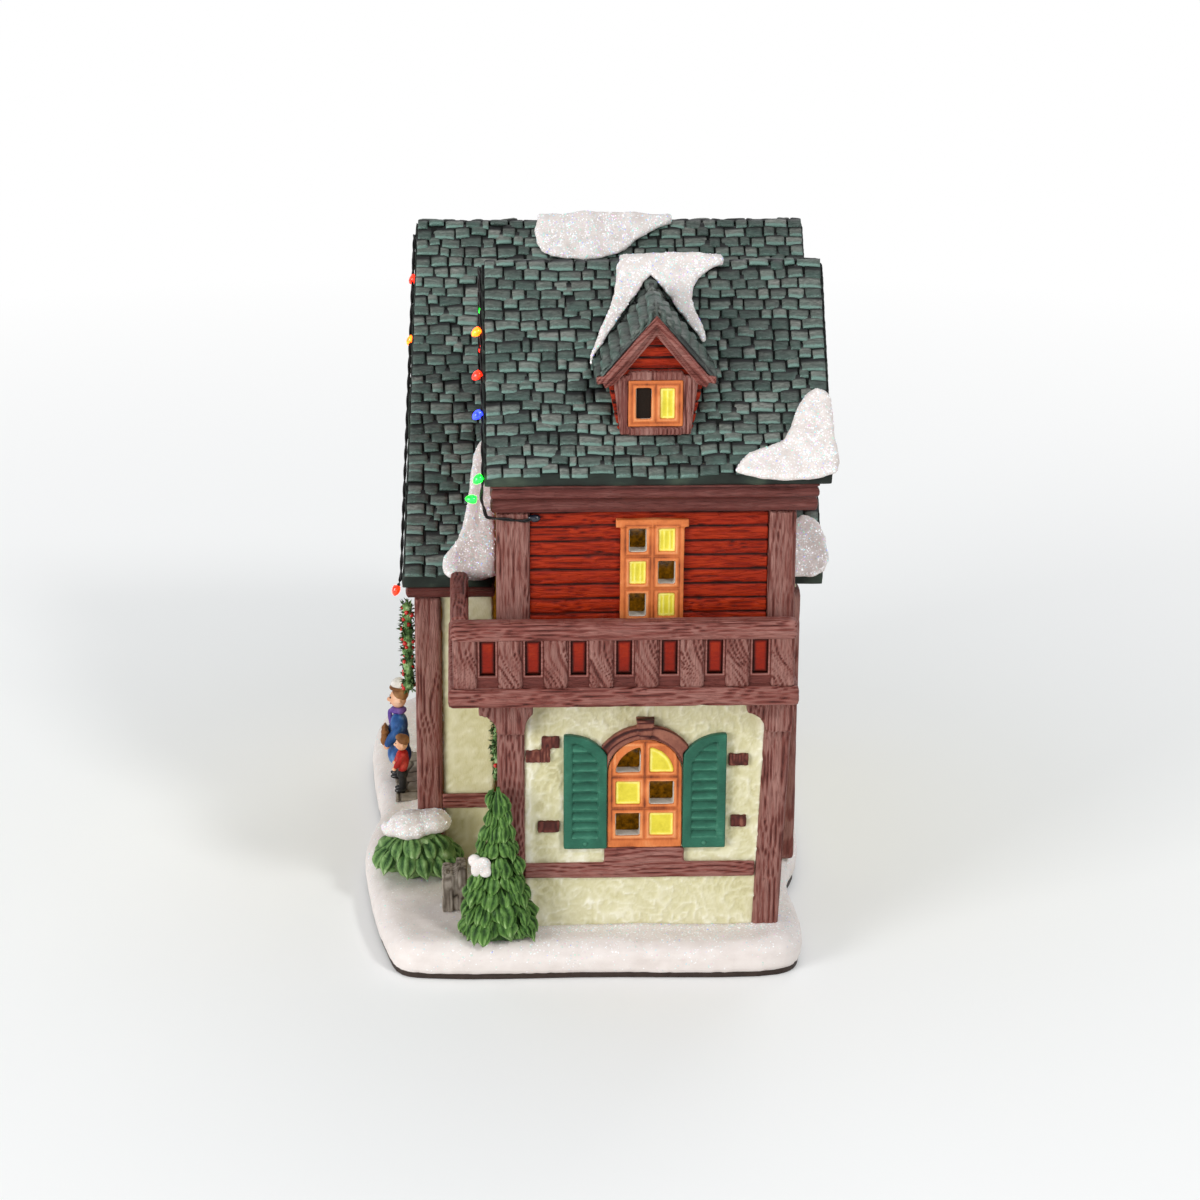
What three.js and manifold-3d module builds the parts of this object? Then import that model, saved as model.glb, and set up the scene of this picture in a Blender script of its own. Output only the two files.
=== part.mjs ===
// Lighted christmas village house in painted resin: a wide main house, a tall wing in front of it
// with a balcony and a dormer, on a snowy base that holds the battery box.
// Millimetres, +Z up. -Y is the wing's side, -X the main front. The wing's near wall face is y = 0.
import * as THREE from "three";
import { mergeVertices } from "three/addons/utils/BufferGeometryUtils.js";
import Module from "manifold-3d";

const wasm = await Module();
wasm.setup();

// Clearances
const seatGap = 0.3; // glue line between a cut or sloping piece and its neighbour
const runningGap = 0.4; // round the battery door and the switch knob

// Base
const plateThickness = 2.4; // dark bottom cover
const plateInset = 1.4; // cover set in from the snow's edge
const snowThickness = 9.6; // snow base above the cover
const snowShoulder = 3.6; // height of the rounded upper edge of the snow
const snowRoll = 6; // how far the rounded edge reaches inwards
const nearMargin = 13.2; // snow in front of the wing's wall
const farMargin = 12.5; // snow behind the main house
const frontMargin = 22; // snow in front of the main front
const backMargin = 6; // snow behind the back wall
const waveDepth = 5; // hollow of the wavy snow edge at the path
const edgeSteps = 84; // straight steps round the wavy edge

// Walls and roofs
const wallThickness = 3;
const roofPitch = 50; // degrees
const roofDrop = 4.5; // upright height of the roof's edge at the eave
const tileButt = 0.9; // step between two shingle courses

// Main house
const mainFront = -54.5; // outer face of the front gable wall
const mainLength = 120.5; // front gable wall to back gable wall
const mainDepth = 146.6; // near wall to far wall, ridge in the middle
const mainEaveTop = 116.5; // upper corner of the eave
const mainEaveReach = 8; // eave beyond the wall
const mainVergeFront = 7.1; // roof beyond the front wall at the eave
const mainVergeBack = 7.6; // roof beyond the back wall at the eave
const mainFlareFront = 5; // verge drawn in at the ridge, front
const mainFlareBack = 1; // verge drawn in at the ridge, back
const mainCourses = 27;

// Wing
const wingFront = -31.5; // outer face of the wing's front wall
const wingSetback = 9.5; // the main house's back wall lies this far behind the wing's
const wingDepth = 50; // wing's near wall to the main house's near wall
const wingSpan = 75.2; // the wing's own width under its roof, ridge in the middle
const wingEaveTop = 165.5;
const wingEaveReach = 9;
const wingVergeFront = 4.1;
const wingVergeBack = 13.5;
const wingCourses = 16;
const wingMiddle = (wingFront + mainFront + mainLength - wingSetback) / 2;

// Timber posts
const postWidth = 8.2;
const upperPostWidth = 10; // the wing's front post above the balcony
const postProud = 1.5; // post in front of the wall face
const mainPostProud = 3.2; // main posts beyond the gable walls
const postLean = 2.6; // the wing's back post leans in at its foot
const capitalHeight = 12;
const capitalReach = 5.8; // capital beyond the post towards the front
const capitalForward = 3.5; // capital in front of the post, under the deck
const capitalInner = 2.6; // front post's capital, towards the window
const capitalOuter = 0.4; // back post's capital, towards the back

// Balcony
const deckBottom = 92.7;
const deckThickness = 5.9;
const deckReach = 13.4; // near edge in front of the wing's wall
const deckFrontReach = 15.3; // front edge beyond the wing's front wall
const deckBackReach = 4.3; // back end beyond the wing's back wall
const railTop = 120.2;
const railHeight = 5.9;
const railWidth = 5.4;
const railEndSetback = 0.8; // rail ends behind the deck's ends
const panelThickness = 2.2;
const panelSetback = 1.2; // panel behind the faces of rail and balusters
const balusterCount = 8;
const balusterWidth = 7.2;
const sideBalusterCount = 4;
const sideRailEnd = 13.8; // side rail stops this far from the main house's wall

// Facing stones in the plaster between a post and its shutter: start and width as shares of that
// space, from the front one towards the back one, and the lower edge
const frontStones = [[0.426, 0.484, 73.9], [0.033, 0.639, 69.2], [0.328, 0.574, 45.2]];
const backStones = [[0.075, 0.71, 67.4], [0.183, 0.538, 46.4]];
const facingHeight = 4.2;
const stoneProud = 0.9;

// Cornices and horizontal timbers
const corniceHeight = 10.4;
const corniceReach = 7.8;
const corniceOverFront = 2.1;
const corniceOverBack = 9.6;
const mainCorniceHeight = 7;
const mainCorniceReach = 6.6;
const timberHeight = 5.2;
const timberProud = 1.4;
const wingTimberBottom = 29.6;
const mainTimberBottom = 32.4;

// Windows of the wing
const frameProud = 1.6;
const openingReveal = 0.5; // pane hole in the wall, wider than the pane in the frame
const arch = { centre: wingMiddle + 1.85, width: 23.5, bottom: 40.2, spring: 65.3, stile: 2.6, rail: 3 };
const archMullion = 2.8;
const archBottomRail = 4;
const archBand = 4.4; // stone arch round the window
const archBandProud = 2.2;
const keystone = { top: 84.2, width: 5.8, taper: 1.4 };
const tall = {
  centre: wingMiddle + 3.4, width: 19.6, top: 149.6, stile: 2.7, rail: 3, head: 3.1, cap: 1.4,
};
const tallMullion = 3.6;
const tallPaneHeight = 7.5;
const paneRows = 3;
const paneRecess = 0.8; // depth of a closed, painted pane
const sillReach = 0.8; // sill beyond the window on each side

// Shutters
const shutterWidth = 13.4;
const shutterLow = 31.6; // height at the window side
const shutterRise = 6.9; // how much taller the outer side is
const shutterThickness = 2.2;
const shutterStile = 2.5;
const louvres = 10;
const louvreDepth = 1.1;

// Dormer
const dormerCentre = wingMiddle + 3.9;
const dormerFoot = 20; // width at the foot
const dormerEaveWidth = 30;
const dormerEave = 196; // height of its eaves
const dormerApex = 213.4; // apex of the gable wall
const dormerFace = -0.4; // y of its face
const dormerWall = 2.2;
const dormerRoofDrop = 3.4; // upright thickness of the dormer's roof
const dormerRoofReach = 4; // roof in front of the face
const dormerRoofSide = 3.4; // roof beyond the eaves
const dormerRidgeSetback = 1; // the dormer ends this far before the wing's ridge
const dormerWindow = { width: 16.6, height: 14.4, lift: 3.4, stile: 2.4, mullion: 2.6 };

// Front door of the main house
const doorWidth = 20;
const doorHeight = 34;
const doorProud = 1.6;
const doorPanelInset = 3.2;

// Plain windows on the front, back and far sides
const plainWindow = { width: 15, height: 17, frame: 2.2, pane: 4.6 };
const plainSill = 52; // height of their lower edge
const plainUpperSill = 128; // lower edge of the gable windows
const plainAside = 38; // lower windows of the gables, from the ridge
const backAside = 24; // lower window of the back gable near the wing, from the ridge

// Snow on the roofs. Each outline is a list of places: along the roof, and down from the ridge
// or up from the eave.
const roofSnow = 2.2; // thickness above the shingles
const snowBevel = 0.8;
const ridgeSnowReach = 3; // roll of snow in front of the ridge
const mainRidgeSnow = { x0: -16, x1: 29, far: 6 };
const wingRidgeSnow = { x0: 7, x1: 39, far: 5 };
const mainRidgePatch = [[-16, 1], [-15, 13], [-2, 16], [10, 14], [18, 8], [29, 1]];
const wingRidgePatch = [
  [7, 1], [5, 12], [0, 26], [-3, 36], [-0.5, 38], [8, 28], [24, 26], [31, 31], [33, 27],
  [29, 15], [31, 8], [39, 1],
];
const wingCornerPatch = [
  [-30, 0.4], [-26, 6], [-15, 11], [-10, 22], [-6, 27], [-1, 26], [0.6, 12], [0.8, -0.4],
]; // along the roof from its back end
const mainCornerPatch = [[-15, -0.6], [-14, 12], [-6, 19], [-0.6, 16], [0.6, -0.8]]; // from its back end
const eavePatch = [
  [-15.5, -1], [-16.6, 4], [-11.5, 12], [-8.6, 24], [-6.5, 40], [-3.4, 46], [-0.3, 42], [-0.1, 20],
  [-0.1, -1.4],
]; // along the roof from the wing's front wall

// Ground pieces
const treeHeight = 52;
const treeRadius = 14;
const treeDepth = 6.2; // half depth, flat against the post
const treeTiers = 7;
const treeLobes = 10;
const bushRadius = 7.5;
const bushCap = 0.53; // flatness of the snow on the bush
const cutSpare = 40; // how far a cutting shape reaches past the piece
const pavingLength = 46;
const pavingBulge = 2; // how much the path's edges run in and out
const pavingThickness = 1.2;
const stoneWidth = 8.4;
const stoneDepth = 11;
const stoneHeight = 15.5;
const childHeight = 22;
const adultHeight = 38.5;
const childPlace = [9.4, -15]; // out from the front wall, along it from the ridge
const adultPlace = [10.6, -2];

// Garland on the corner post
const garlandRadius = 2.3;
const garlandLength = 32;
const garlandTufts = 8;

// Battery box, switch and lamp
const cellDiameter = 14.5;
const cellLength = 50.5;
const cellCount = 2;
const cellRoom = 0.8; // free space beside the cells
const contactRoom = 5; // free length for contacts and springs
const boxWall = 1.6;
const doorThickness = 1.8;
const doorRib = 1.4; // height of the latch rib
const doorLift = 0.3; // door above the surface that the base stands on
const contactThickness = 0.5;
const switchBody = { length: 13, width: 6.6, height: 4.6, foot: 1.3 };
const knobLength = 3.2;
const knobWidth = 2.6;
const knobTravel = 4;
const screwHead = 2.6; // radius
const screwShank = 1.3; // radius
const screwLength = 9;
const screwInset = 9; // from the end walls
const screwAside = 46; // back screw, from the ridge towards the wing
const lampPost = 3.6; // radius of the lamp's post
const lampHeight = 46; // post above the battery box
const lampRadius = 2.5;
const postEdge = 0.8; // worn edge of the posts

// Light string
const wireRadius = 0.6;
const bulbRadius = 2.1;
const bulbLength = 5.4;
const wingBulbs = [0.04, 0.33, 0.51, 0.71]; // shares of the near verge, from the eave
const wingFarBulbs = [14, 28]; // behind the ridge
const mainBulbs = [0.25, 0.46, 0.68, 0.855];
const mainFarBulbs = [0.1, 0.33, 0.56, 0.8];

// Values that follow from the sizes above
const slope = Math.tan(THREE.MathUtils.degToRad(roofPitch));
const slopeCos = Math.cos(THREE.MathUtils.degToRad(roofPitch));
const groundTop = plateThickness + snowThickness;
const mainBack = mainFront + mainLength;
const mainNear = wingDepth;
const mainFar = mainNear + mainDepth;
const wingBack = mainBack - wingSetback;
const deckTop = deckBottom + deckThickness;
const roofGap = (tileButt + seatGap) / slopeCos; // upright room above the tile plane

// A roof slope seen from its end: its tile plane, thickness and length.
function roofSlope(eaveY, eaveTop, ridgeY) {
  const direction = Math.sign(ridgeY - eaveY);
  return {
    eaveY,
    eaveTop,
    ridgeY,
    direction,
    ridgeTop: eaveTop + Math.abs(ridgeY - eaveY) * slope,
    top: (y) => eaveTop + (y - eaveY) * direction * slope,
    under: (y) => eaveTop - roofDrop + (y - eaveY) * direction * slope,
  };
}

const mainRidgeY = mainNear + mainDepth / 2;
const mainNearSlope = roofSlope(mainNear - mainEaveReach, mainEaveTop, mainRidgeY);
const mainFarSlope = roofSlope(mainFar + mainEaveReach, mainEaveTop, mainRidgeY);
const wingNearSlope = roofSlope(-wingEaveReach, wingEaveTop, wingSpan / 2);
const wingFarSlope = roofSlope(wingSpan + wingEaveReach, wingEaveTop, wingSpan / 2);
const valleyY = (wingFarSlope.top(0) - mainNearSlope.top(0) - roofGap) / (2 * slope);

// Materials, by colour of the paint
function paint(color, roughness) {
  return () => new THREE.MeshStandardMaterial({ color, roughness, metalness: 0 });
}
const timber = paint(0x7b4a44, 0.6);
const redBoards = paint(0x98301a, 0.45);
const stucco = paint(0xddd5a2, 0.75);
const shingle = paint(0x3c5049, 0.6);
const snow = paint(0xe5dcd8, 0.8);
const orange = paint(0xc9703a, 0.5);
const shutterGreen = paint(0x2b6a52, 0.45);
const stone = paint(0x8f857b, 0.85);
const archStone = paint(0x5b2f2b, 0.7);
const foliage = paint(0x3c7a2c, 0.7);
const plastic = paint(0x3b302a, 0.55);
const contactMetal = () =>
  new THREE.MeshStandardMaterial({ color: 0xb9bcc0, roughness: 0.3, metalness: 1 });
const lampGlass = paint(0xffe2a8, 0.2);
const wirePlastic = paint(0x14110f, 0.5);
const coatRed = paint(0xa8201c, 0.5);
const coatBlue = paint(0x2e4470, 0.5);

const house = new THREE.Group();

function addPiece(name, geometry, material) {
  const mesh = new THREE.Mesh(geometry, material());
  mesh.name = name;
  house.add(mesh);
}

// Solids and booleans
function solidOf(geometry) {
  const bare = geometry.clone();
  bare.deleteAttribute("normal");
  bare.deleteAttribute("uv");
  const merged = mergeVertices(bare, 1e-4);
  return new wasm.Manifold(
    new wasm.Mesh({
      numProp: 3,
      vertProperties: merged.attributes.position.array,
      triVerts: new Uint32Array(merged.index.array),
    }),
  );
}

function geometryOf(solid) {
  const mesh = solid.getMesh();
  const geometry = new THREE.BufferGeometry();
  geometry.setAttribute("position", new THREE.BufferAttribute(mesh.vertProperties, 3));
  geometry.setIndex(new THREE.BufferAttribute(mesh.triVerts, 1));
  geometry.computeVertexNormals();
  return geometry;
}

function join(...geometries) {
  return geometryOf(geometries.map(solidOf).reduce((sum, next) => sum.add(next)));
}

function cut(geometry, ...tools) {
  return geometryOf(tools.map(solidOf).reduce((rest, tool) => rest.subtract(tool), solidOf(geometry)));
}

function keepWithin(geometry, limit) {
  return geometryOf(solidOf(geometry).intersect(solidOf(limit)));
}

// Basic forms, given by their limits
function block(x0, x1, y0, y1, z0, z1) {
  return new THREE.BoxGeometry(x1 - x0, y1 - y0, z1 - z0).translate(
    (x0 + x1) / 2,
    (y0 + y1) / 2,
    (z0 + z1) / 2,
  );
}

function outline(points) {
  return new THREE.Shape(points.map(([u, v]) => new THREE.Vector2(u, v)));
}

// An outline in y and z, drawn out along x
function alongX(shape, x0, x1, bevel = 0) {
  const turn = new THREE.Matrix4().makeBasis(
    new THREE.Vector3(0, 1, 0),
    new THREE.Vector3(0, 0, 1),
    new THREE.Vector3(1, 0, 0),
  );
  return drawnOut(shape, x1 - x0, bevel).applyMatrix4(turn).translate(x0, 0, 0);
}

// An outline in x and z, drawn out along y
function alongY(shape, y0, y1, bevel = 0) {
  return drawnOut(shape, y1 - y0, bevel).rotateX(Math.PI / 2).translate(0, y1, 0);
}

// An outline in x and y, drawn out upwards
function alongZ(shape, z0, z1, bevel = 0) {
  return drawnOut(shape, z1 - z0, bevel).translate(0, 0, z0);
}

// With a bevel the outline shrinks towards both ends, and the full length stays
function drawnOut(shape, length, bevel) {
  return new THREE.ExtrudeGeometry(shape, {
    depth: length - 2 * bevel,
    bevelEnabled: bevel > 0,
    bevelThickness: bevel,
    bevelSize: bevel,
    bevelOffset: -bevel,
    bevelSegments: 1,
    curveSegments: 10,
  }).translate(0, 0, bevel);
}

// A rectangle with softened corners, for worn timber
function softRectangle(u0, u1, v0, v1, radius) {
  const shape = new THREE.Shape();
  shape.moveTo(u0 + radius, v0);
  shape.lineTo(u1 - radius, v0);
  shape.lineTo(u1, v0 + radius);
  shape.lineTo(u1, v1 - radius);
  shape.lineTo(u1 - radius, v1);
  shape.lineTo(u0 + radius, v1);
  shape.lineTo(u0, v1 - radius);
  shape.lineTo(u0, v0 + radius);
  return shape;
}

// Rings of equal point counts, skinned from the first to the last and closed by a flat at each end
function skin(rings) {
  const count = rings[0].length;
  const positions = rings.flat().flatMap((p) => [p.x, p.y, p.z]);
  const index = [];
  for (let r = 0; r + 1 < rings.length; r += 1) {
    for (let i = 0; i < count; i += 1) {
      const j = (i + 1) % count;
      const low = r * count;
      const high = low + count;
      index.push(low + i, low + j, high + j, low + i, high + j, high + i);
    }
  }
  const flat = (ring, start, upwards) => {
    const faces = THREE.ShapeUtils.triangulateShape(ring.map((p) => new THREE.Vector2(p.x, p.y)), []);
    const turned = THREE.ShapeUtils.area(ring.map((p) => new THREE.Vector2(p.x, p.y))) < 0;
    for (const [a, b, c] of faces) {
      if (upwards !== turned) index.push(start + a, start + b, start + c);
      else index.push(start + a, start + c, start + b);
    }
  };
  flat(rings[0], 0, false);
  flat(rings[rings.length - 1], (rings.length - 1) * count, true);
  const geometry = new THREE.BufferGeometry();
  geometry.setAttribute("position", new THREE.Float32BufferAttribute(positions, 3));
  geometry.setIndex(index);
  return geometry;
}

// A closed smooth outline moved inwards by a distance, at a height
function insetRing(points, distance, z) {
  return points.map((p, i) => {
    const before = points[(i + points.length - 1) % points.length];
    const after = points[(i + 1) % points.length];
    const along = new THREE.Vector2(after.x - before.x, after.y - before.y).normalize();
    return new THREE.Vector3(p.x - along.y * distance, p.y + along.x * distance, z);
  });
}

// The snow's wavy edge, counter-clockwise from the near front corner
function baseOutline() {
  const near = -nearMargin;
  const far = mainFar + farMargin;
  const front = mainFront - frontMargin;
  const back = mainBack + backMargin;
  const pathY = mainRidgeY - 22;
  const corners = [
    [front + 13, near + 4],
    [front + 27, near + 0.4],
    [(front + back) / 2, near],
    [back - 16, near],
    [back - 9, near + 4.6],
    [back - 6, near + 16],
    [back - 7.5, mainNear - 8],
    [back - 2, mainNear + 12],
    [back, mainRidgeY],
    [back - 3, mainFar - 10],
    [back - 14, far - 1],
    [(front + back) / 2, far],
    [front + 22, far - 1],
    [front + 8, far - 12],
    [front + 1, mainFar - 30],
    [front + waveDepth * 0.6, pathY + 18],
    [front + waveDepth, pathY],
    [front + 0.4, mainNear + 20],
    [front + 2.5, mainNear - 12],
    [front + 7, near + 22],
  ];
  return closedCurve(corners, edgeSteps);
}

// Points along a smooth closed line through the given places
function closedCurve(places, steps) {
  const curve = new THREE.CatmullRomCurve3(places.map(([x, y]) => new THREE.Vector3(x, y, 0)), true);
  return Array.from({ length: steps }, (_, i) => curve.getPoint(i / steps));
}

// Where the battery box stands: the middle of the main house
const cavity = {
  length: cellLength + contactRoom,
  width: cellCount * cellDiameter + cellRoom,
  x: (mainFront + mainBack) / 2,
  y: mainRidgeY,
};
const cellTop = plateThickness + cellDiameter + cellRoom;
const boxOuter = { length: cavity.length + 2 * boxWall, width: cavity.width + 2 * boxWall };
const boxTop = cellTop + boxWall;
const switchX = cavity.x + boxOuter.length / 2 + 3 + switchBody.length / 2;
const screwPlaces = [
  ["base_screw_front", mainFront + screwInset, mainRidgeY],
  ["base_screw_back", mainBack - screwInset, mainRidgeY - screwAside],
];

function centredBlock(x, y, length, width, z0, z1) {
  return block(x - length / 2, x + length / 2, y - width / 2, y + width / 2, z0, z1);
}

function rod(x, y, radius, z0, z1, sides = 20) {
  return new THREE.CylinderGeometry(radius, radius, z1 - z0, sides)
    .rotateX(Math.PI / 2)
    .translate(x, y, (z0 + z1) / 2);
}

function addBase() {
  const edge = baseOutline();
  const plateEdge = insetRing(edge, plateInset, 0).map((p) => [p.x, p.y]);
  const slotLength = knobLength + knobTravel + 2 * runningGap;
  const slot = centredBlock(
    switchX, cavity.y, slotLength, knobWidth + 2 * runningGap, -1, plateThickness + 1,
  );
  const bay = centredBlock(
    cavity.x, cavity.y, cavity.length, cavity.width, -1, plateThickness + 1,
  );
  const screwHoles = screwPlaces.map(([, x, y]) => screwForm(x, y, seatGap));
  addPiece(
    "base_plate",
    cut(alongZ(outline(plateEdge), 0, plateThickness), bay, slot, ...screwHoles),
    plastic,
  );

  const rings = [
    insetRing(edge, 0.8, plateThickness),
    insetRing(edge, 0, plateThickness + 1.6),
    insetRing(edge, 0, groundTop - snowShoulder),
    insetRing(edge, snowRoll * 0.28, groundTop - snowShoulder * 0.42),
    insetRing(edge, snowRoll * 0.6, groundTop - snowShoulder * 0.12),
    insetRing(edge, snowRoll, groundTop),
  ];
  const switchRoom = centredBlock(
    switchX, cavity.y, switchBody.length + 2 * seatGap, switchBody.width + 2 * seatGap,
    plateThickness - 1, groundTop + 1,
  );
  const boxRoom = centredBlock(
    cavity.x, cavity.y, boxOuter.length + 2 * seatGap, boxOuter.width + 2 * seatGap,
    plateThickness - 1, groundTop + 1,
  );
  addPiece("snow_base", cut(skin(rings), boxRoom, switchRoom, ...screwHoles), snow);
  for (const [name, x, y] of screwPlaces) addPiece(name, screwForm(x, y, 0), contactMetal);
}

// A countersunk screw, or with room added the hole that it goes through
function screwForm(x, y, room) {
  const low = room > 0 ? -1 : doorLift;
  const neck = doorLift + screwHead - screwShank;
  const profile = [
    [0, low],
    [screwHead + room, low],
    [screwHead + room, doorLift],
    [screwShank + room, neck],
    [screwShank + room, screwLength + room],
    [0, screwLength + room],
  ];
  const points = profile.map(([r, z]) => new THREE.Vector2(r, z));
  return new THREE.LatheGeometry(points, 20).rotateX(Math.PI / 2).translate(x, y, 0);
}

function addBatteryBox() {
  const { x, y, length, width } = cavity;
  const outer = centredBlock(x, y, boxOuter.length, boxOuter.width, plateThickness, boxTop);
  const inner = centredBlock(x, y, length, width, plateThickness - 1, cellTop);
  const post = rod(x, y, lampPost, boxTop - boxWall / 2, boxTop + lampHeight);
  addPiece("battery_box", join(cut(outer, inner), post), plastic);

  const contactEnd = length / 2 - seatGap;
  const contactLow = doorLift + doorThickness + doorRib + 1;
  const contactHigh = cellTop - 1.5;
  const bridgeX = x - contactEnd;
  const half = width / 2 - 1;
  addPiece(
    "battery_contact_bridge",
    block(bridgeX, bridgeX + contactThickness, y - half, y + half, contactLow, contactHigh),
    contactMetal,
  );
  for (const [name, side] of [["battery_contact_plus", 1], ["battery_contact_minus", -1]]) {
    const middle = y + (side * width) / 4;
    const reach = width / 4 - 1;
    const high = x + contactEnd;
    addPiece(
      name,
      block(high - contactThickness, high, middle - reach, middle + reach, contactLow, contactHigh),
      contactMetal,
    );
  }
}

// The door hangs on its round near edge and snaps shut at its far edge
const doorRadius = doorThickness / 2;
const hingeY = cavity.y - cavity.width / 2 + runningGap + doorRadius;
const hingeZ = doorLift + doorRadius;

function addBatteryDoor() {
  const far = cavity.y + cavity.width / 2 - runningGap;
  const shape = new THREE.Shape();
  shape.moveTo(hingeY, doorLift);
  shape.lineTo(far, doorLift);
  shape.lineTo(far, doorLift + doorThickness);
  shape.lineTo(far - 0.6, doorLift + doorThickness + doorRib);
  shape.lineTo(far - 2, doorLift + doorThickness + doorRib);
  shape.lineTo(far - 2.4, doorLift + doorThickness);
  shape.lineTo(hingeY, doorLift + doorThickness);
  shape.absarc(hingeY, hingeZ, doorRadius, Math.PI / 2, (3 * Math.PI) / 2, false);
  const half = cavity.length / 2 - runningGap;
  addPiece("battery_door", alongX(shape, cavity.x - half, cavity.x + half), plastic);
}

function addSwitch() {
  const { length, width, height, foot } = switchBody;
  const low = plateThickness;
  const footLength = 1.5;
  const outer = centredBlock(switchX, cavity.y, length, width, low, low + height);
  const under = centredBlock(
    switchX, cavity.y, length - 2 * footLength, width + 2, low - 1, low + foot,
  );
  addPiece("switch_body", cut(outer, under), plastic);

  const start = switchX - knobTravel / 2;
  const flangeLow = plateThickness + seatGap;
  const flange = centredBlock(
    start, cavity.y, knobLength + 1.2, knobWidth + 2, flangeLow, low + foot - seatGap,
  );
  const stem = centredBlock(start, cavity.y, knobLength, knobWidth, doorLift, flangeLow + 0.2);
  addPiece("switch_knob", join(flange, stem), plastic);
}

function addLamp() {
  const profile = [[0, 0], [lampRadius, 0], [lampRadius, lampRadius * 1.6]];
  for (let i = 1; i <= 5; i += 1) {
    const turn = (i * Math.PI) / 10;
    profile.push([lampRadius * Math.cos(turn), lampRadius * (1.6 + Math.sin(turn))]);
  }
  profile[profile.length - 1][0] = 0;
  const points = profile.map(([r, z]) => new THREE.Vector2(r, z));
  const dome = new THREE.LatheGeometry(points, 16).rotateX(Math.PI / 2);
  addPiece("lamp_bulb", dome.translate(cavity.x, cavity.y, boxTop + lampHeight), lampGlass);
}

// The outline of a gable wall under the main roof, between two y limits
function gableShape(y0, y1, bottom, drop) {
  const edge = (y) => Math.min(mainNearSlope.under(y), mainFarSlope.under(y)) - drop;
  return outline([
    [y0, bottom],
    [y1, bottom],
    [y1, edge(y1)],
    [mainRidgeY, edge(mainRidgeY)],
    [y0, edge(y0)],
  ]);
}

const underGap = seatGap / slopeCos;

// A framed opening on a plain side: raised frame, cross bars and open panes
function plainWindowParts(middle, low, high, face, outwards, along) {
  const { width, frame } = plainWindow;
  const half = width / 2;
  const draw = (u0, u1, v0, v1, reach0, reach1) =>
    along === "x"
      ? block(u0, u1, Math.min(reach0, reach1), Math.max(reach0, reach1), v0, v1)
      : block(Math.min(reach0, reach1), Math.max(reach0, reach1), u0, u1, v0, v1);
  const out = face + outwards * frameProud;
  const inside = face - outwards * (wallThickness + 1);
  const raised = draw(middle - half, middle + half, low, high, face - outwards, out);
  const columns = [middle - half + frame, middle + frame / 2];
  const paneWidth = half - 1.5 * frame;
  const paneHeight = (high - low - 3 * frame) / 2;
  const holes = [];
  for (const u of columns) {
    for (const v of [low + frame, low + 2 * frame + paneHeight]) {
      holes.push(draw(u, u + paneWidth, v, v + paneHeight, inside, out + outwards));
    }
  }
  return { raised, holes };
}

function wallWithWindows(wall, windows) {
  const joined = join(wall, ...windows.map((w) => w.raised));
  return windows.length === 0 ? wall : cut(joined, ...windows.flatMap((w) => w.holes));
}

function addMainWalls() {
  const inner = mainFront + wallThickness;
  const nearIn = mainNear + wallThickness;
  const farIn = mainFar - wallThickness;
  const nearTop = mainNearSlope.under(mainNear) - underGap;
  const farTop = mainFarSlope.under(mainFar) - underGap;
  const high = plainWindow.height;
  const post = mainFrontPost(mainNear - postProud);
  const farPostFront = mainFrontPost(mainFar + postProud - postWidth);
  const windowPlaces = (lowOffset) => [
    [mainRidgeY - lowOffset, plainSill],
    [mainRidgeY + plainAside, plainSill],
    [mainRidgeY, plainUpperSill],
  ];

  const frontSide = alongX(gableShape(nearIn, farIn, groundTop, underGap), mainFront, inner);
  const frontWindows = windowPlaces(plainAside).map(([y, z]) =>
    plainWindowParts(y, z, z + high, mainFront, -1, "y"),
  );
  const frontWall = wallWithWindows(frontSide, frontWindows);
  addPiece("main_front_wall", cut(frontWall, post, farPostFront), stucco);

  const backSide = alongX(
    gableShape(nearIn, farIn, groundTop, underGap), mainBack - wallThickness, mainBack,
  );
  const backPostTop = nearTop - mainCorniceHeight - 6;
  const postX1 = mainBack + postProud;
  const backPostAt = (y0) =>
    block(postX1 - postWidth, postX1, y0, y0 + postWidth, groundTop, backPostTop);
  const strip = block(wingBack + seatGap, mainBack, mainNear, nearIn, groundTop, nearTop);
  const backWindows = windowPlaces(backAside).map(([y, z]) =>
    plainWindowParts(y, z, z + high, mainBack, 1, "y"),
  );
  addPiece(
    "main_back_wall",
    wallWithWindows(join(backSide, backPostAt(mainNear - postProud), strip), backWindows),
    stucco,
  );

  const farSide = block(mainFront, mainBack, farIn, mainFar, groundTop, farTop);
  const farWindows = [mainFront + mainLength / 4, mainBack - mainLength / 4].map((x) =>
    plainWindowParts(x, plainSill, plainSill + high, mainFar, 1, "x"),
  );
  const farWall = wallWithWindows(
    join(farSide, farPostFront, backPostAt(mainFar + postProud - postWidth)), farWindows,
  );
  addPiece("main_far_wall", cut(farWall, backSide), stucco);

  const nearSide = block(mainFront, wingFront - seatGap, mainNear, nearIn, groundTop, nearTop);
  addPiece("main_near_wall", cut(nearSide, post), stucco);
  addPiece("main_post_near", post, timber);
}

// The square post at a front corner of the main house
function mainFrontPost(y0) {
  const x0 = mainFront - mainPostProud;
  return alongZ(
    softRectangle(x0, x0 + postWidth, y0, y0 + postWidth, 0.8), groundTop, mainCorniceLow - seatGap,
  );
}

// A moulding that closes the eave: stepped face, top along the underside of the roof
function corniceShape(eave, wallY, reach, height) {
  const low = eave.under(wallY - reach) - height;
  const top = (y) => eave.under(y) - underGap;
  return outline([
    [wallY, low],
    [wallY - reach * 0.42, low + height * 0.05],
    [wallY - reach * 0.52, low + height * 0.4],
    [wallY - reach * 0.68, low + height * 0.52],
    [wallY - reach * 0.94, low + height * 0.6],
    [wallY - reach, low + height * 0.86],
    [wallY - reach * 0.97, top(wallY - reach * 0.97)],
    [wallY, top(wallY)],
  ]);
}

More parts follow.
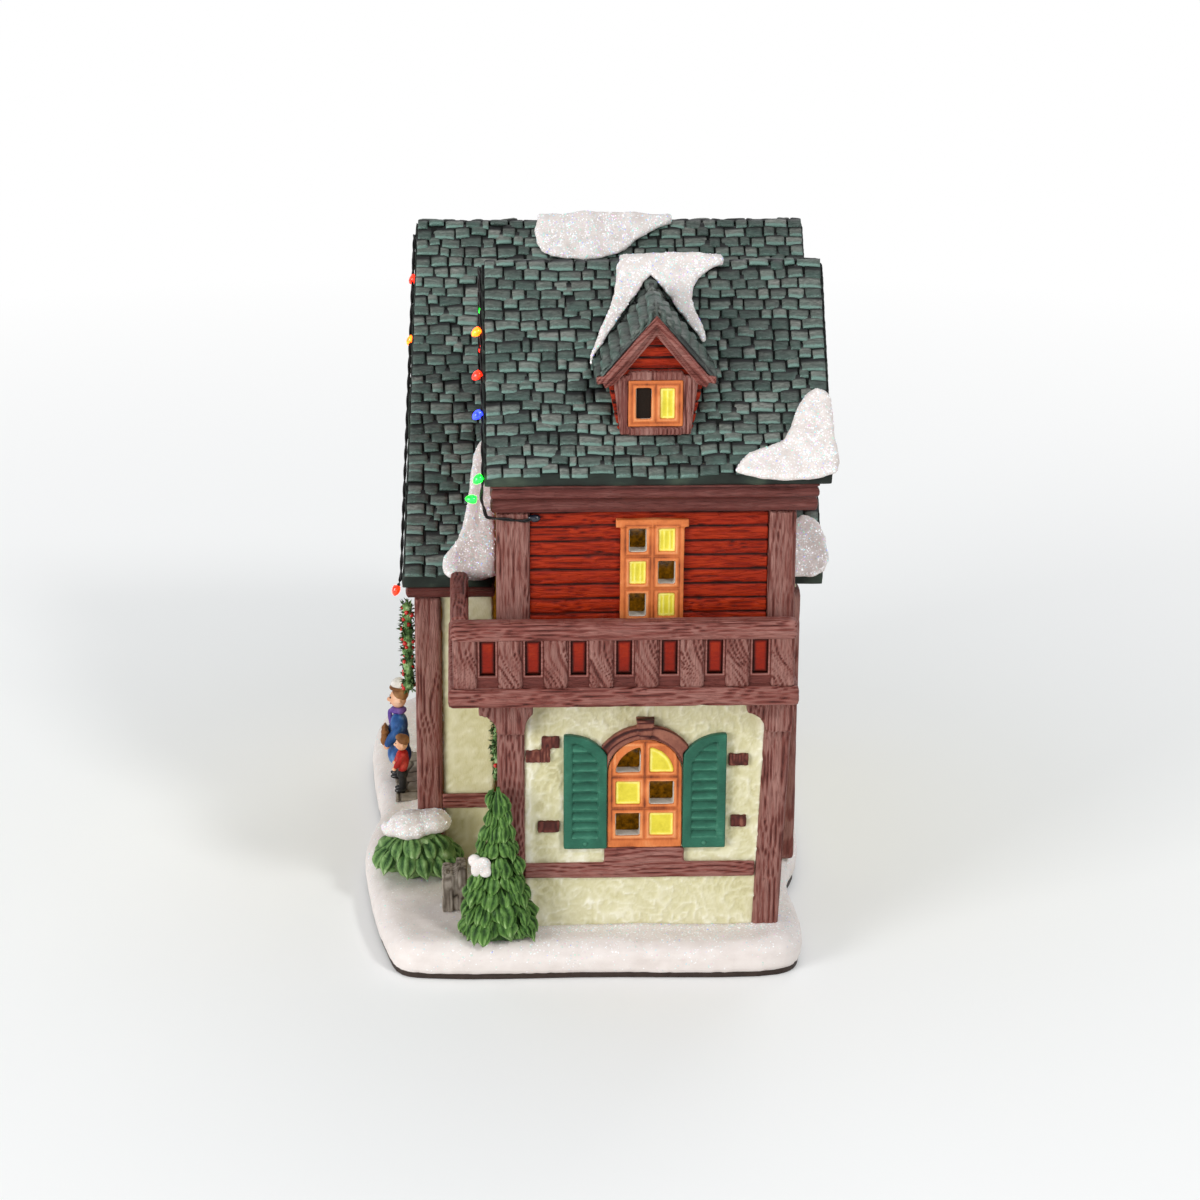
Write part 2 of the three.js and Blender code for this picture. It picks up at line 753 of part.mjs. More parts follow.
function addMainTimbers() {
  const shape = corniceShape(mainNearSlope, mainNear, mainCorniceReach, mainCorniceHeight);
  const cornice = alongX(shape, mainFront - mainVergeFront + 1, wingFront - seatGap);
  addPiece("main_cornice", cornice, timber);
  const section = softRectangle(
    mainNear - timberProud, mainNear, mainTimberBottom, mainTimberBottom + timberHeight, 0.5,
  );
  const postInner = mainFront - mainPostProud + postWidth;
  addPiece("main_timber", alongX(section, postInner, wingFront - seatGap), timber);
}

// Shingle courses: a slab whose upper side climbs in steps from the eave to the ridge
function roofShape(roof, courses, startY, endY) {
  const { direction } = roof;
  const lift = tileButt / slopeCos;
  const run = Math.abs(roof.ridgeY - roof.eaveY) / courses;
  const points = [];
  for (let i = 0; i < courses; i += 1) {
    const y0 = roof.eaveY + direction * run * i;
    const y1 = y0 + direction * run;
    points.push([y0, roof.top(y0) + lift], [y1, roof.top(y1)]);
  }
  const between = (y) => direction * (y - startY) > 0.01 && direction * (endY - y) > 0.01;
  const firstLift = startY === roof.eaveY ? lift : 0;
  return outline([
    [startY, roof.top(startY) + firstLift],
    ...points.filter(([y]) => between(y)),
    [endY, roof.top(endY)],
    [endY, roof.under(endY)],
    [startY, roof.under(startY)],
  ]);
}

// Draws the ends of a roof in towards the ridge, so that the verge leans
function flared(geometry, roof, x0, x1, flareFront, flareBack) {
  const positions = geometry.attributes.position;
  const rise = roof.ridgeTop - roof.eaveTop;
  for (let i = 0; i < positions.count; i += 1) {
    const x = positions.getX(i);
    const share = (positions.getZ(i) - roof.eaveTop) / rise;
    if (Math.abs(x - x0) < 0.01) positions.setX(i, x0 + flareFront * share);
    if (Math.abs(x - x1) < 0.01) positions.setX(i, x1 - flareBack * share);
  }
  return geometry;
}

function addRoofs() {
  const x0 = mainFront - mainVergeFront;
  const x1 = mainBack + mainVergeBack;
  const seam = wingSpan - 1.2;
  const stripEnd = wingFront - seatGap;
  const stripStart = wingBack + seatGap;
  const near = mainNearSlope;
  const lowShape = () => roofShape(near, mainCourses, near.eaveY, seam);
  const highShape = roofShape(near, mainCourses, seam, near.ridgeY);
  const farShape = roofShape(mainFarSlope, mainCourses, mainFarSlope.eaveY, mainRidgeY);
  const shaped = (shape, left, right, front, back) =>
    flared(alongX(shape, left, right), near, left, right, front, back);
  addPiece("main_roof_near_front", shaped(lowShape(), x0, stripEnd, mainFlareFront, 0), shingle);
  addPiece("main_roof_near_back", shaped(lowShape(), stripStart, x1, 0, mainFlareBack), shingle);
  addPiece("main_roof_near_upper", shaped(highShape, x0, x1, mainFlareFront, mainFlareBack), shingle);
  addPiece("main_roof_far", shaped(farShape, x0, x1, mainFlareFront, mainFlareBack), shingle);

  const left = wingFront - wingVergeFront;
  const right = wingBack + wingVergeBack;
  const wingNear = roofShape(wingNearSlope, wingCourses, wingNearSlope.eaveY, wingNearSlope.ridgeY);
  addPiece("wing_roof_near", alongX(wingNear, left, right), shingle);
  addPiece("wing_roof_far", alongX(wingFarShape(), left, right), shingle);
}

// The wing's far slope runs down to the valley, cut parallel to the main roof
function wingFarShape() {
  const far = wingFarSlope;
  const lift = tileButt / slopeCos;
  const run = Math.abs(far.ridgeY - far.eaveY) / wingCourses;
  const points = [[far.ridgeY, far.top(far.ridgeY)]];
  for (let i = 1; i < wingCourses; i += 1) {
    const y = far.ridgeY + run * i;
    if (y > valleyY - 1) break;
    points.push([y, far.top(y) + lift], [y, far.top(y)]);
  }
  const underY = (far.under(0) - mainNearSlope.top(0) - roofGap) / (2 * slope);
  points.push([valleyY, far.top(valleyY)]);
  points.push([underY, far.under(underY)]);
  points.push([far.ridgeY, far.under(far.ridgeY)]);
  return outline(points.reverse());
}

// The wing's side under its roof, from the near post back to the main roof
function wingSideShape() {
  const startY = postWidth - postProud;
  const wingUnder = (y) => Math.min(wingNearSlope.under(y), wingFarSlope.under(y)) - underGap;
  const mainUnder = (y) => mainNearSlope.under(y);
  const endY = wingSpan - 6;
  return outline([
    [startY, groundTop],
    [mainNear, groundTop],
    [mainNear, mainUnder(mainNear)],
    [endY, mainUnder(endY)],
    [endY, wingUnder(endY)],
    [wingNearSlope.ridgeY, wingUnder(wingNearSlope.ridgeY)],
    [startY, wingUnder(startY)],
  ]);
}

const wingWallTop = wingNearSlope.under(0) - underGap;
const mainCorniceLow = mainNearSlope.under(mainNear - mainCorniceReach) - mainCorniceHeight;
const wingCorniceLow = wingNearSlope.under(-corniceReach) - corniceHeight;
const frontPost = { x0: wingFront - 0.2, x1: wingFront - 0.2 + postWidth };
const backPost = { x0: wingBack + 3.4 - postWidth, x1: wingBack + 3.4 };
const upperFrontEnd = frontPost.x0 + upperPostWidth;
const capitalTop = deckBottom - seatGap;
const capitalLow = capitalTop - capitalHeight;

// How far the leaning back post stands in at a height
function leanAt(z) {
  return postLean * Math.max(0, 1 - (z - groundTop) / (capitalLow - groundTop));
}

// The wing's near wall between its posts, seen from the front, up to a height
function lowerWallShape(top, room) {
  const end = backPost.x0 - room;
  return outline([
    [frontPost.x1, groundTop],
    [end - leanAt(groundTop), groundTop],
    [end, capitalLow],
    [end, top],
    [frontPost.x1, top],
  ]);
}

function addWingWalls() {
  const lower = alongY(lowerWallShape(deckTop, seatGap), 0, wallThickness);
  const lowerWall = join(lower, ...facingStones());
  addPiece("wing_wall_lower", cut(lowerWall, ...archPaneHoles(openingReveal)), stucco);
  const upper = block(upperFrontEnd, backPost.x0, 0, wallThickness, deckTop, wingWallTop);
  addPiece("wing_wall_upper", cut(upper, ...tallPaneHoles(openingReveal)), redBoards);
  const side = wingSideShape();
  const insideX = wingFront + wallThickness;
  addPiece("wing_front_wall", alongX(side, wingFront, insideX), stucco);
  addPiece("wing_back_wall", alongX(side, wingBack - wallThickness, wingBack), stucco);
}

// Five dressed stones set in the plaster round the lower window
function facingStones() {
  const shutterReach = arch.width / 2 + seatGap + shutterWidth;
  const between = (x0, x1) => ([share, width, z]) => {
    const low = x0 + share * (x1 - x0);
    return block(low, low + width * (x1 - x0), -stoneProud, 1, z, z + facingHeight);
  };
  return [
    ...frontStones.map(between(frontPost.x1, arch.centre - shutterReach)),
    ...backStones.map(between(arch.centre + shutterReach, backPost.x0 - postLean)),
  ];
}

// Posts of the wing: foot, capital under the deck, and the upper length to the cornice
function wingPost(x0, x1, upperX0, upperX1, capitalBack, leaning) {
  const y0 = -postProud;
  const y1 = y0 + postWidth;
  const lower = alongZ(softRectangle(x0, x1, y0, y1, postEdge), groundTop, capitalLow);
  const positions = lower.attributes.position;
  for (let i = 0; i < positions.count; i += 1) {
    if (leaning) positions.setX(i, positions.getX(i) - leanAt(positions.getZ(i)));
  }
  const left = x0 - capitalReach;
  const right = x1 + capitalBack;
  const swell = capitalLow + capitalHeight * 0.45;
  const lip = capitalLow + capitalHeight * 0.55;
  const shape = new THREE.Shape();
  shape.moveTo(x0, capitalLow);
  shape.lineTo(x1, capitalLow);
  shape.quadraticCurveTo(x1 + 0.2, swell, right, lip);
  shape.lineTo(right, capitalTop);
  shape.lineTo(left, capitalTop);
  shape.lineTo(left, lip);
  shape.quadraticCurveTo(x0 - 0.2, swell, x0, capitalLow);
  const capital = alongY(shape, y0 - capitalForward, y1);
  const upper = alongZ(
    softRectangle(upperX0, upperX1, y0, y1, postEdge), capitalTop, wingCorniceLow - seatGap,
  );
  return join(lower, capital, upper);
}

function addWingPosts() {
  const wall = alongY(lowerWallShape(deckTop, 0), 0, postWidth);
  const front = wingPost(
    frontPost.x0, frontPost.x1, frontPost.x0, upperFrontEnd, capitalInner, false,
  );
  const back = wingPost(
    backPost.x0, backPost.x1, backPost.x0, backPost.x1, capitalOuter, true,
  );
  addPiece("wing_post_front", cut(front, wall), timber);
  addPiece("wing_post_back", cut(back, wall), timber);
}

function addBalcony() {
  const x0 = wingFront - deckFrontReach;
  const x1 = wingBack + deckBackReach;
  const y0 = -deckReach;
  const plan = outline([
    [x0, y0],
    [x1, y0],
    [x1, 0],
    [wingFront - seatGap, 0],
    [wingFront - seatGap, mainNear - seatGap],
    [x0, mainNear - seatGap],
  ]);
  const postRoom = (x, end) =>
    block(x - seatGap, end + seatGap, -postProud - seatGap, postWidth, deckBottom - 1, deckTop + 1);
  addPiece(
    "balcony_deck",
    cut(
      alongZ(plan, deckBottom, deckTop, 0.6),
      postRoom(frontPost.x0, upperFrontEnd),
      postRoom(backPost.x0, backPost.x1),
    ),
    timber,
  );

  const railX0 = x0 + railEndSetback;
  const railX1 = x1 - railEndSetback;
  const railY0 = y0 + 0.2;
  const railLow = railTop - railHeight;
  const nearRail = alongX(
    softRectangle(railY0, railY0 + railWidth, railLow, railTop, 1.4), railX0, railX1, 0.6,
  );
  const nearBalusters = [];
  const pitch = (railX1 - railX0 - 1 - balusterWidth) / (balusterCount - 1);
  for (let i = 0; i < balusterCount; i += 1) {
    const x = railX0 + 0.5 + i * pitch;
    nearBalusters.push(
      block(x, x + balusterWidth, railY0 + 0.6, railY0 + 3, deckTop, railLow + 1),
    );
  }
  const panelY = railY0 + 0.6 + panelSetback;
  const nearPanel = block(
    railX0 + 0.6, railX1 - 0.6, panelY, panelY + panelThickness, deckTop, railLow + 1,
  );
  addPiece("balustrade_near", join(nearRail, nearPanel, ...nearBalusters), timber);

  const sideStart = railY0 + railWidth + seatGap;
  const sideEnd = mainNear - sideRailEnd;
  const sideRail = alongY(
    softRectangle(railX0, railX0 + railWidth, railLow, railTop, 1.4), sideStart, sideEnd, 0.6,
  );
  const sidePanelX = railX0 + 0.6 + panelSetback;
  const sidePanel = block(
    sidePanelX, sidePanelX + panelThickness, sideStart, sideEnd - 0.6, deckTop, railLow + 1,
  );
  const sidePitch = (sideEnd - sideStart - 1.2 - balusterWidth) / (sideBalusterCount - 1);
  const sideBalusters = [];
  for (let i = 0; i < sideBalusterCount; i += 1) {
    const y = sideStart + 0.6 + i * sidePitch;
    sideBalusters.push(
      block(railX0 + 0.6, railX0 + 3, y, y + balusterWidth, deckTop, railLow + 1),
    );
  }
  addPiece("balustrade_front", join(sideRail, sidePanel, ...sideBalusters), timber);
}

function addWingTimbers() {
  const shape = corniceShape(wingNearSlope, 0, corniceReach, corniceHeight);
  addPiece(
    "wing_cornice",
    alongX(shape, wingFront - corniceOverFront, wingBack + corniceOverBack),
    timber,
  );
  const end = backPost.x0 - leanAt(wingTimberBottom) - seatGap;
  const band = alongX(
    softRectangle(-timberProud, 0, wingTimberBottom, wingTimberBottom + timberHeight, 0.5),
    frontPost.x1, end,
  );
  const half = arch.width / 2 + sillReach;
  const sill = block(
    arch.centre - half, arch.centre + half, -timberProud, 0,
    wingTimberBottom + timberHeight - 0.5, arch.bottom - seatGap,
  );
  addPiece("wing_timber", join(band, sill), timber);
}

// Lower window: an arched frame with a mullion and two rails
function archedShape(halfWidth, low, spring) {
  const shape = new THREE.Shape();
  shape.moveTo(arch.centre - halfWidth, low);
  shape.lineTo(arch.centre + halfWidth, low);
  shape.lineTo(arch.centre + halfWidth, spring);
  shape.absarc(arch.centre, spring, halfWidth, 0, Math.PI, false);
  return shape;
}

// Open panes sit in a chequer: upper left, middle right, lower left
function isOpen(row, column) {
  return (row + column) % 2 === 0;
}

function archPanes() {
  const half = arch.width / 2;
  const paneWidth = half - arch.stile - archMullion / 2;
  const upperLow = arch.spring + 0.5;
  const lowest = arch.bottom + archBottomRail;
  const height = (upperLow - lowest - 2 * arch.rail) / 2;
  const panes = [];
  for (let row = 0; row < paneRows; row += 1) {
    const z0 = upperLow - row * (height + arch.rail);
    const z1 = row === 0 ? arch.spring + half : z0 + height;
    for (let column = 0; column < 2; column += 1) {
      const x0 = column === 0 ? arch.centre - half + arch.stile : arch.centre + archMullion / 2;
      panes.push({ x0, x1: x0 + paneWidth, z0, z1, row, column });
    }
  }
  return panes;
}

function archPaneSolid(pane, y0, y1, room) {
  const box = block(pane.x0 - room, pane.x1 + room, y0, y1, pane.z0 - room, pane.z1 + room);
  const half = arch.width / 2 - arch.stile + room;
  return keepWithin(box, alongY(archedShape(half, arch.bottom, arch.spring), y0 - 1, y1 + 1));
}

function archPaneHoles(room) {
  return archPanes()
    .filter((pane) => isOpen(pane.row, pane.column))
    .map((pane) => archPaneSolid(pane, -frameProud - 1, wallThickness + 1, room));
}

function addLowerWindow() {
  const whole = alongY(archedShape(arch.width / 2, arch.bottom, arch.spring), -frameProud, 0);
  const recesses = archPanes()
    .filter((pane) => !isOpen(pane.row, pane.column))
    .map((pane) => archPaneSolid(pane, -frameProud - 1, -frameProud + paneRecess, 0));
  addPiece("window_frame_lower", cut(whole, ...archPaneHoles(0), ...recesses), orange);

  const inner = arch.width / 2 + seatGap;
  const outer = inner + archBand;
  const ring = new THREE.Shape();
  ring.absarc(arch.centre, arch.spring, outer, 0, Math.PI, false);
  ring.absarc(arch.centre, arch.spring, inner, Math.PI, 0, true);
  const band = alongY(ring, -archBandProud, 0);
  const half = keystone.width / 2;
  const key = alongY(
    outline([
      [arch.centre - half + keystone.taper, arch.spring + inner],
      [arch.centre + half - keystone.taper, arch.spring + inner],
      [arch.centre + half, keystone.top],
      [arch.centre - half, keystone.top],
    ]),
    -archBandProud - 0.7, 0,
  );
  addPiece("stone_arch", cut(join(band, key), ...shutterRoom()), archStone);
}

// Shutters: a frame with a top that drops towards the window, filled with slats
function shutterShape(side, grow) {
  const near = arch.centre + side * (arch.width / 2 + seatGap) - side * grow;
  const far = near + side * (shutterWidth + 2 * grow);
  const low = arch.bottom - grow;
  const nearTop = arch.bottom + shutterLow + grow;
  const farTop = nearTop + shutterRise;
  const shape = new THREE.Shape();
  shape.moveTo(near, low);
  shape.lineTo(far, low);
  shape.lineTo(far, farTop);
  shape.quadraticCurveTo(near + side * shutterWidth * 0.3, farTop, near, nearTop);
  return shape;
}

function shutterRoom() {
  return [-1, 1].map((side) => alongY(shutterShape(side, seatGap), -20, 1));
}

function addShutter(name, side) {
  const leaf = alongY(shutterShape(side, 0), -shutterThickness, 0);
  const field = alongY(shutterShape(side, -shutterStile), -20, -shutterThickness + louvreDepth);
  const near = arch.centre + side * (arch.width / 2 + seatGap + shutterStile - 0.3);
  const far = near + side * (shutterWidth - 2 * shutterStile + 0.6);
  const low = arch.bottom + shutterStile;
  const high = arch.bottom + shutterLow + shutterRise - shutterStile;
  const pitch = (high - low) / louvres;
  const back = -shutterThickness + louvreDepth;
  const teeth = [[back + 0.4, low]];
  for (let i = 0; i < louvres; i += 1) {
    teeth.push([back - 0.9, low + i * pitch + 0.2], [back, low + (i + 1) * pitch - 0.2]);
  }
  teeth.push([back + 0.4, high]);
  const slats = alongX(outline(teeth), Math.min(near, far), Math.max(near, far));
  const clipped = keepWithin(slats, alongY(shutterShape(side, -shutterStile + 0.3), -20, 5));
  addPiece(name, join(cut(leaf, field), clipped), shutterGreen);
}

// Upper window: the tall balcony door, three rows of panes over a solid panel
function tallPanes() {
  const half = tall.width / 2;
  const paneWidth = half - tall.stile - tallMullion / 2;
  const panes = [];
  for (let row = 0; row < paneRows; row += 1) {
    const top = tall.top - tall.head - (row * (tallPaneHeight + tall.rail));
    for (let column = 0; column < 2; column += 1) {
      const x0 = column === 0 ? tall.centre - half + tall.stile : tall.centre + tallMullion / 2;
      panes.push({ x0, x1: x0 + paneWidth, z0: top - tallPaneHeight, z1: top, row, column });
    }
  }
  return panes;
}

function tallPaneHoles(room) {
  return tallPanes()
    .filter((pane) => isOpen(pane.row, pane.column))
    .map((p) =>
      block(p.x0 - room, p.x1 + room, -frameProud - 1, wallThickness + 1, p.z0 - room, p.z1 + room),
    );
}

function addUpperWindow() {
  const half = tall.width / 2;
  const low = deckTop + seatGap;
  const high = Math.min(tall.top, wingCorniceLow - seatGap);
  const leaf = block(tall.centre - half, tall.centre + half, -frameProud, 0, low, high);
  const capHalf = half + tall.cap;
  const cap = block(
    tall.centre - capHalf, tall.centre + capHalf, -frameProud - 0.6, 0, high - tall.head + 0.6, high,
  );
  const recesses = tallPanes()
    .filter((pane) => !isOpen(pane.row, pane.column))
    .map((p) => block(p.x0, p.x1, -frameProud - 1, -frameProud + paneRecess, p.z0, p.z1));
  const lastRow = tallPanes().at(-1).z0;
  const panel = block(
    tall.centre - half + tall.stile, tall.centre + half - tall.stile,
    -frameProud - 1, -frameProud + 0.5, low + tall.rail, lastRow - tall.rail,
  );
  addPiece("window_frame_upper", cut(join(leaf, cap), ...tallPaneHoles(0), ...recesses, panel), orange);
}

// Dormer: hollow box with tapering cheeks that stands on the wing's near slope
function dormerProfile(room, drop) {
  const foot = dormerFoot / 2 - room;
  const eave = dormerEaveWidth / 2 - room;
  const footZ = wingNearSlope.top(dormerFace) - 4;
  return outline([
    [dormerCentre - foot, footZ],
    [dormerCentre + foot, footZ],
    [dormerCentre + eave, dormerEave],
    [dormerCentre, dormerApex - drop],
    [dormerCentre - eave, dormerEave],
  ]);
}

// All that lies below the shingles of the wing's near slope, with room for a seat
function underWingSlope() {
  const y0 = wingNearSlope.eaveY - 5;
  const y1 = wingNearSlope.ridgeY + 2;
  const lift = roofGap;
  return alongX(
    outline([
      [y0, 0],
      [y1, 0],
      [y1, wingNearSlope.top(y1) + lift],
      [y0, wingNearSlope.top(y0) + lift],
    ]),
    wingFront - cutSpare,
    wingBack + cutSpare,
  );
}

function dormerPanes() {
  const { width, height, stile, mullion } = dormerWindow;
  const low = wingNearSlope.top(dormerFace) + dormerWindow.lift;
  const paneWidth = width / 2 - stile - mullion / 2;
  return [
    dormerCentre - width / 2 + stile,
    dormerCentre + mullion / 2,
  ].map((x0) => ({ x0, x1: x0 + paneWidth, z0: low + stile, z1: low + height - stile }));
}

function dormerRoofBand(drop) {
  const side = dormerEaveWidth / 2 + dormerRoofSide;
  const fall = (dormerApex - dormerEave) / (dormerEaveWidth / 2);
  const top = dormerApex + drop;
  return outline([
    [dormerCentre - side, top - side * fall],
    [dormerCentre - side, top - side * fall - drop + 0.3],
    [dormerCentre, dormerApex + seatGap],
    [dormerCentre + side, top - side * fall - drop + 0.3],
    [dormerCentre + side, top - side * fall],
    [dormerCentre, top + 0.6],
  ]);
}

function addDormer() {
  const backY = wingNearSlope.ridgeY - dormerRidgeSetback;
  const below = underWingSlope();
  const outer = alongY(dormerProfile(0, 0), dormerFace, backY);
  const room = alongY(dormerProfile(dormerWall, dormerWall * 1.6), dormerFace + dormerWall, backY + 1);
  const [open] = dormerPanes();
  const hole = block(
    open.x0 - openingReveal, open.x1 + openingReveal, dormerFace - 3, dormerFace + dormerWall + 1,
    open.z0 - openingReveal, open.z1 + openingReveal,
  );
  addPiece("dormer_body", cut(outer, room, below, hole), redBoards);

  const roof = alongY(dormerRoofBand(dormerRoofDrop), dormerFace - dormerRoofReach, backY);
  addPiece("dormer_roof", cut(roof, below), shingle);

  const { width, height, lift } = dormerWindow;
  const low = wingNearSlope.top(dormerFace) + lift;
  const leaf = block(
    dormerCentre - width / 2, dormerCentre + width / 2, dormerFace - frameProud, dormerFace,
    low, low + height,
  );
  const [first, second] = dormerPanes();
  const pane = block(first.x0, first.x1, dormerFace - 3, dormerFace + 1, first.z0, first.z1);
  const recess = block(
    second.x0, second.x1, dormerFace - 3, dormerFace - frameProud + paneRecess, second.z0, second.z1,
  );
  addPiece("dormer_window", cut(leaf, pane, recess), orange);
}

function addFrontDoor() {
  const x0 = mainFront - doorProud;
  const half = doorWidth / 2;
  const shape = (grow) => {
    const outlineShape = new THREE.Shape();
    outlineShape.moveTo(mainRidgeY - half - grow, groundTop);
    outlineShape.lineTo(mainRidgeY + half + grow, groundTop);
    outlineShape.lineTo(mainRidgeY + half + grow, groundTop + doorHeight - half);
    outlineShape.absarc(mainRidgeY, groundTop + doorHeight - half, half + grow, 0, Math.PI, false);
    return outlineShape;
  };
  const leaf = alongX(shape(0), x0, mainFront);
  const panels = [-1, 1].map((side) => {
    const middle = mainRidgeY + side * half * 0.48;
    const wide = half * 0.36;
    return block(
      x0 - 1, x0 + 0.6, middle - wide, middle + wide,
      groundTop + doorPanelInset, groundTop + doorHeight - half,
    );
  });
  addPiece("front_door", cut(leaf, ...panels), timber);
}

// Snow on a near slope: an outline of places (x, distance up from the eave), above the shingles
function slopeSnow(roof, places, thickness) {
  const plan = closedCurve(places, places.length * 3);
  const shape = new THREE.Shape(plan.map((p) => new THREE.Vector2(p.x, p.y)));
  const plate = drawnOut(shape, thickness, snowBevel);
  plate.translate(0, 0, tileButt + seatGap);
  plate.rotateX(THREE.MathUtils.degToRad(roofPitch));
  return plate.translate(0, roof.eaveY, roof.eaveTop);
}

// A roll of snow that folds over the ridge
function ridgeRoll(roof, x0, x1, nearReach, farReach) {
  const bare = (y) => roof.ridgeTop - Math.abs(y - roof.ridgeY) * slope + roofGap;
  const high = roofSnow / slopeCos;
  const nearY = roof.ridgeY - nearReach;
  const farY = roof.ridgeY + farReach;
  const shape = outline([
    [nearY, bare(nearY)],
    [roof.ridgeY, roof.ridgeTop + underGap],
    [roof.ridgeY + nearReach * 0.8, bare(roof.ridgeY + nearReach * 0.8)],
    [farY, bare(farY)],
    [farY + 0.6, bare(farY) + high * 0.55],
    [roof.ridgeY + farReach * 0.3, roof.ridgeTop + roofSnow * 0.55],
    [roof.ridgeY, roof.ridgeTop + roofSnow * 0.7],
    [roof.ridgeY - nearReach * 0.4, roof.ridgeTop + roofSnow * 0.5],
    [nearY, bare(nearY) + high * 0.8],
  ]);
  return alongX(shape, x0, x1);
}

// Places of an outline given from the ridge, as distances up from the eave
function fromRidge(roof, places) {
  const run = (roof.ridgeY - roof.eaveY) / slopeCos;
  return places.map(([x, down]) => [x, run - down]);
}

// Places of an outline given from one end of the roof
function fromEnd(end, places) {
  return places.map(([x, up]) => [end + x, up]);
}

function ridgeSnow(roof, places, roll) {
  const plate = slopeSnow(roof, fromRidge(roof, places), roofSnow);
  return join(plate, ridgeRoll(roof, roll.x0, roll.x1, ridgeSnowReach, roll.far));
}

function addRoofSnow() {
  const add = (name, geometry) => addPiece(name, geometry, snow);
  add("main_ridge_snow", ridgeSnow(mainNearSlope, mainRidgePatch, mainRidgeSnow));

  const dormerEnd = wingNearSlope.ridgeY - dormerRidgeSetback + seatGap;
  const dormerRoom = alongY(dormerKeepOut(), dormerFace - 20, dormerEnd);
  const wingSnow = ridgeSnow(wingNearSlope, wingRidgePatch, wingRidgeSnow);
  add("wing_ridge_snow", largestOf(cut(wingSnow, dormerRoom)));

  const wingEnd = wingBack + wingVergeBack;
  add("wing_corner_snow", slopeSnow(wingNearSlope, fromEnd(wingEnd, wingCornerPatch), roofSnow + 0.6));

  const valley = wingFront - seatGap;
  const eaveSnow = slopeSnow(mainNearSlope, fromEnd(valley, eavePatch), roofSnow + 1);
  const wingSide = block(valley, valley + 10, 0, mainRidgeY, groundTop, wingNearSlope.ridgeTop);
  add("main_eave_snow", cut(eaveSnow, wingSide));

  const mainEnd = mainBack + mainVergeBack;
  add("main_corner_snow", slopeSnow(mainNearSlope, fromEnd(mainEnd, mainCornerPatch), roofSnow));
}

// The dormer with its roof, with room for a seat all round
function dormerKeepOut() {
  const side = dormerEaveWidth / 2 + dormerRoofSide + seatGap;
  const fall = (dormerApex - dormerEave) / (dormerEaveWidth / 2);
  const top = dormerApex + dormerRoofDrop + 0.6 + 2 * seatGap;
  const foot = wingNearSlope.top(dormerFace) - 20;
  return outline([
    [dormerCentre - dormerFoot / 2 - 1, foot],
    [dormerCentre + dormerFoot / 2 + 1, foot],
    [dormerCentre + side, top - side * fall - dormerRoofDrop - 1],
    [dormerCentre + side, top - side * fall],
    [dormerCentre, top],
    [dormerCentre - side, top - side * fall],
    [dormerCentre - side, top - side * fall - dormerRoofDrop - 1],
  ]);
}

// The biggest of the bodies that a cut leaves
function largestOf(geometry) {
  const bodies = solidOf(geometry).decompose();
  return geometryOf(bodies.reduce((most, body) => (body.volume() > most.volume() ? body : most)));
}

// The corner of the house that the tree and the bush lean against
function houseCorners() {
  return [
    block(
      frontPost.x0 - seatGap, wingBack + 5, -postProud - seatGap, mainNear, groundTop - 5, deckBottom,
    ),
    block(
      mainFront - mainPostProud - seatGap, wingFront, mainNear - postProud - seatGap, mainFar,
      groundTop - 5, deckBottom,
    ),
  ];
}

// Fir tree: drooping tiers with pointed tips, one skin from the ground to the top
function addFirTree() {
  const x = wingFront - 0.3;
  const y = -postProud - treeDepth + 1.4;
  const points = treeLobes * 2;
  const rings = [];
  const pitch = treeHeight / (treeTiers + 0.4);
  for (let tier = 0; tier < treeTiers; tier += 1) {
    const share = 1 - (tier / treeTiers) * 0.86;
    const ring = (radius, z, wave) =>
      Array.from({ length: points }, (_, i) => {
        const turn = ((i + (tier % 2)) * 2 * Math.PI) / points;
        const tip = i % 2 === 0 ? wave : -wave;
        const r = radius * (1 + tip);
        return new THREE.Vector3(
          r * treeRadius * Math.cos(turn),
          r * treeDepth * Math.sin(turn),
          z - (i % 2 === 0 ? pitch * 0.16 : 0) * (tier > 0 ? 1 : 0),
        );
      });
    const low = groundTop + tier * pitch;
    rings.push(ring(share * 0.8, low + (tier > 0 ? pitch * 0.1 : 0), 0.1));
    rings.push(ring(share, low + pitch * 0.24, 0.14));
    rings.push(ring(share * 0.52, low + pitch * 1.0, 0.04));
  }
  rings.push(
    Array.from({ length: points }, (_, i) => {
      const turn = (i * 2 * Math.PI) / points;
      return new THREE.Vector3(0.5 * Math.cos(turn), 0.5 * Math.sin(turn), groundTop + treeHeight);
    }),
  );
  const tree = skin(rings).translate(x, y, 0);
  addPiece("fir_tree", largestOf(cut(tree, ...houseCorners())), foliage);
}

function ball(x, y, z, rx, ry, rz) {
  return new THREE.SphereGeometry(1, 10, 7).scale(rx, ry, rz).rotateX(Math.PI / 2).translate(x, y, z);
}

function lump(x, y, z, r, flat = 1) {
  return ball(x, y, z, r, r * flat, r);
}

// Leaf lumps and snow lumps of the bush, in bush radii from its middle: x, y, z, radius
const leafLumps = [[-1.15, 0.67, 0, 1], [-0.3, -0.13, 0, 1], [0.6, 0, 0.13, 1], [0, 0.13, 0.7, 0.95]];
const capLumps = [[-0.4, 0.13, 1.53, 1.1], [0.47, 0.19, 1.67, 0.9], [-1.07, 0.4, 1.27, 0.7]];

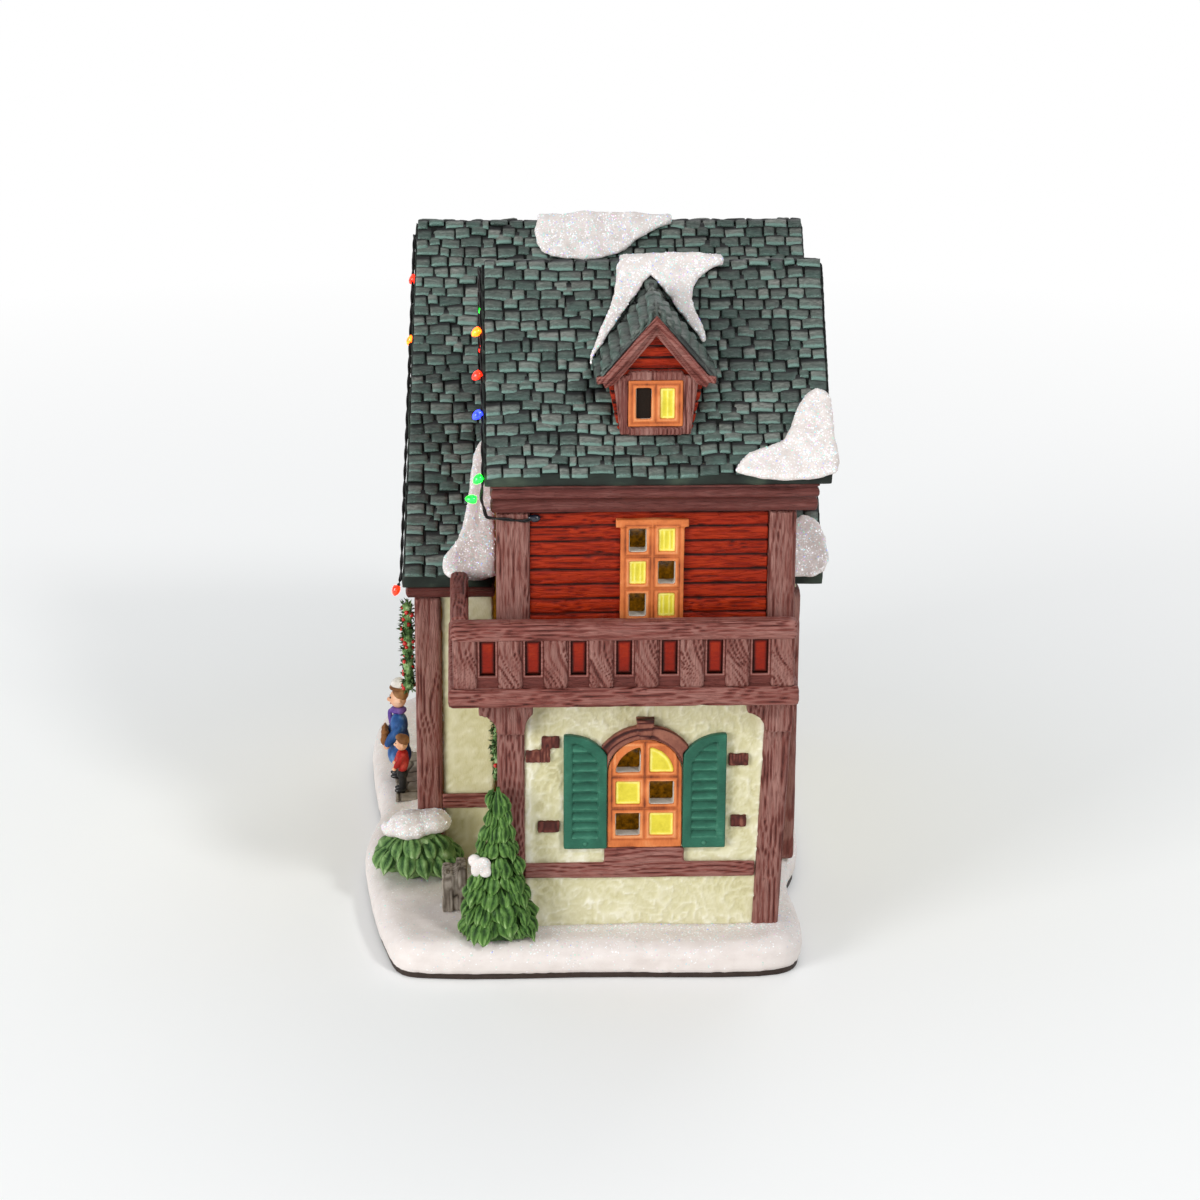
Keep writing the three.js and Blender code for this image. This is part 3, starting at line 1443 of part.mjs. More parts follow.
function addBush() {
  const x = mainFront - mainPostProud + bushRadius * 0.13;
  const y = mainNear - postProud - bushRadius * 0.95;
  const low = groundTop + bushRadius * 0.8;
  const placed = ([u, v, w, r], room, flat) =>
    lump(x + u * bushRadius, y + v * bushRadius, low + w * bushRadius, r * bushRadius + room, flat);
  const leaves = join(...leafLumps.map((place) => placed(place, 0, 1)));
  const ground = block(x - cutSpare, x + cutSpare, y - cutSpare, y + cutSpare, 0, groundTop);
  addPiece("bush", largestOf(cut(leaves, ground, ...houseCorners())), foliage);

  const cap = join(...capLumps.map((place) => placed(place, 0, bushCap)));
  const grown = join(...leafLumps.map((place) => placed(place, seatGap, 1)));
  addPiece("bush_snow", largestOf(cut(cap, grown, ...houseCorners())), snow);
}

function addPath() {
  const x1 = mainFront - doorProud - 1;
  const x0 = mainFront - frontMargin + waveDepth + snowRoll - pavingBulge;
  const half = pavingLength / 2;
  const inner = half - pavingBulge;
  const places = [
    [x0 + pavingBulge / 2, mainRidgeY - half], [x1, mainRidgeY - inner], [x1, mainRidgeY + inner],
    [x0 + pavingBulge, mainRidgeY + half], [x0, mainRidgeY + half / 6],
    [x0 + pavingBulge * 0.4, mainRidgeY - half / 3],
  ];
  addPiece("paving", alongZ(outline(places), groundTop, groundTop + pavingThickness, 0.3), stone);
}

function addStones() {
  const x1 = wingFront - 10;
  const x0 = x1 - stoneWidth;
  const y0 = 11;
  const lower = block(x0, x1, y0, y0 + stoneDepth, groundTop, groundTop + stoneHeight * 0.55);
  const upper = block(
    x0 + 0.6, x1 - 0.4, y0 + 0.8, y0 + stoneDepth - 0.6,
    groundTop + stoneHeight * 0.5, groundTop + stoneHeight,
  );
  addPiece("stone_block", join(lower, upper), stone);
}

// A profile of radii and heights, as shares of a figure's height, turned about its upright axis
function turned(profile, height, sides) {
  const points = profile.map(([r, z]) => new THREE.Vector2(r * height, z * height));
  return new THREE.LatheGeometry(points, sides).rotateX(Math.PI / 2);
}

// A standing figure: legs in boots, coat, arms held forward, head and cap
function figure(height) {
  const leg = [[0, 0], [0.075, 0], [0.08, 0.06], [0.07, 0.4], [0, 0.4]];
  const coat = [
    [0, 0.3], [0.15, 0.31], [0.16, 0.4], [0.125, 0.6], [0.12, 0.7], [0.06, 0.76], [0, 0.77],
  ];
  const cap = [[0, 0.86], [0.095, 0.87], [0.09, 0.93], [0.05, 0.99], [0, 1]];
  const arm = [[0, 0], [0.05, 0.01], [0.048, 0.26], [0, 0.28]];
  const legs = [-1, 1].map((side) => turned(leg, height, 8).translate(0, side * 0.075 * height, 0));
  const arms = [-1, 1].map((side) =>
    turned(arm, height, 8)
      .rotateX(side * 0.5)
      .rotateY(0.5)
      .translate(-0.12 * height, side * 0.2 * height, 0.42 * height),
  );
  const head = ball(0, 0, 0.84 * height, 0.085 * height, 0.095 * height, 0.085 * height);
  return join(turned(coat, height, 12), ...legs, head, turned(cap, height, 10), ...arms);
}

function addFigures() {
  const ground = groundTop + pavingThickness;
  const place = (height, [out, along]) =>
    figure(height).translate(mainFront - out, mainRidgeY + along, ground);
  addPiece("figure_child", place(childHeight, childPlace), coatRed);
  addPiece("figure_adult", place(adultHeight, adultPlace), coatBlue);
}

// Garland: a rope of green tufts down the front of the corner post
function addGarland() {
  const radius = garlandRadius;
  const high = mainCorniceLow - 2;
  const low = high - garlandLength;
  const step = garlandLength / garlandTufts;
  const profile = [[0, low]];
  for (let i = 0; i < garlandTufts; i += 1) {
    const z = low + step * i;
    profile.push([radius * 0.7, z + step * 0.1], [radius, z + step * 0.55]);
  }
  profile.push([0, high]);
  const points = profile.map(([r, z]) => new THREE.Vector2(r, z));
  const rope = new THREE.LatheGeometry(points, 10).rotateX(Math.PI / 2);
  const x = mainFront - mainPostProud - seatGap - radius;
  addPiece("garland", rope.translate(x, mainNear + postWidth / 2 - postProud, 0), foliage);
}

// Light strings: each lead comes out of a wall and follows a front verge, with its bulbs on it
function wire(points) {
  const curve = new THREE.CatmullRomCurve3(points, false, "catmullrom", 0.2);
  const circle = new THREE.Shape();
  for (let i = 0; i < 6; i += 1) {
    const turn = (i * Math.PI) / 3;
    const place = [wireRadius * Math.cos(turn), wireRadius * Math.sin(turn)];
    if (i === 0) circle.moveTo(...place);
    else circle.lineTo(...place);
  }
  circle.closePath();
  const steps = points.length * 2;
  return new THREE.ExtrudeGeometry(circle, { steps, bevelEnabled: false, extrudePath: curve });
}

function bulb(place, direction) {
  const r = bulbRadius;
  const profile = [
    [0, -wireRadius * 0.5], [wireRadius, -wireRadius * 0.5], [r, r * 0.7],
    [r, bulbLength - r * 1.2], [r * 0.7, bulbLength - r * 0.35], [0, bulbLength],
  ];
  const points = profile.map(([radius, z]) => new THREE.Vector2(radius, z));
  const form = new THREE.LatheGeometry(points, 7);
  const turn = new THREE.Quaternion();
  turn.setFromUnitVectors(vector(0, 1, 0), direction.clone().normalize());
  return form.applyQuaternion(turn).translate(place.x, place.y, place.z);
}

// A drop of glue where a lead comes out of a wall
function glueDrop(place) {
  return lump(place.x, place.y, place.z, 1.3 * wireRadius + 0.5);
}

function vector(x, y, z) {
  return new THREE.Vector3(x, y, z);
}

function spaced(place, y0, y1, count) {
  return Array.from({ length: count }, (_, i) => place(y0 + ((y1 - y0) * i) / (count - 1)));
}

const bulbDirection = vector(-1, 0, -0.6);
const wireGap = seatGap + wireRadius * 1.3;
const dropGap = seatGap + 1.3 * wireRadius + 0.5;

function addWingString() {
  const x = wingFront - wingVergeFront - wireGap;
  const near = (y) => vector(x, y, wingNearSlope.top(y) - roofDrop * 0.5);
  const far = (y) => vector(x, y, wingFarSlope.top(y) - roofDrop * 0.5);
  const low = wingCorniceLow;
  const corniceEnd = wingFront - corniceOverFront;
  const start = vector(upperFrontEnd + 2, -dropGap, low - 2);
  const run = [
    start,
    vector(upperFrontEnd - 2, -postProud - wireGap - 0.2, low - 2.2),
    vector(frontPost.x0 + 2, -postProud - wireGap - 0.4, low - 1.8),
    vector(corniceEnd - wireGap - 0.7, -corniceReach * 0.5, low + corniceHeight * 0.05),
    vector(corniceEnd - wireGap - 0.8, -corniceReach * 0.8, low + corniceHeight * 0.6),
    ...spaced(near, -wingEaveReach + 1.5, wingNearSlope.ridgeY - 2, 6),
    vector(x, wingNearSlope.ridgeY, wingNearSlope.ridgeTop - roofDrop * 0.5),
    ...spaced(far, wingNearSlope.ridgeY + 2, valleyY - 6, 4),
  ];
  const reach = wingNearSlope.ridgeY + wingEaveReach;
  const nearPlaces = wingBulbs.map((share) => near(share * reach - wingEaveReach));
  const farPlaces = wingFarBulbs.map((y) => far(wingNearSlope.ridgeY + y));
  const hanging = bulb(run[4], vector(-1, 0, 0.1));
  const bulbs = [...nearPlaces, ...farPlaces].map((place) => bulb(place, bulbDirection));
  addPiece("light_string_wing", join(wire(run), glueDrop(start), hanging, ...bulbs), wirePlastic);
}

function addMainString() {
  const verge = (roof) => (y) => {
    const share = (roof.top(y) - roof.eaveTop) / (roof.ridgeTop - roof.eaveTop);
    const x = mainFront - mainVergeFront + mainFlareFront * share - wireGap;
    return vector(x, y, roof.top(y) - roofDrop * 0.5);
  };
  const near = verge(mainNearSlope);
  const far = verge(mainFarSlope);
  const verge0 = mainFront - mainVergeFront;
  const peakX = verge0 + mainFlareFront - wireGap;
  const start = vector(mainFront - dropGap, mainFar - 14, mainCorniceLow + 6);
  const end = vector(verge0 - wireGap - 0.8, mainNearSlope.eaveY + 1, mainEaveTop - roofDrop);
  const run = [
    start,
    vector(mainFront - mainVergeFront * 0.7, mainFar - 6, mainCorniceLow + 3),
    ...spaced(far, mainFarSlope.eaveY - 2, mainRidgeY + 3, 7),
    vector(peakX, mainRidgeY, mainNearSlope.ridgeTop - roofDrop * 0.5),
    ...spaced(near, mainRidgeY - 3, mainNearSlope.eaveY + 2, 7),
    end,
  ];
  const reach = mainRidgeY - mainNearSlope.eaveY;
  const nearPlaces = mainBulbs.map((share) => near(mainNearSlope.eaveY + share * reach));
  const farPlaces = mainFarBulbs.map((share) => far(mainFarSlope.eaveY - share * reach));
  const bulbs = [...nearPlaces, ...farPlaces].map((place) => bulb(place, bulbDirection));
  const hanging = bulb(end, vector(-0.3, -0.2, -1));
  addPiece("light_string_main", join(wire(run), glueDrop(start), hanging, ...bulbs), wirePlastic);
}

addBase();
addBatteryBox();
addBatteryDoor();
addSwitch();
addLamp();
addMainWalls();
addMainTimbers();
addRoofs();
addWingWalls();
addWingPosts();
addBalcony();
addWingTimbers();
addLowerWindow();
addShutter("shutter_front", -1);
addShutter("shutter_back", 1);
addUpperWindow();
addDormer();
addFrontDoor();
addRoofSnow();
addFirTree();
addBush();
addPath();
addStones();
addFigures();
addGarland();
addWingString();
addMainString();

// The part's origin is the middle of its footprint, on the surface that it stands on
const bounds = new THREE.Box3().setFromObject(house);
const centre = bounds.getCenter(new THREE.Vector3());
house.position.set(-centre.x, -centre.y, -bounds.min.z);

export default house;
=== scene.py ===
"""Lighted christmas village house in painted resin, dressed on its CAD frame."""

import logging
import math
from dataclasses import dataclass, field
from enum import Enum
from functools import cache
from typing import Callable, Optional, Sequence, Union

import bmesh
import bpy
import numpy as np
from mathutils import Matrix, Vector


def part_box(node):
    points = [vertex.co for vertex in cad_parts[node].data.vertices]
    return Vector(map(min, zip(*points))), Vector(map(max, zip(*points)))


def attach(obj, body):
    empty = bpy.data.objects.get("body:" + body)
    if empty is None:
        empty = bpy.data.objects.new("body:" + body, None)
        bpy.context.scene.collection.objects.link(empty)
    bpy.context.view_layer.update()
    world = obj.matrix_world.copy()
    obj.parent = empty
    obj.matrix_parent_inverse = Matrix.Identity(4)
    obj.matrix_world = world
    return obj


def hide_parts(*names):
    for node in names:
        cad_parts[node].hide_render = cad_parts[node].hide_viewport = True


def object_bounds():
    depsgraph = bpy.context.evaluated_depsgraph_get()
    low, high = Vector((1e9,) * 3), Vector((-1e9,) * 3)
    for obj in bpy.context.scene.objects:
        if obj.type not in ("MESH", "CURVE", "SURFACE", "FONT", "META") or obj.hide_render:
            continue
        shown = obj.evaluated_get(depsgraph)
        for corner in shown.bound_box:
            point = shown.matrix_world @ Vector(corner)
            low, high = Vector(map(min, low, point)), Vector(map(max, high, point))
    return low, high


logging.basicConfig(level=logging.INFO, format="%(name)s: %(message)s")
log = logging.getLogger("village_house")

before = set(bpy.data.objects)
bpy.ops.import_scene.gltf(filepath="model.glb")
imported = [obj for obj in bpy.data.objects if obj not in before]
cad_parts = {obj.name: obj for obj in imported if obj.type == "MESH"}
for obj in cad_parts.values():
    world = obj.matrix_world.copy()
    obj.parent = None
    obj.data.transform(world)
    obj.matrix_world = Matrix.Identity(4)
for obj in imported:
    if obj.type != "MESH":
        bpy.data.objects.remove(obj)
CAD_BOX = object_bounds()
MM = 0.001
CLEAR = 1e-5
Socket = bpy.types.NodeSocket
Feed = Union[Socket, float, tuple]

# The building's own origin, in millimetres of the frame: near face and front edge of the upper wall
UPPER_WALL_FRONT = -21.7
SHIFT = np.array([
    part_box("wing_wall_upper")[0].x / MM - UPPER_WALL_FRONT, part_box("wing_wall_upper")[0].y / MM, 0.0,
])


def limits(node: str) -> tuple[np.ndarray, np.ndarray]:
    """Box of a CAD node in the building's millimetres.

    Args:
        node: name of the CAD node.

    Returns:
        Lowest and highest corner.
    """
    low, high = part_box(node)
    return np.array(low) / MM - SHIFT, np.array(high) / MM - SHIFT


# Sizes that several parts share, in the building's millimetres: x and y limits of the walls on the ground
WING_PLAN = (-31.5, 56.5, 0.0, 70.0)
MAIN_PLAN = (-54.5, 66.0, 50.0, 196.6)
GROUND = 12.0
DECK = 98.6
BOARD = 4.7


# Short steps
def link(name: str, data: bpy.types.ID) -> bpy.types.Object:
    """New object with that data, in the scene."""
    item = bpy.data.objects.new(name, data)
    bpy.context.scene.collection.objects.link(item)
    return item


def mesh_of(form: bmesh.types.BMesh, name: str) -> bpy.types.Mesh:
    """Blender mesh of a finished form, which is used up."""
    mesh = bpy.data.meshes.new(name)
    form.to_mesh(mesh)
    form.free()
    return mesh


def evaluated(helper: bpy.types.Object) -> bpy.types.Mesh:
    """Plain mesh of an object with its modifiers applied; the object is removed."""
    depsgraph = bpy.context.evaluated_depsgraph_get()
    done = bpy.data.meshes.new_from_object(helper.evaluated_get(depsgraph))
    helper.modifiers.clear()
    bpy.data.objects.remove(helper)
    return done


def places_of(mesh: bpy.types.Mesh) -> np.ndarray:
    """Points of a mesh, n by 3."""
    flat = np.empty(len(mesh.vertices) * 3, np.float32)
    mesh.vertices.foreach_get("co", flat)
    return flat.reshape(-1, 3)


def put_places(mesh: bpy.types.Mesh, points: np.ndarray) -> None:
    """Set the points of a mesh."""
    mesh.vertices.foreach_set("co", points.astype(np.float32).ravel())


def grid(rows: int, columns: int) -> tuple[np.ndarray, tuple[np.ndarray, ...]]:
    """Point numbers of a grid, and the four corners of its cells."""
    number = np.arange(rows * columns).reshape(rows, columns)
    return number, (number[:-1, :-1], number[1:, :-1], number[1:, 1:], number[:-1, 1:])


def tube(rings: int, sides: int) -> tuple[np.ndarray, list[list[int]]]:
    """Point numbers of a tube, ring by ring, and its faces."""
    number = np.arange(rings * sides).reshape(rings, sides)
    right = np.roll(number, -1, 1)
    quads = np.stack([number[:-1], right[:-1], right[1:], number[1:]], -1)
    return number, quads.reshape(-1, 4).tolist()


# Noise on arrays
def lattice(cell: np.ndarray, seed: int) -> np.ndarray:
    """Random value from 0 to 1 for each whole-numbered cell.

    Args:
        cell: n by 3 whole numbers.
        seed: picks the pattern.

    Returns:
        One value for each cell.
    """
    c = cell.astype(np.int64)
    h = (c[:, 0] * 374761393 + c[:, 1] * 668265263 + c[:, 2] * 1440662683 + seed * 974634777) & 0xFFFFFFFF
    h = ((h ^ (h >> 13)) * 1274126177) & 0xFFFFFFFF
    h = ((h ^ (h >> 15)) * 2246822519) & 0xFFFFFFFF
    return ((h ^ (h >> 16)) & 0xFFFFFF) / float(0xFFFFFF)


def noise(points: np.ndarray, size: Sequence[float], seed: int = 0) -> np.ndarray:
    """Smooth noise from 0 to 1.

    Args:
        points: n by 3 places in millimetres.
        size: length of a blot along x, y and z.
        seed: picks the pattern.

    Returns:
        One value for each point.
    """
    place = points / np.asarray(size, float)
    cell = np.floor(place)
    part = place - cell
    part = part * part * (3 - 2 * part)
    total = np.zeros(len(points))
    for corner in np.ndindex(2, 2, 2):
        share = np.ones(len(points))
        for axis in range(3):
            share = share * (part[:, axis] if corner[axis] else 1 - part[:, axis])
        total += share * lattice(cell + np.array(corner), seed)
    return total


def rough_noise(points: np.ndarray, size: Sequence[float], rounds: int = 3, seed: int = 0) -> np.ndarray:
    """Noise of several finenesses added up, from 0 to 1.

    Args:
        points: n by 3 places in millimetres.
        size: length of the coarsest blots.
        rounds: how many finenesses.
        seed: picks the pattern.

    Returns:
        One value for each point.
    """
    total = np.zeros(len(points))
    weight = 0.0
    for step in range(rounds):
        share = 0.5 ** step
        total += share * noise(points, np.asarray(size, float) * 0.5 ** step, seed + 17 * step)
        weight += share
    return total / weight


def ease(low: float, high: float, value: np.ndarray) -> np.ndarray:
    """Smooth step from 0 at low to 1 at high."""
    t = np.clip((value - low) / (high - low), 0, 1)
    return t * t * (3 - 2 * t)


# Shells
@dataclass
class Shell:
    """A mesh in the building's millimetres.

    Attributes:
        points: n by 3 places.
        faces: m by 3 or m by 4 corner numbers.
        relief: 0 in a groove to 1 on a ridge, for the paint.
        marks: further named values of the points.
        tints: material number of each face.
    """

    points: np.ndarray
    faces: np.ndarray
    relief: Optional[np.ndarray] = None
    marks: dict[str, np.ndarray] = field(default_factory=dict)
    tints: Optional[np.ndarray] = None

    def normals(self) -> np.ndarray:
        """Outward direction at each point."""
        corner = self.points[self.faces]
        across = np.cross(corner[:, 2] - corner[:, 0], corner[:, -1] - corner[:, 1])
        if self.faces.shape[1] == 3:
            across = np.cross(corner[:, 1] - corner[:, 0], corner[:, 2] - corner[:, 0])
        total = np.zeros_like(self.points)
        for k in range(self.faces.shape[1]):
            np.add.at(total, self.faces[:, k], across)
        length = np.linalg.norm(total, axis=1, keepdims=True)
        return total / np.maximum(length, 1e-12)

    def smooth(self, rounds: int, share: float = 0.5) -> "Shell":
        """Even out the points with their neighbours.

        Args:
            rounds: how often.
            share: how far towards the neighbours' middle each time.

        Returns:
            The shell itself.
        """
        for _ in range(rounds):
            total = np.zeros_like(self.points)
            count = np.zeros(len(self.points))
            for k in range(self.faces.shape[1]):
                a, b = self.faces[:, k], self.faces[:, (k + 1) % self.faces.shape[1]]
                np.add.at(total, a, self.points[b])
                np.add.at(total, b, self.points[a])
                np.add.at(count, a, 1)
                np.add.at(count, b, 1)
            middle = total / np.maximum(count, 1)[:, None]
            self.points = self.points + share * (middle - self.points)
        return self

    def swell(self, amount: Union[float, np.ndarray]) -> "Shell":
        """Move the points outwards by so many millimetres."""
        self.points = self.points + self.normals() * np.reshape(amount, (-1, 1))
        return self

    def carve(self, relief: np.ndarray, depth: float) -> "Shell":
        """Cut the surface back where the relief is low and keep the relief for the paint.

        Args:
            relief: 0 to 1 for each point.
            depth: depth of the deepest groove in millimetres.

        Returns:
            The shell itself.
        """
        self.swell((relief - 1.0) * depth)
        self.relief = np.clip(relief, 0, 1)
        return self


def merged(shells: Sequence[Shell]) -> Shell:
    """Several shells of the same face size as one."""
    start = 0
    faces, reliefs = [], []
    for shell in shells:
        faces.append(shell.faces + start)
        reliefs.append(np.full(len(shell.points), 0.6) if shell.relief is None else shell.relief)
        start += len(shell.points)
    marks = {name: np.concatenate([s.marks.get(name, np.full(len(s.points), 0.5)) for s in shells])
             for name in sorted({name for s in shells for name in s.marks})}
    return Shell(np.vstack([s.points for s in shells]), np.vstack(faces), np.concatenate(reliefs), marks)


def mesh_from(name: str, shell: Shell) -> bpy.types.Mesh:
    """Blender mesh of a shell, in metres of the frame."""
    mesh = bpy.data.meshes.new(name)
    count, sides = shell.faces.shape
    mesh.vertices.add(len(shell.points))
    put_places(mesh, (shell.points + SHIFT) * MM)
    mesh.loops.add(count * sides)
    mesh.loops.foreach_set("vertex_index", shell.faces.astype(np.int32).ravel())
    mesh.polygons.add(count)
    mesh.polygons.foreach_set("loop_start", np.arange(0, count * sides, sides, dtype=np.int32))
    mesh.polygons.foreach_set("use_smooth", np.ones(count, dtype=bool))
    marks = dict(shell.marks)
    if shell.relief is not None:
        marks["relief"] = shell.relief
    for label, values in marks.items():
        layer = mesh.attributes.new(label, "FLOAT", "POINT")
        layer.data.foreach_set("value", values.astype(np.float32))
    if shell.tints is not None:
        mesh.polygons.foreach_set("material_index", shell.tints.astype(np.int32))
    mesh.update(calc_edges=True)
    mesh.validate()
    return mesh


def shell_from(mesh: bpy.types.Mesh) -> Shell:
    """The shell of a Blender mesh whose faces all have the same number of corners."""
    corners = np.empty(len(mesh.loops), np.int32)
    mesh.loops.foreach_get("vertex_index", corners)
    sides = len(mesh.loops) // max(len(mesh.polygons), 1)
    place = places_of(mesh).astype(float) / MM - SHIFT
    return Shell(place, corners.reshape(-1, sides).astype(np.int64))


def node_mesh(nodes: Sequence[str]) -> bpy.types.Mesh:
    """Merged copy of the meshes of some CAD nodes."""
    form = bmesh.new()
    for node in nodes:
        form.from_mesh(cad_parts[node].data)
    bmesh.ops.remove_doubles(form, verts=form.verts, dist=1e-6)
    return mesh_of(form, "copy")


def evenly(mesh: bpy.types.Mesh, voxel: float, rounds: int = 1) -> Shell:
    """Remesh a closed mesh into even small faces.

    Args:
        mesh: mesh in metres of the frame; it is used up.
        voxel: edge length in millimetres.
        rounds: how often the result is evened out.

    Returns:
        The new shell.
    """
    helper = link("helper", mesh)
    change = helper.modifiers.new("even", "REMESH")
    change.mode = "VOXEL"
    change.voxel_size = voxel * MM
    done = evaluated(helper)
    shell = shell_from(done)
    bpy.data.meshes.remove(done)
    bpy.data.meshes.remove(mesh)
    return shell.smooth(rounds)


def carved(nodes: Sequence[str], voxel: float, rounds: int = 1) -> Shell:
    """Even shell of some CAD nodes, ready to be carved."""
    return evenly(node_mesh(nodes), voxel, rounds)


def seat(name: str, mesh: bpy.types.Mesh, paints: Sequence[bpy.types.Material],
         nodes: Sequence[str] = (), body: str = "root") -> bpy.types.Object:
    """Put a finished mesh on its body and hide the CAD nodes that it stands for.

    Args:
        name: name of the piece.
        mesh: its mesh, in place.
        paints: materials, in the order of the mesh's material numbers.
        nodes: CAD nodes that it stands for.
        body: body that it rides on.

    Returns:
        The new object.
    """
    piece = link(name, mesh)
    if len(mesh.materials):
        mesh.materials.clear()
    for finish in paints:
        mesh.materials.append(finish)
    low, high = (np.array(corner) for corner in CAD_BOX)
    put_places(mesh, np.clip(places_of(mesh), low + CLEAR, high - CLEAR))
    mesh.update()
    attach(piece, body)
    if nodes:
        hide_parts(*nodes)
    log.info("%s: %d faces on %s", name, len(mesh.polygons), body)
    return piece


def place_shell(name: str, shell: Shell, finish: bpy.types.Material,
                nodes: Sequence[str] = (), body: str = "root") -> bpy.types.Object:
    """Make a piece of a shell; the arguments are those of seat."""
    return seat(name, mesh_from(name, shell), [finish], nodes, body)


@dataclass
class NodePiece:
    """A piece that stands for one CAD node.

    Attributes:
        name: name of the piece.
        node: CAD node that it stands for.
    """

    name: str
    node: str


# Forms
class Side(Enum):
    """A side of the building that a flat relief faces: direction along it, outward direction."""

    NEAR = ((1, 0, 0), (0, -1, 0))
    FRONT = ((0, -1, 0), (-1, 0, 0))


def relief_slab(side: Side, face: float, us: np.ndarray, vs: np.ndarray, thickness: float,
                keep: Callable[[np.ndarray, np.ndarray], np.ndarray],
                height: Callable[[np.ndarray], np.ndarray], depth: float) -> Shell:
    """Closed slab with a finely carved outer side and openings.

    Args:
        side: side of the building that it faces.
        face: place of its outer face along the outward direction.
        us: grid lines along the side, rising.
        vs: grid lines upwards.
        thickness: how thick the slab is.
        keep: tells for the middle of each cell whether the slab is there.
        height: relief from 0 to 1 at places of the building.
        depth: depth of the deepest groove.

    Returns:
        The slab.
    """
    along, out = (np.array(v, float) for v in side.value)
    nu, nv = len(us), len(vs)
    u, v = np.meshgrid(us, vs, indexing="ij")
    flat = u.reshape(-1, 1) * along + v.reshape(-1, 1) * np.array([0, 0, 1.0])
    outer = flat + out * face
    relief = np.clip(height(outer), 0, 1)
    top = outer + out * ((relief - 1) * depth)[:, None]
    bottom = flat + out * (face - thickness)
    mu, mv = np.meshgrid((us[1:] + us[:-1]) / 2, (vs[1:] + vs[:-1]) / 2, indexing="ij")
    kept = keep(mu, mv)
    _, (a, b, c, d) = grid(nu, nv)
    under = nu * nv
    faces = [np.stack([a, b, c, d], -1)[kept], np.stack([d, c, b, a], -1)[kept] + under]
    padded = np.pad(kept, 1)
    for shift_u, shift_v, p, q in ((0, -1, a, b), (1, 0, b, c), (0, 1, c, d), (-1, 0, d, a)):
        beside = padded[1 + shift_u:1 + shift_u + kept.shape[0], 1 + shift_v:1 + shift_v + kept.shape[1]]
        edge = kept & ~beside
        faces.append(np.stack([p[edge], p[edge] + under, q[edge] + under, q[edge]], -1))
    quads = np.vstack(faces)
    used = np.unique(quads)
    renumber = np.zeros(2 * under, np.int64)
    renumber[used] = np.arange(len(used))
    points = np.vstack([top, bottom])[used]
    both = np.concatenate([relief, np.full(under, 0.35)])[used]
    return Shell(points, renumber[quads], both)


def soft_block(low: Sequence[float], high: Sequence[float], edge: float, steps: int = 2) -> bpy.types.Mesh:
    """Block with rounded edges as a Blender mesh.

    Args:
        low: lowest corner in the building's millimetres.
        high: highest corner.
        edge: radius of the edges.
        steps: faces round each edge.

    Returns:
        The mesh, in metres of the frame.
    """
    form = bmesh.new()
    bmesh.ops.create_cube(form, size=1.0)
    size = np.array(high, float) - np.array(low, float)
    middle = (np.array(high, float) + np.array(low, float)) / 2 + SHIFT
    for vert in form.verts:
        vert.co = Vector((np.array(vert.co) * size + middle) * MM)
    bmesh.ops.bevel(form, geom=form.edges[:], offset=edge * MM, segments=steps, affect="EDGES", profile=0.6)
    return mesh_of(form, "block")


def joined(meshes: Sequence[bpy.types.Mesh]) -> bpy.types.Mesh:
    """Several meshes as one; they are used up."""
    form = bmesh.new()
    for mesh in meshes:
        form.from_mesh(mesh)
        bpy.data.meshes.remove(mesh)
    return mesh_of(form, "joined")


# Reliefs
class Grain(Enum):
    """Direction that wood grain runs in."""

    ALONG_X = (1, 0, 0)
    ALONG_Y = (0, 1, 0)
    ALONG_Z = (0, 0, 1)


def wood(points: np.ndarray, way: Grain, pitch: float = 1.5, seed: int = 1) -> np.ndarray:
    """Wavy carved grain.

    Args:
        points: places in millimetres.
        way: direction of the grain.
        pitch: distance of the grain lines across.
        seed: picks the pattern.

    Returns:
        Relief from 0 to 1.
    """
    along = np.array(way.value, float)
    across = 1 - along
    drift = rough_noise(points, 5.5 * across + 17 * along, 2, seed + 5)
    place = points @ (across * (1.0, 0.83, 0.91)) / pitch + 3.4 * drift
    gap = np.abs(place - np.round(place)) * 2
    strong = ease(0.3, 0.62, noise(points, 2.2 * across + 11 * along, seed))
    line = 1 - (0.25 + 0.75 * strong) * (1 - ease(0.0, 0.42, gap))
    fine = rough_noise(points, 0.9 * across + 9 * along, 2, seed + 9)
    flute = noise(points + 50, pitch * 2.6 * across + 40 * along, seed + 3)
    return np.clip(0.04 + 0.66 * line + 0.14 * fine + 0.2 * flute, 0, 1)


def boards(points: np.ndarray, pitch: float, start: float, seed: int = 2) -> np.ndarray:
    """Lying boards with wavy grain and a groove between them.

    Args:
        points: places in millimetres.
        pitch: height of a board.
        start: height of one groove.
        seed: picks the pattern.

    Returns:
        Relief from 0 to 1.
    """
    sway = (noise(points, (16, 16, 60), seed + 2) - 0.5) * 0.9
    place = (points[:, 2] + sway - start) / pitch
    part = place - np.floor(place)
    groove = np.minimum(part, 1 - part) * pitch
    lip = ease(0.0, 0.6, groove)
    grain = wood(points + np.floor(place)[:, None] * np.array([31.0, 7.0, 0]), Grain.ALONG_X, 1.0, seed)
    worn = rough_noise(points, (6, 6, 2.2), 3, seed + 8)
    return np.clip(lip * (0.02 + 0.86 * grain + 0.2 * worn + 0.12 * part), 0, 1)


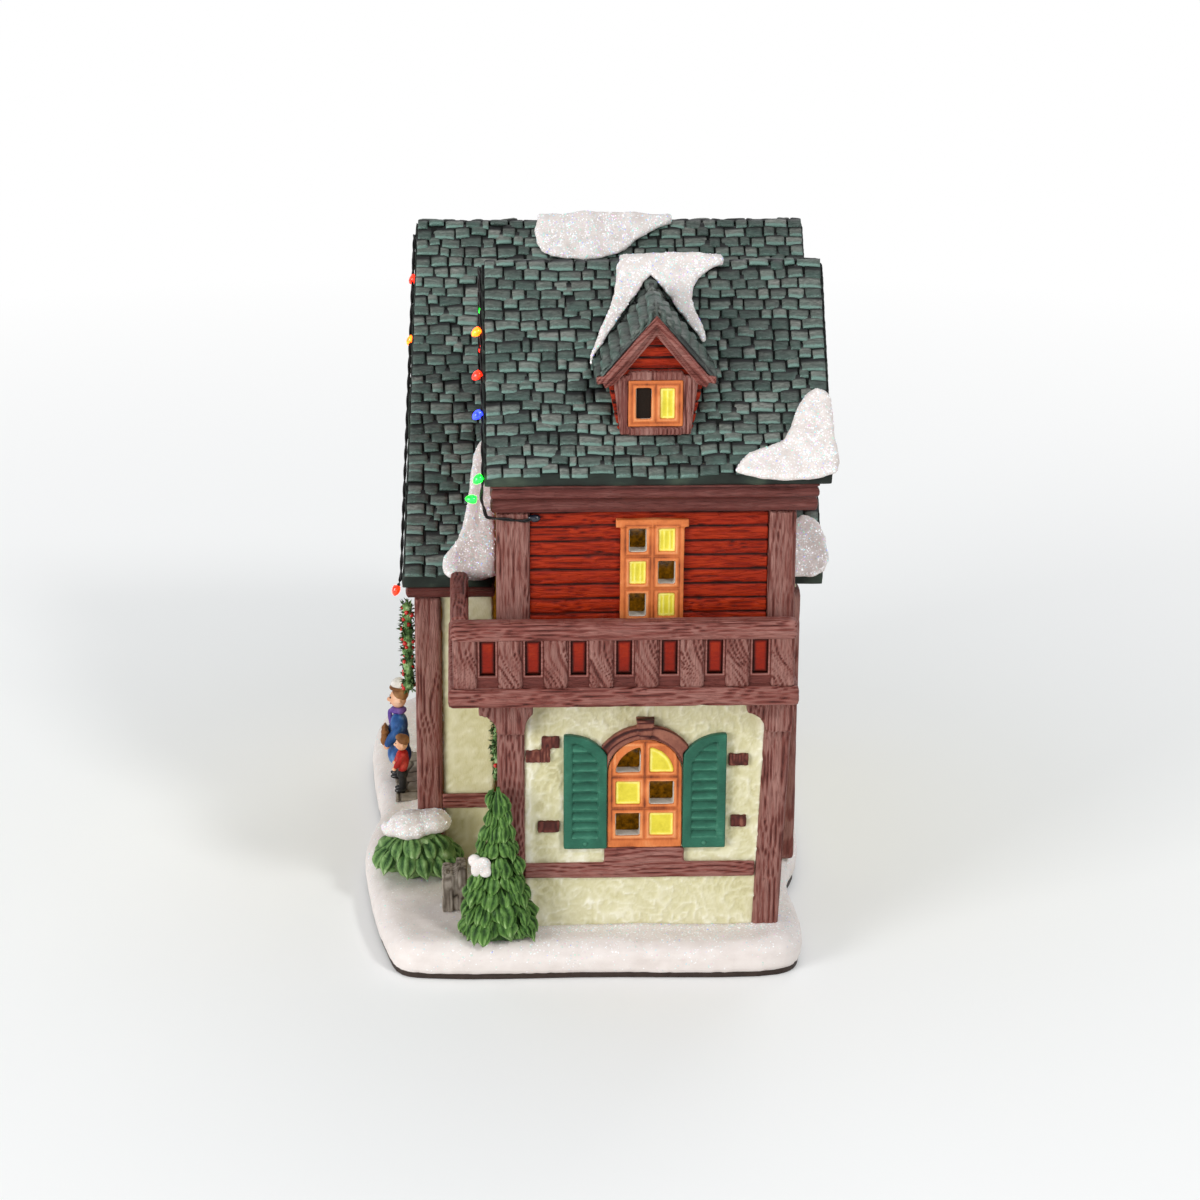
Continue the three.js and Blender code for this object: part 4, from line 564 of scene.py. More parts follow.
def plaster(points: np.ndarray, seed: int = 3) -> np.ndarray:
    """Trowelled plaster: soft swellings with raised veins.

    Args:
        points: places in millimetres.
        seed: picks the pattern.

    Returns:
        Relief from 0 to 1.
    """
    bent = points + (noise(points, (5, 5, 5), seed + 4) - 0.5)[:, None] * 5
    vein = 1 - np.abs(2 * noise(bent, (2.6, 2.6, 3.4), seed) - 1)
    thin = 1 - np.abs(2 * noise(bent + 40, (1.5, 1.5, 2.0), seed + 2) - 1)
    swell = rough_noise(points, (9, 9, 9), 4, seed + 6)
    veins = 0.3 * ease(0.7, 1.0, vein) + 0.22 * ease(0.75, 1.0, thin)
    return np.clip(0.4 + veins + 0.5 * (swell - 0.5), 0, 1)


def stone_face(points: np.ndarray, seed: int = 4) -> np.ndarray:
    """Hewn stone: pits and hatch marks, as relief from 0 to 1."""
    marks = np.abs(2 * noise(points, (0.9, 0.9, 3.2), seed) - 1)
    return np.clip(0.6 * rough_noise(points, (3, 3, 3), 4, seed) + 0.5 * ease(0.0, 0.5, marks), 0, 1)


def leaves(points: np.ndarray, size: float, seed: int = 5) -> np.ndarray:
    """Bunches of small leaves, as relief from 0 to 1."""
    bent = points + (rough_noise(points, (size, size, size), 2, seed + 2) - 0.5)[:, None] * size
    return np.clip(rough_noise(bent, (size, size, size * 0.8), 3, seed) * 1.5 - 0.25, 0, 1)


# Paints
def rgb(code: str) -> tuple[float, float, float, float]:
    """Colour of a six-digit code as the linear values that Blender reads."""
    parts = [int(code[i:i + 2], 16) / 255 for i in (0, 2, 4)]
    linear = [p / 12.92 if p <= 0.04045 else ((p + 0.055) / 1.055) ** 2.4 for p in parts]
    return (linear[0], linear[1], linear[2], 1.0)


class NodeWork:
    """Short way to write a tree of nodes."""

    tree: bpy.types.NodeTree

    def add(self, kind: str, feeds: Optional[dict[Union[str, int], Feed]] = None,
            **values: object) -> bpy.types.Node:
        """Add a node.

        Args:
            kind: Blender's name of the node.
            feeds: input socket to value or to another node's output.
            values: settings of the node itself.

        Returns:
            The node.
        """
        node = self.tree.nodes.new(kind)
        for key, value in values.items():
            setattr(node, key, value)
        for key, value in (feeds or {}).items():
            if isinstance(value, bpy.types.NodeSocket):
                self.tree.links.new(value, node.inputs[key])
            else:
                node.inputs[key].default_value = value
        return node

    def sum(self, kind: str, first: Feed, second: Feed = 0.0, third: Feed = 0.0,
            clamp: bool = False) -> Socket:
        """One step of arithmetic."""
        node = self.add("ShaderNodeMath", {0: first, 1: second, 2: third}, operation=kind, use_clamp=clamp)
        return node.outputs[0]


class Graph(NodeWork):
    """The nodes of a material."""

    def __init__(self, name: str) -> None:
        """Start an empty material of that name."""
        self.material = bpy.data.materials.new(name)
        self.material.use_nodes = True
        self.tree = self.material.node_tree
        self.tree.nodes.clear()

    def place(self, stretch: Sequence[float] = (1, 1, 1)) -> Socket:
        """Object coordinates in millimetres, divided by a stretch along each axis."""
        coordinates = self.add("ShaderNodeTexCoord").outputs["Object"]
        scale = tuple(1 / (MM * s) for s in stretch)
        return self.add("ShaderNodeMapping", {"Vector": coordinates, "Scale": scale}).outputs["Vector"]

    def noise(self, vector: Socket, size: float, detail: float = 4.0, rough: float = 0.55,
              twist: float = 0.0) -> Socket:
        """Noise texture whose blots are so many millimetres wide."""
        return self.add("ShaderNodeTexNoise", {
            "Vector": vector, "Scale": 1 / size, "Detail": detail, "Roughness": rough,
            "Distortion": twist}).outputs[0]

    def cells(self, vector: Socket, size: float) -> Socket:
        """Random colours of cells that are so many millimetres wide."""
        return self.add("ShaderNodeTexVoronoi", {"Vector": vector, "Scale": 1 / size}).outputs["Color"]

    def tilt(self, level: Feed, value: Socket, middle: float, weight: float) -> Socket:
        """The level plus the weighted difference of a value from its middle."""
        return self.sum("ADD", level, self.sum("MULTIPLY", self.sum("SUBTRACT", value, middle), weight))

    def ramp(self, level: Socket, stops: Sequence[tuple[float, str]]) -> Socket:
        """Colours between named levels."""
        node = self.add("ShaderNodeValToRGB", {"Fac": level})
        band = node.color_ramp
        while len(band.elements) < len(stops):
            band.elements.new(0.5)
        for element, (at, code) in zip(band.elements, sorted(stops)):
            element.position = at
            element.color = rgb(code)
        return node.outputs["Color"]

    def blend(self, share: Feed, first: Feed, second: Feed) -> Socket:
        """Mix of two colours."""
        node = self.add("ShaderNodeMix", {0: share, 6: first, 7: second}, data_type="RGBA")
        return node.outputs[2]

    def mark(self, name: str) -> Socket:
        """A value kept on the points of the mesh."""
        return self.add("ShaderNodeAttribute", attribute_name=name).outputs["Fac"]

    def bump(self, height: Socket, distance: float, strength: float = 1.0) -> Socket:
        """Surface direction from a height, with its depth in millimetres."""
        feeds = {"Height": height, "Distance": distance * MM, "Strength": strength}
        return self.add("ShaderNodeBump", feeds).outputs["Normal"]

    def finish(self, feeds: dict[Union[str, int], Feed]) -> bpy.types.Material:
        """Close the material with a surface of those inputs."""
        surface = self.add("ShaderNodeBsdfPrincipled", feeds)
        self.add("ShaderNodeOutputMaterial", {"Surface": surface.outputs[0]})
        return self.material


@dataclass(frozen=True)
class Paint:
    """Brushed paint on resin: dark wash in the grooves, base coat, and dry-brushed ridges.

    Attributes:
        name: name of the finish.
        wash: colour in the grooves.
        deep: darker base coat.
        base: base coat.
        brush: colour on the ridges.
        rough: roughness of the base coat.
        stretch: how much longer the fine grain is along each axis.
        grain: width of the fine grain in millimetres.
        carved: whether the mesh keeps a relief to paint by.
        gloss: clear coat.
        lines: strength of fine dark grain lines.
    """

    name: str
    wash: str
    deep: str
    base: str
    brush: str
    rough: float = 0.55
    stretch: tuple[float, float, float] = (1, 1, 1)
    grain: float = 0.7
    carved: bool = True
    gloss: float = 0.0
    lines: float = 0.0

    def material(self) -> bpy.types.Material:
        """Build the material."""
        g = Graph(self.name)
        place = g.place(self.stretch)
        plain = g.place()
        fine = g.noise(place, self.grain, 5, 0.62)
        patch = g.noise(plain, 7.0, 3, 0.5)
        relief = g.mark("relief") if self.carved else g.noise(place, 3.2, 4, 0.6, 0.4)
        level = g.sum("MULTIPLY_ADD", relief, 0.8, -0.09)
        level = g.sum("ADD", level, g.sum("MULTIPLY", fine, 0.26))
        level = g.tilt(level, patch, 0.5, 0.22)
        height = fine
        if self.lines:
            wave = g.noise(place, self.grain * 2.2, 2, 0.5, 0.6)
            near = g.sum("ABSOLUTE", g.sum("SUBTRACT", wave, 0.5))
            line = g.sum("SUBTRACT", 1.0, g.sum("MULTIPLY", near, 16.0), clamp=True)
            level = g.sum("SUBTRACT", level, g.sum("MULTIPLY", line, self.lines))
            height = g.sum("SUBTRACT", fine, line)
        level = g.sum("ADD", level, 0.0, clamp=True)
        colour = g.ramp(level, [(0.12, self.wash), (0.34, self.deep), (0.6, self.base), (0.92, self.brush)])
        rough = g.sum("ADD", g.sum("MULTIPLY", fine, 0.22), self.rough - 0.11, clamp=True)
        feeds = {"Base Color": colour, "Roughness": rough, "Normal": g.bump(height, 0.14),
                 "Specular IOR Level": 0.2, "Coat Weight": self.gloss, "Coat Roughness": 0.25}
        return g.finish(feeds)


@dataclass(frozen=True)
class ShinglePaint:
    """Shingles: grey-brown faces, a green dry-brushed butt that turns paler as a painted highlight, and a
    near-black upper end painted as shade under the next course.
    """

    name: str = "shingle_paint"
    # Near-black painted shade for the covered upper end of each shingle.
    groove: str = "0C0C0B"
    face: str = "5C5D57"
    pale: str = "908F88"
    green: str = "6C8E83"

    def material(self) -> bpy.types.Material:
        """Build the material."""
        g = Graph(self.name)
        plain = g.place()
        fine = g.noise(plain, 0.5, 5, 0.65)
        soft = g.noise(plain, 9.0, 2, 0.5)
        streak = g.noise(g.place((3.0, 1.0, 1.0)), 0.6, 4, 0.6)
        tone = g.mark("tone")
        level = g.sum("ADD", g.sum("MULTIPLY", tone, 0.34), g.sum("MULTIPLY", streak, 0.72), clamp=True)
        face = g.ramp(level, [(0.24, "1E1F1D"), (0.4, "3D3F3B"), (0.58, self.face), (0.8, self.pale)])
        edge = g.mark("edge")
        mossy = g.tilt(g.tilt(g.sum("MULTIPLY", edge, 0.75), soft, 0.42, 1.6), streak, 0.5, 0.9)
        colour = g.blend(g.sum("MULTIPLY", mossy, 0.55, clamp=True), face, rgb("3A5A50"))
        butt = g.tilt(g.tilt(edge, fine, 0.5, 0.5), tone, 0.5, 0.24)
        # Along the butt the colour turns to the paler green: partly dry-brushing, partly a painted highlight
        # where the thick butt would catch the light.
        butt_brush_and_highlight = g.sum("MULTIPLY", g.sum("SUBTRACT", butt, 0.88), 7.0, clamp=True)
        colour = g.blend(g.sum("MULTIPLY", butt_brush_and_highlight, 0.75), colour, rgb(self.green))
        # The upper end of each shingle, which lies under the next course, is painted near-black: painted
        # shade in the gaps between the courses.
        hollow = g.sum("MULTIPLY", g.sum("SUBTRACT", 0.3, edge), 5.0, clamp=True)
        colour = g.blend(hollow, colour, rgb(self.groove))
        feeds = {"Base Color": colour, "Roughness": 0.5, "Normal": g.bump(streak, 0.14)}
        return g.finish(feeds)


@dataclass(frozen=True)
class SnowPaint:
    """Snow with a fine sparkling sand in it."""

    name: str = "snow_paint"
    shade: str = "C6BAB4"
    base: str = "DAD0CA"
    light: str = "E8E0DB"
    glint: float = 0.4

    def material(self) -> bpy.types.Material:
        """Build the material."""
        g = Graph(self.name)
        plain = g.place()
        fine = g.noise(plain, 0.5, 4, 0.7)
        soft = g.noise(plain, 5.0, 3, 0.5)
        brushed = g.noise(g.place((9.0, 9.0, 1.2)), 1.1, 3, 0.5)
        relief = g.mark("relief")
        level = g.sum("ADD", g.sum("MULTIPLY", relief, 0.5), g.sum("MULTIPLY", soft, 0.28))
        level = g.sum("ADD", level, g.sum("MULTIPLY", g.sum("ADD", fine, brushed), 0.16), clamp=True)
        colour = g.ramp(level, [(0.18, self.shade), (0.5, self.base), (0.85, self.light)])
        picked = g.cells(plain, 0.42)
        split = g.add("ShaderNodeSeparateColor", {"Color": picked})
        dense = g.sum("MULTIPLY", g.mark("frost"), self.glint)
        dots = g.sum("GREATER_THAN", split.outputs[0], g.sum("SUBTRACT", 1.0, dense))
        tint = g.ramp(split.outputs[1], [(0.0, "B9DCCB"), (0.2, "FFFFFF"), (0.6, "FFFFFF"), (0.72, "BFE0E6"),
                                         (0.85, "EFC9D2"), (1.0, "FFFFFF")])
        colour = g.blend(g.sum("MULTIPLY", dots, 0.75), colour, tint)
        rough = g.sum("SUBTRACT", 0.72, g.sum("MULTIPLY", dots, 0.45))
        height = g.sum("ADD", g.sum("MULTIPLY", fine, 0.7), g.sum("MULTIPLY", dots, 0.5))
        return g.finish({"Base Color": colour, "Roughness": rough, "Normal": g.bump(height, 0.16)})


@dataclass(frozen=True)
class Glint:
    """Grains of glitter in white, green, blue and pink, which also glow faintly as a painted sparkle."""

    name: str = "glitter"

    def material(self) -> bpy.types.Material:
        """Build the material."""
        g = Graph(self.name)
        tone = g.mark("tone")
        sheen = g.noise(g.place(), 0.3, 2, 0.5)
        colour = g.ramp(tone, [(0.0, "FFFFFF"), (0.5, "F8F8FF"), (0.62, "9CF0CC"), (0.74, "9CE0FA"),
                               (0.85, "F4B8D8"), (0.97, "9CACFA")])
        # The emission is painted sparkle; the grains are no lamps.
        return g.finish({"Base Color": colour, "Metallic": 0.55, "Roughness": g.sum("MULTIPLY", sheen, 0.4),
                         "Emission Color": colour, "Emission Strength": 0.5})


@dataclass(frozen=True)
class Glow:
    """Clear coloured plastic that shines from inside, also used as painted lamplight on inner faces that are
    no lamps.

    Attributes:
        name: name of the finish.
        colour: colour of the plastic.
        light: colour of the light.
        strength: strength of the light.
    """

    name: str
    colour: str
    light: str
    strength: float = 1.6

    def material(self) -> bpy.types.Material:
        """Build the material."""
        g = Graph(self.name)
        swirl = g.noise(g.place(), 1.2, 3, 0.5)
        colour = g.ramp(swirl, [(0.35, self.colour), (0.7, self.light)])
        return g.finish({"Base Color": colour, "Roughness": 0.18, "Emission Color": colour,
                         "Emission Strength": self.strength, "Coat Weight": 0.5,
                         "Normal": g.bump(swirl, 0.1)})


@dataclass(frozen=True)
class BoxPlastic:
    """Battery box: dark plastic whose outer near face and top catch the lamp's light.

    Attributes:
        face: y of its near face, in millimetres of the frame.
        top: height of its top.
    """

    face: float
    top: float

    def material(self) -> bpy.types.Material:
        """Build the material."""
        g = Graph("box_plastic")
        place = g.place()
        split = g.add("ShaderNodeSeparateXYZ", {0: place})
        near = g.sum("LESS_THAN", split.outputs[1], self.face + 0.3)
        over = g.sum("GREATER_THAN", split.outputs[2], self.top - 0.3)
        lit = g.sum("MAXIMUM", near, over)
        speck = g.noise(place, 2.0, 4, 0.6)
        dark = g.ramp(speck, [(0.3, "261A0E"), (0.7, "42301A")])
        warm = g.ramp(speck, [(0.3, "5A3904"), (0.7, "7E5508")])
        return g.finish({"Base Color": g.blend(lit, dark, warm), "Emission Color": warm, "Roughness": 0.6,
                         "Emission Strength": g.sum("MULTIPLY", lit, 0.8), "Normal": g.bump(speck, 0.1)})


@dataclass(frozen=True)
class Metal:
    """Brushed metal."""

    name: str = "contact_steel"
    colour: str = "B9BCC0"

    def material(self) -> bpy.types.Material:
        """Build the material."""
        g = Graph(self.name)
        line = g.noise(g.place((8, 1, 1)), 0.4, 4, 0.6)
        colour = g.ramp(line, [(0.25, "8E9196"), (0.7, self.colour)])
        return g.finish({"Base Color": colour, "Metallic": 1.0, "Roughness": 0.32,
                         "Normal": g.bump(line, 0.05)})


# Near face and top of the battery box, in the building's millimetres
BOX_NEAR, BOX_TOP = 106.8, 65.3
FINISHES = {
    "post": Paint("post_timber", "28100C", "582D27", "713D35", "A27A70", 0.5, (1, 1, 10), 0.36, lines=0.05),
    "rail": Paint("rail_timber", "28100C", "5C2E28", "783E36", "A6796F", 0.5, (10, 10, 1), 0.36, lines=0.05),
    "moulding": Paint("moulding_timber", "240D0A", "4C221D", "62302A", "8A5C55", 0.4, (10, 10, 1), 0.4,
                      lines=0.03, gloss=0.12),
    "boards": Paint("red_boards", "180502", "521002", "841901", "A83008", 0.5, (10, 10, 1), 0.36, lines=0.08),
    "panel": Paint("red_panels", "140401", "420A02", "801701", "B43A0C", 0.34, (4, 4, 1), 0.7),
    "stucco": Paint("plaster", "A69B70", "C8C198", "D5CFAE", "E9E5D3", 0.7, (1, 1, 2), 0.6),
    "orange": Paint("orange_frame", "5E2811", "AE5A2C", "CF743D", "E09A66", 0.45, (1, 1, 4), 0.5, gloss=0.12),
    "pane": Paint("yellow_pane", "9C8420", "C9B92F", "DFD040", "F0E787", 0.36, gloss=0.25),
    "cut_edge": Paint("cut_edge", "6E6656", "A9A294", "C9C3B8", "DAD6CE", 0.7),
    "shade": Paint("painted_shade_plate", "0B0603", "150B05", "1C1107", "2A1C0E", 0.8),
    "shutter": Paint("shutter_green", "0D2A20", "1C4A3A", "2B644F", "5C9A80", 0.42, (3, 3, 1), 0.5,
                     gloss=0.06),
    "stone": Paint("pale_stone", "352C25", "675D52", "857B6F", "B2A99D", 0.85),
    "arch": Paint("dark_stone", "220D09", "451D16", "5E2C23", "9A6450", 0.48, gloss=0.1),
    "tree": Paint("fir_green", "1A380F", "42682A", "6A9048", "C0D8A0", 0.5, (1, 1, 5), 0.4, gloss=0.04,
                  lines=0.08),
    "bush": Paint("bush_green", "24441F", "55793F", "86A868", "D0E2B8", 0.55, (1, 1, 3), 0.4, gloss=0.04,
                  lines=0.08),
    "rim": Paint("roof_rim", "0B0E0C", "1A1C18", "262E28", "4E5A4A", 0.45, (6, 6, 2), 0.7),
    "under": Paint("roof_shadow", "060606", "0C0D0C", "131412", "1D1F1C", 0.8),
    "plastic": Paint("base_plastic", "211A16", "332924", "3B302A", "5A4C43", 0.5, carved=False),
    "lead": Paint("lead_plastic", "050404", "0D0B0A", "151110", "2C2724", 0.4, gloss=0.3),
    "glue": Paint("glue_drop", "04060C", "0C111C", "161D2C", "3C4A66", 0.1, gloss=1.0),
    "red_cloth": Paint("red_sweater", "440807", "861614", "A41F1B", "CE5A4C", 0.6),
    "blue_cloth": Paint("blue_coat", "10203C", "20406F", "2C568F", "6E93BE", 0.55),
    "scarf_cloth": Paint("purple_scarf", "1E1030", "3C2560", "553786", "8D70B5", 0.55),
    "white_cloth": Paint("white_wool", "8F857C", "C2BAB2", "DDD8D2", "EFECE8", 0.75),
    "trousers": Paint("dark_trousers", "0A0908", "151312", "1F1C1A", "3C3733", 0.6),
    "boot": Paint("black_boots", "060505", "0E0C0B", "181413", "33302C", 0.3, gloss=0.4),
    "skin": Paint("face_paint", "A06A4E", "C88E6C", "DBA684", "E9C0A4", 0.5),
    "eye": Paint("eye_paint", "0B0706", "120C0A", "1A1310", "2B211C", 0.25, gloss=0.6),
    "mouth": Paint("mouth_paint", "5A1F18", "86382C", "9C4A3C", "B46A5A", 0.5),
    "hair": Paint("hair_paint", "3B2412", "5E3B1F", "7A5030", "A77B52", 0.6),
    "toy": Paint("toy_brown", "3F2410", "6E4422", "8C5C33", "B98A5C", 0.7),
    "berry": Paint("red_berry", "4E0606", "9C1210", "C41E19", "E86A58", 0.25, gloss=0.6),
    "door": Paint("door_paint", "2D0D06", "6E2413", "8A3019", "B0674A", 0.45, (1, 1, 8), 0.4, lines=0.2),
    "lamp": Glow("lamp_glass", "B07A26", "D89A40", 0.5),
    # Dim ochre glow on the inner faces and on plates behind the windows: painted lamplight of the room
    # inside.
    "inside": Glow("inside_glow", "3A2404", "6E4606", 0.9),
    "bulb_amber": Glow("bulb_amber", "FF4400", "FF6A10", 6.0),
    "bulb_red": Glow("bulb_red", "F00C02", "FF2A0C", 4.0),
    "bulb_blue": Glow("bulb_blue", "0A18F0", "2838FF", 7.0),
    "bulb_green": Glow("bulb_green", "00B80C", "10E428", 12.0),
    "shingle": ShinglePaint(),
    "snow": SnowPaint(),
    "glitter": Glint(),
    "metal": Metal(),
    "box": BoxPlastic(BOX_NEAR + SHIFT[1], BOX_TOP),
}


@cache
def paint(name: str) -> bpy.types.Material:
    """The material of a named finish, made once."""
    return FINISHES[name].material()


# Geometry nodes
class NodeForm(NodeWork):
    """Geometry Nodes tree with named inputs, run once into a plain mesh."""

    def __init__(self, name: str) -> None:
        """Start an empty tree of that name."""
        self.tree = bpy.data.node_groups.new(name, "GeometryNodeTree")
        self.tree.interface.new_socket("Geometry", in_out="OUTPUT", socket_type="NodeSocketGeometry")
        self.given = self.tree.nodes.new("NodeGroupInput")
        self.names: dict[str, str] = {}

    def input(self, name: str, kind: str) -> Socket:
        """Add a named input.

        Args:
            name: its name.
            kind: Float, Int, Object, Material or Geometry.

        Returns:
            The socket to read it from.
        """
        item = self.tree.interface.new_socket(name, in_out="INPUT", socket_type=f"NodeSocket{kind}")
        self.names[name] = item.identifier
        return next(s for s in self.given.outputs if s.identifier == item.identifier)

    def chance(self, low: float, high: float, key: Socket, seed: Socket) -> Socket:
        """Random value between two limits, fixed for each key."""
        node = self.add("FunctionNodeRandomValue", data_type="FLOAT")
        for socket in node.inputs:
            if socket.type == "VALUE" and socket.name == "Min":
                socket.default_value = low
            if socket.type == "VALUE" and socket.name == "Max":
                socket.default_value = high
            if socket.name == "ID":
                self.tree.links.new(key, socket)
            if socket.name == "Seed":
                self.tree.links.new(seed, socket)
        return next(s for s in node.outputs if s.type == "VALUE" and s.enabled)

    def xyz(self, x: object, y: object, z: object) -> Socket:
        """Vector of three values."""
        return self.add("ShaderNodeCombineXYZ", {0: x, 1: y, 2: z}).outputs[0]

    def toned(self, pieces: Socket, key: Socket, seed: Socket) -> Socket:
        """Repeated pieces that each keep a random tone from 0 to 1."""
        node = self.add("GeometryNodeStoreNamedAttribute", {0: pieces, "Name": "tone"},
                        domain="INSTANCE", data_type="FLOAT")
        value = next(s for s in node.inputs if s.name == "Value" and s.enabled)
        self.tree.links.new(self.chance(0.0, 1.0, key, seed), value)
        return node.outputs[0]

    def close(self, geometry: Socket, material: Socket) -> None:
        """End the tree in Realize Instances and Set Material."""
        plain = self.add("GeometryNodeRealizeInstances", {0: geometry}).outputs[0]
        node = self.add("GeometryNodeSetMaterial", {0: plain, "Material": material})
        out = self.tree.nodes.new("NodeGroupOutput")
        self.tree.links.new(node.outputs[0], out.inputs[0])

    def run(self, values: dict[str, object], start: Optional[bpy.types.Mesh] = None) -> bpy.types.Mesh:
        """Give the inputs, evaluate the tree and return a plain mesh.

        Args:
            values: value of each named input.
            start: mesh that the tree works on.

        Returns:
            The new mesh.
        """
        mesh = start if start is not None else bpy.data.meshes.new("start")
        helper = link("helper", mesh)
        change = helper.modifiers.new("form", "NODES")
        change.node_group = self.tree
        for name, value in values.items():
            change[self.names[name]] = value
        return evaluated(helper)


def read_mark(mesh: bpy.types.Mesh, name: str) -> np.ndarray:
    """Values kept under a name on the points of a mesh; zeros where there are none."""
    values = np.zeros(len(mesh.vertices), np.float32)
    layer = mesh.attributes.get(name)
    if layer is not None and layer.domain == "POINT":
        layer.data.foreach_get("value", values)
    return values.astype(float)


def template(name: str, shell: Shell) -> bpy.types.Object:
    """Object that a tree repeats; its mesh is in metres round its own origin."""
    mesh = mesh_from(name, Shell(shell.points - SHIFT, shell.faces, shell.relief, shell.marks))
    return link(name, mesh)


def drop(pattern: bpy.types.Object) -> None:
    """Remove a template once the tree has run."""
    mesh = pattern.data
    bpy.data.objects.remove(pattern)
    bpy.data.meshes.remove(mesh)


# Roofs
@dataclass
class Slope:
    """One slope of a roof.

    Attributes:
        eave: y and z of the upper corner of its eave.
        ridge: y of its ridge.
        pitch: angle in degrees.
    """

    eave: tuple[float, float]
    ridge: float
    pitch: float = 50.0

    @property
    def way(self) -> float:
        """1 where the slope climbs towards the far side, else -1."""
        return math.copysign(1.0, self.ridge - self.eave[0])

    @property
    def length(self) -> float:
        """Length from the eave to the ridge."""
        return abs(self.ridge - self.eave[0]) / math.cos(math.radians(self.pitch))

    def onto(self, local: np.ndarray) -> np.ndarray:
        """Places on the building for x, distance up the slope, and height above it."""
        c, s = math.cos(math.radians(self.pitch)), math.sin(math.radians(self.pitch))
        y = self.eave[0] + self.way * (local[:, 1] * c - local[:, 2] * s)
        z = self.eave[1] + local[:, 1] * s + local[:, 2] * c
        return np.stack([local[:, 0], y, z], -1)


@dataclass
class ShingleField:
    """Courses of shingles on a part of a slope.

    Attributes:
        name: name of the piece.
        slope: slope that they lie on.
        courses: number of courses on the whole slope.
        first: first course here.
        last: course after the last one here.
        front: x of the front end at the first and past the last course.
        back: x of the back end at the first and past the last course.
        seed: picks the widths.
        width: usual width of a shingle.
        thickness: thickness of a shingle at its butt.
    """

    name: str
    slope: Slope
    courses: int
    first: int
    last: int
    front: tuple[float, float]
    back: tuple[float, float]
    seed: int
    width: float = 5.5
    thickness: float = 1.15


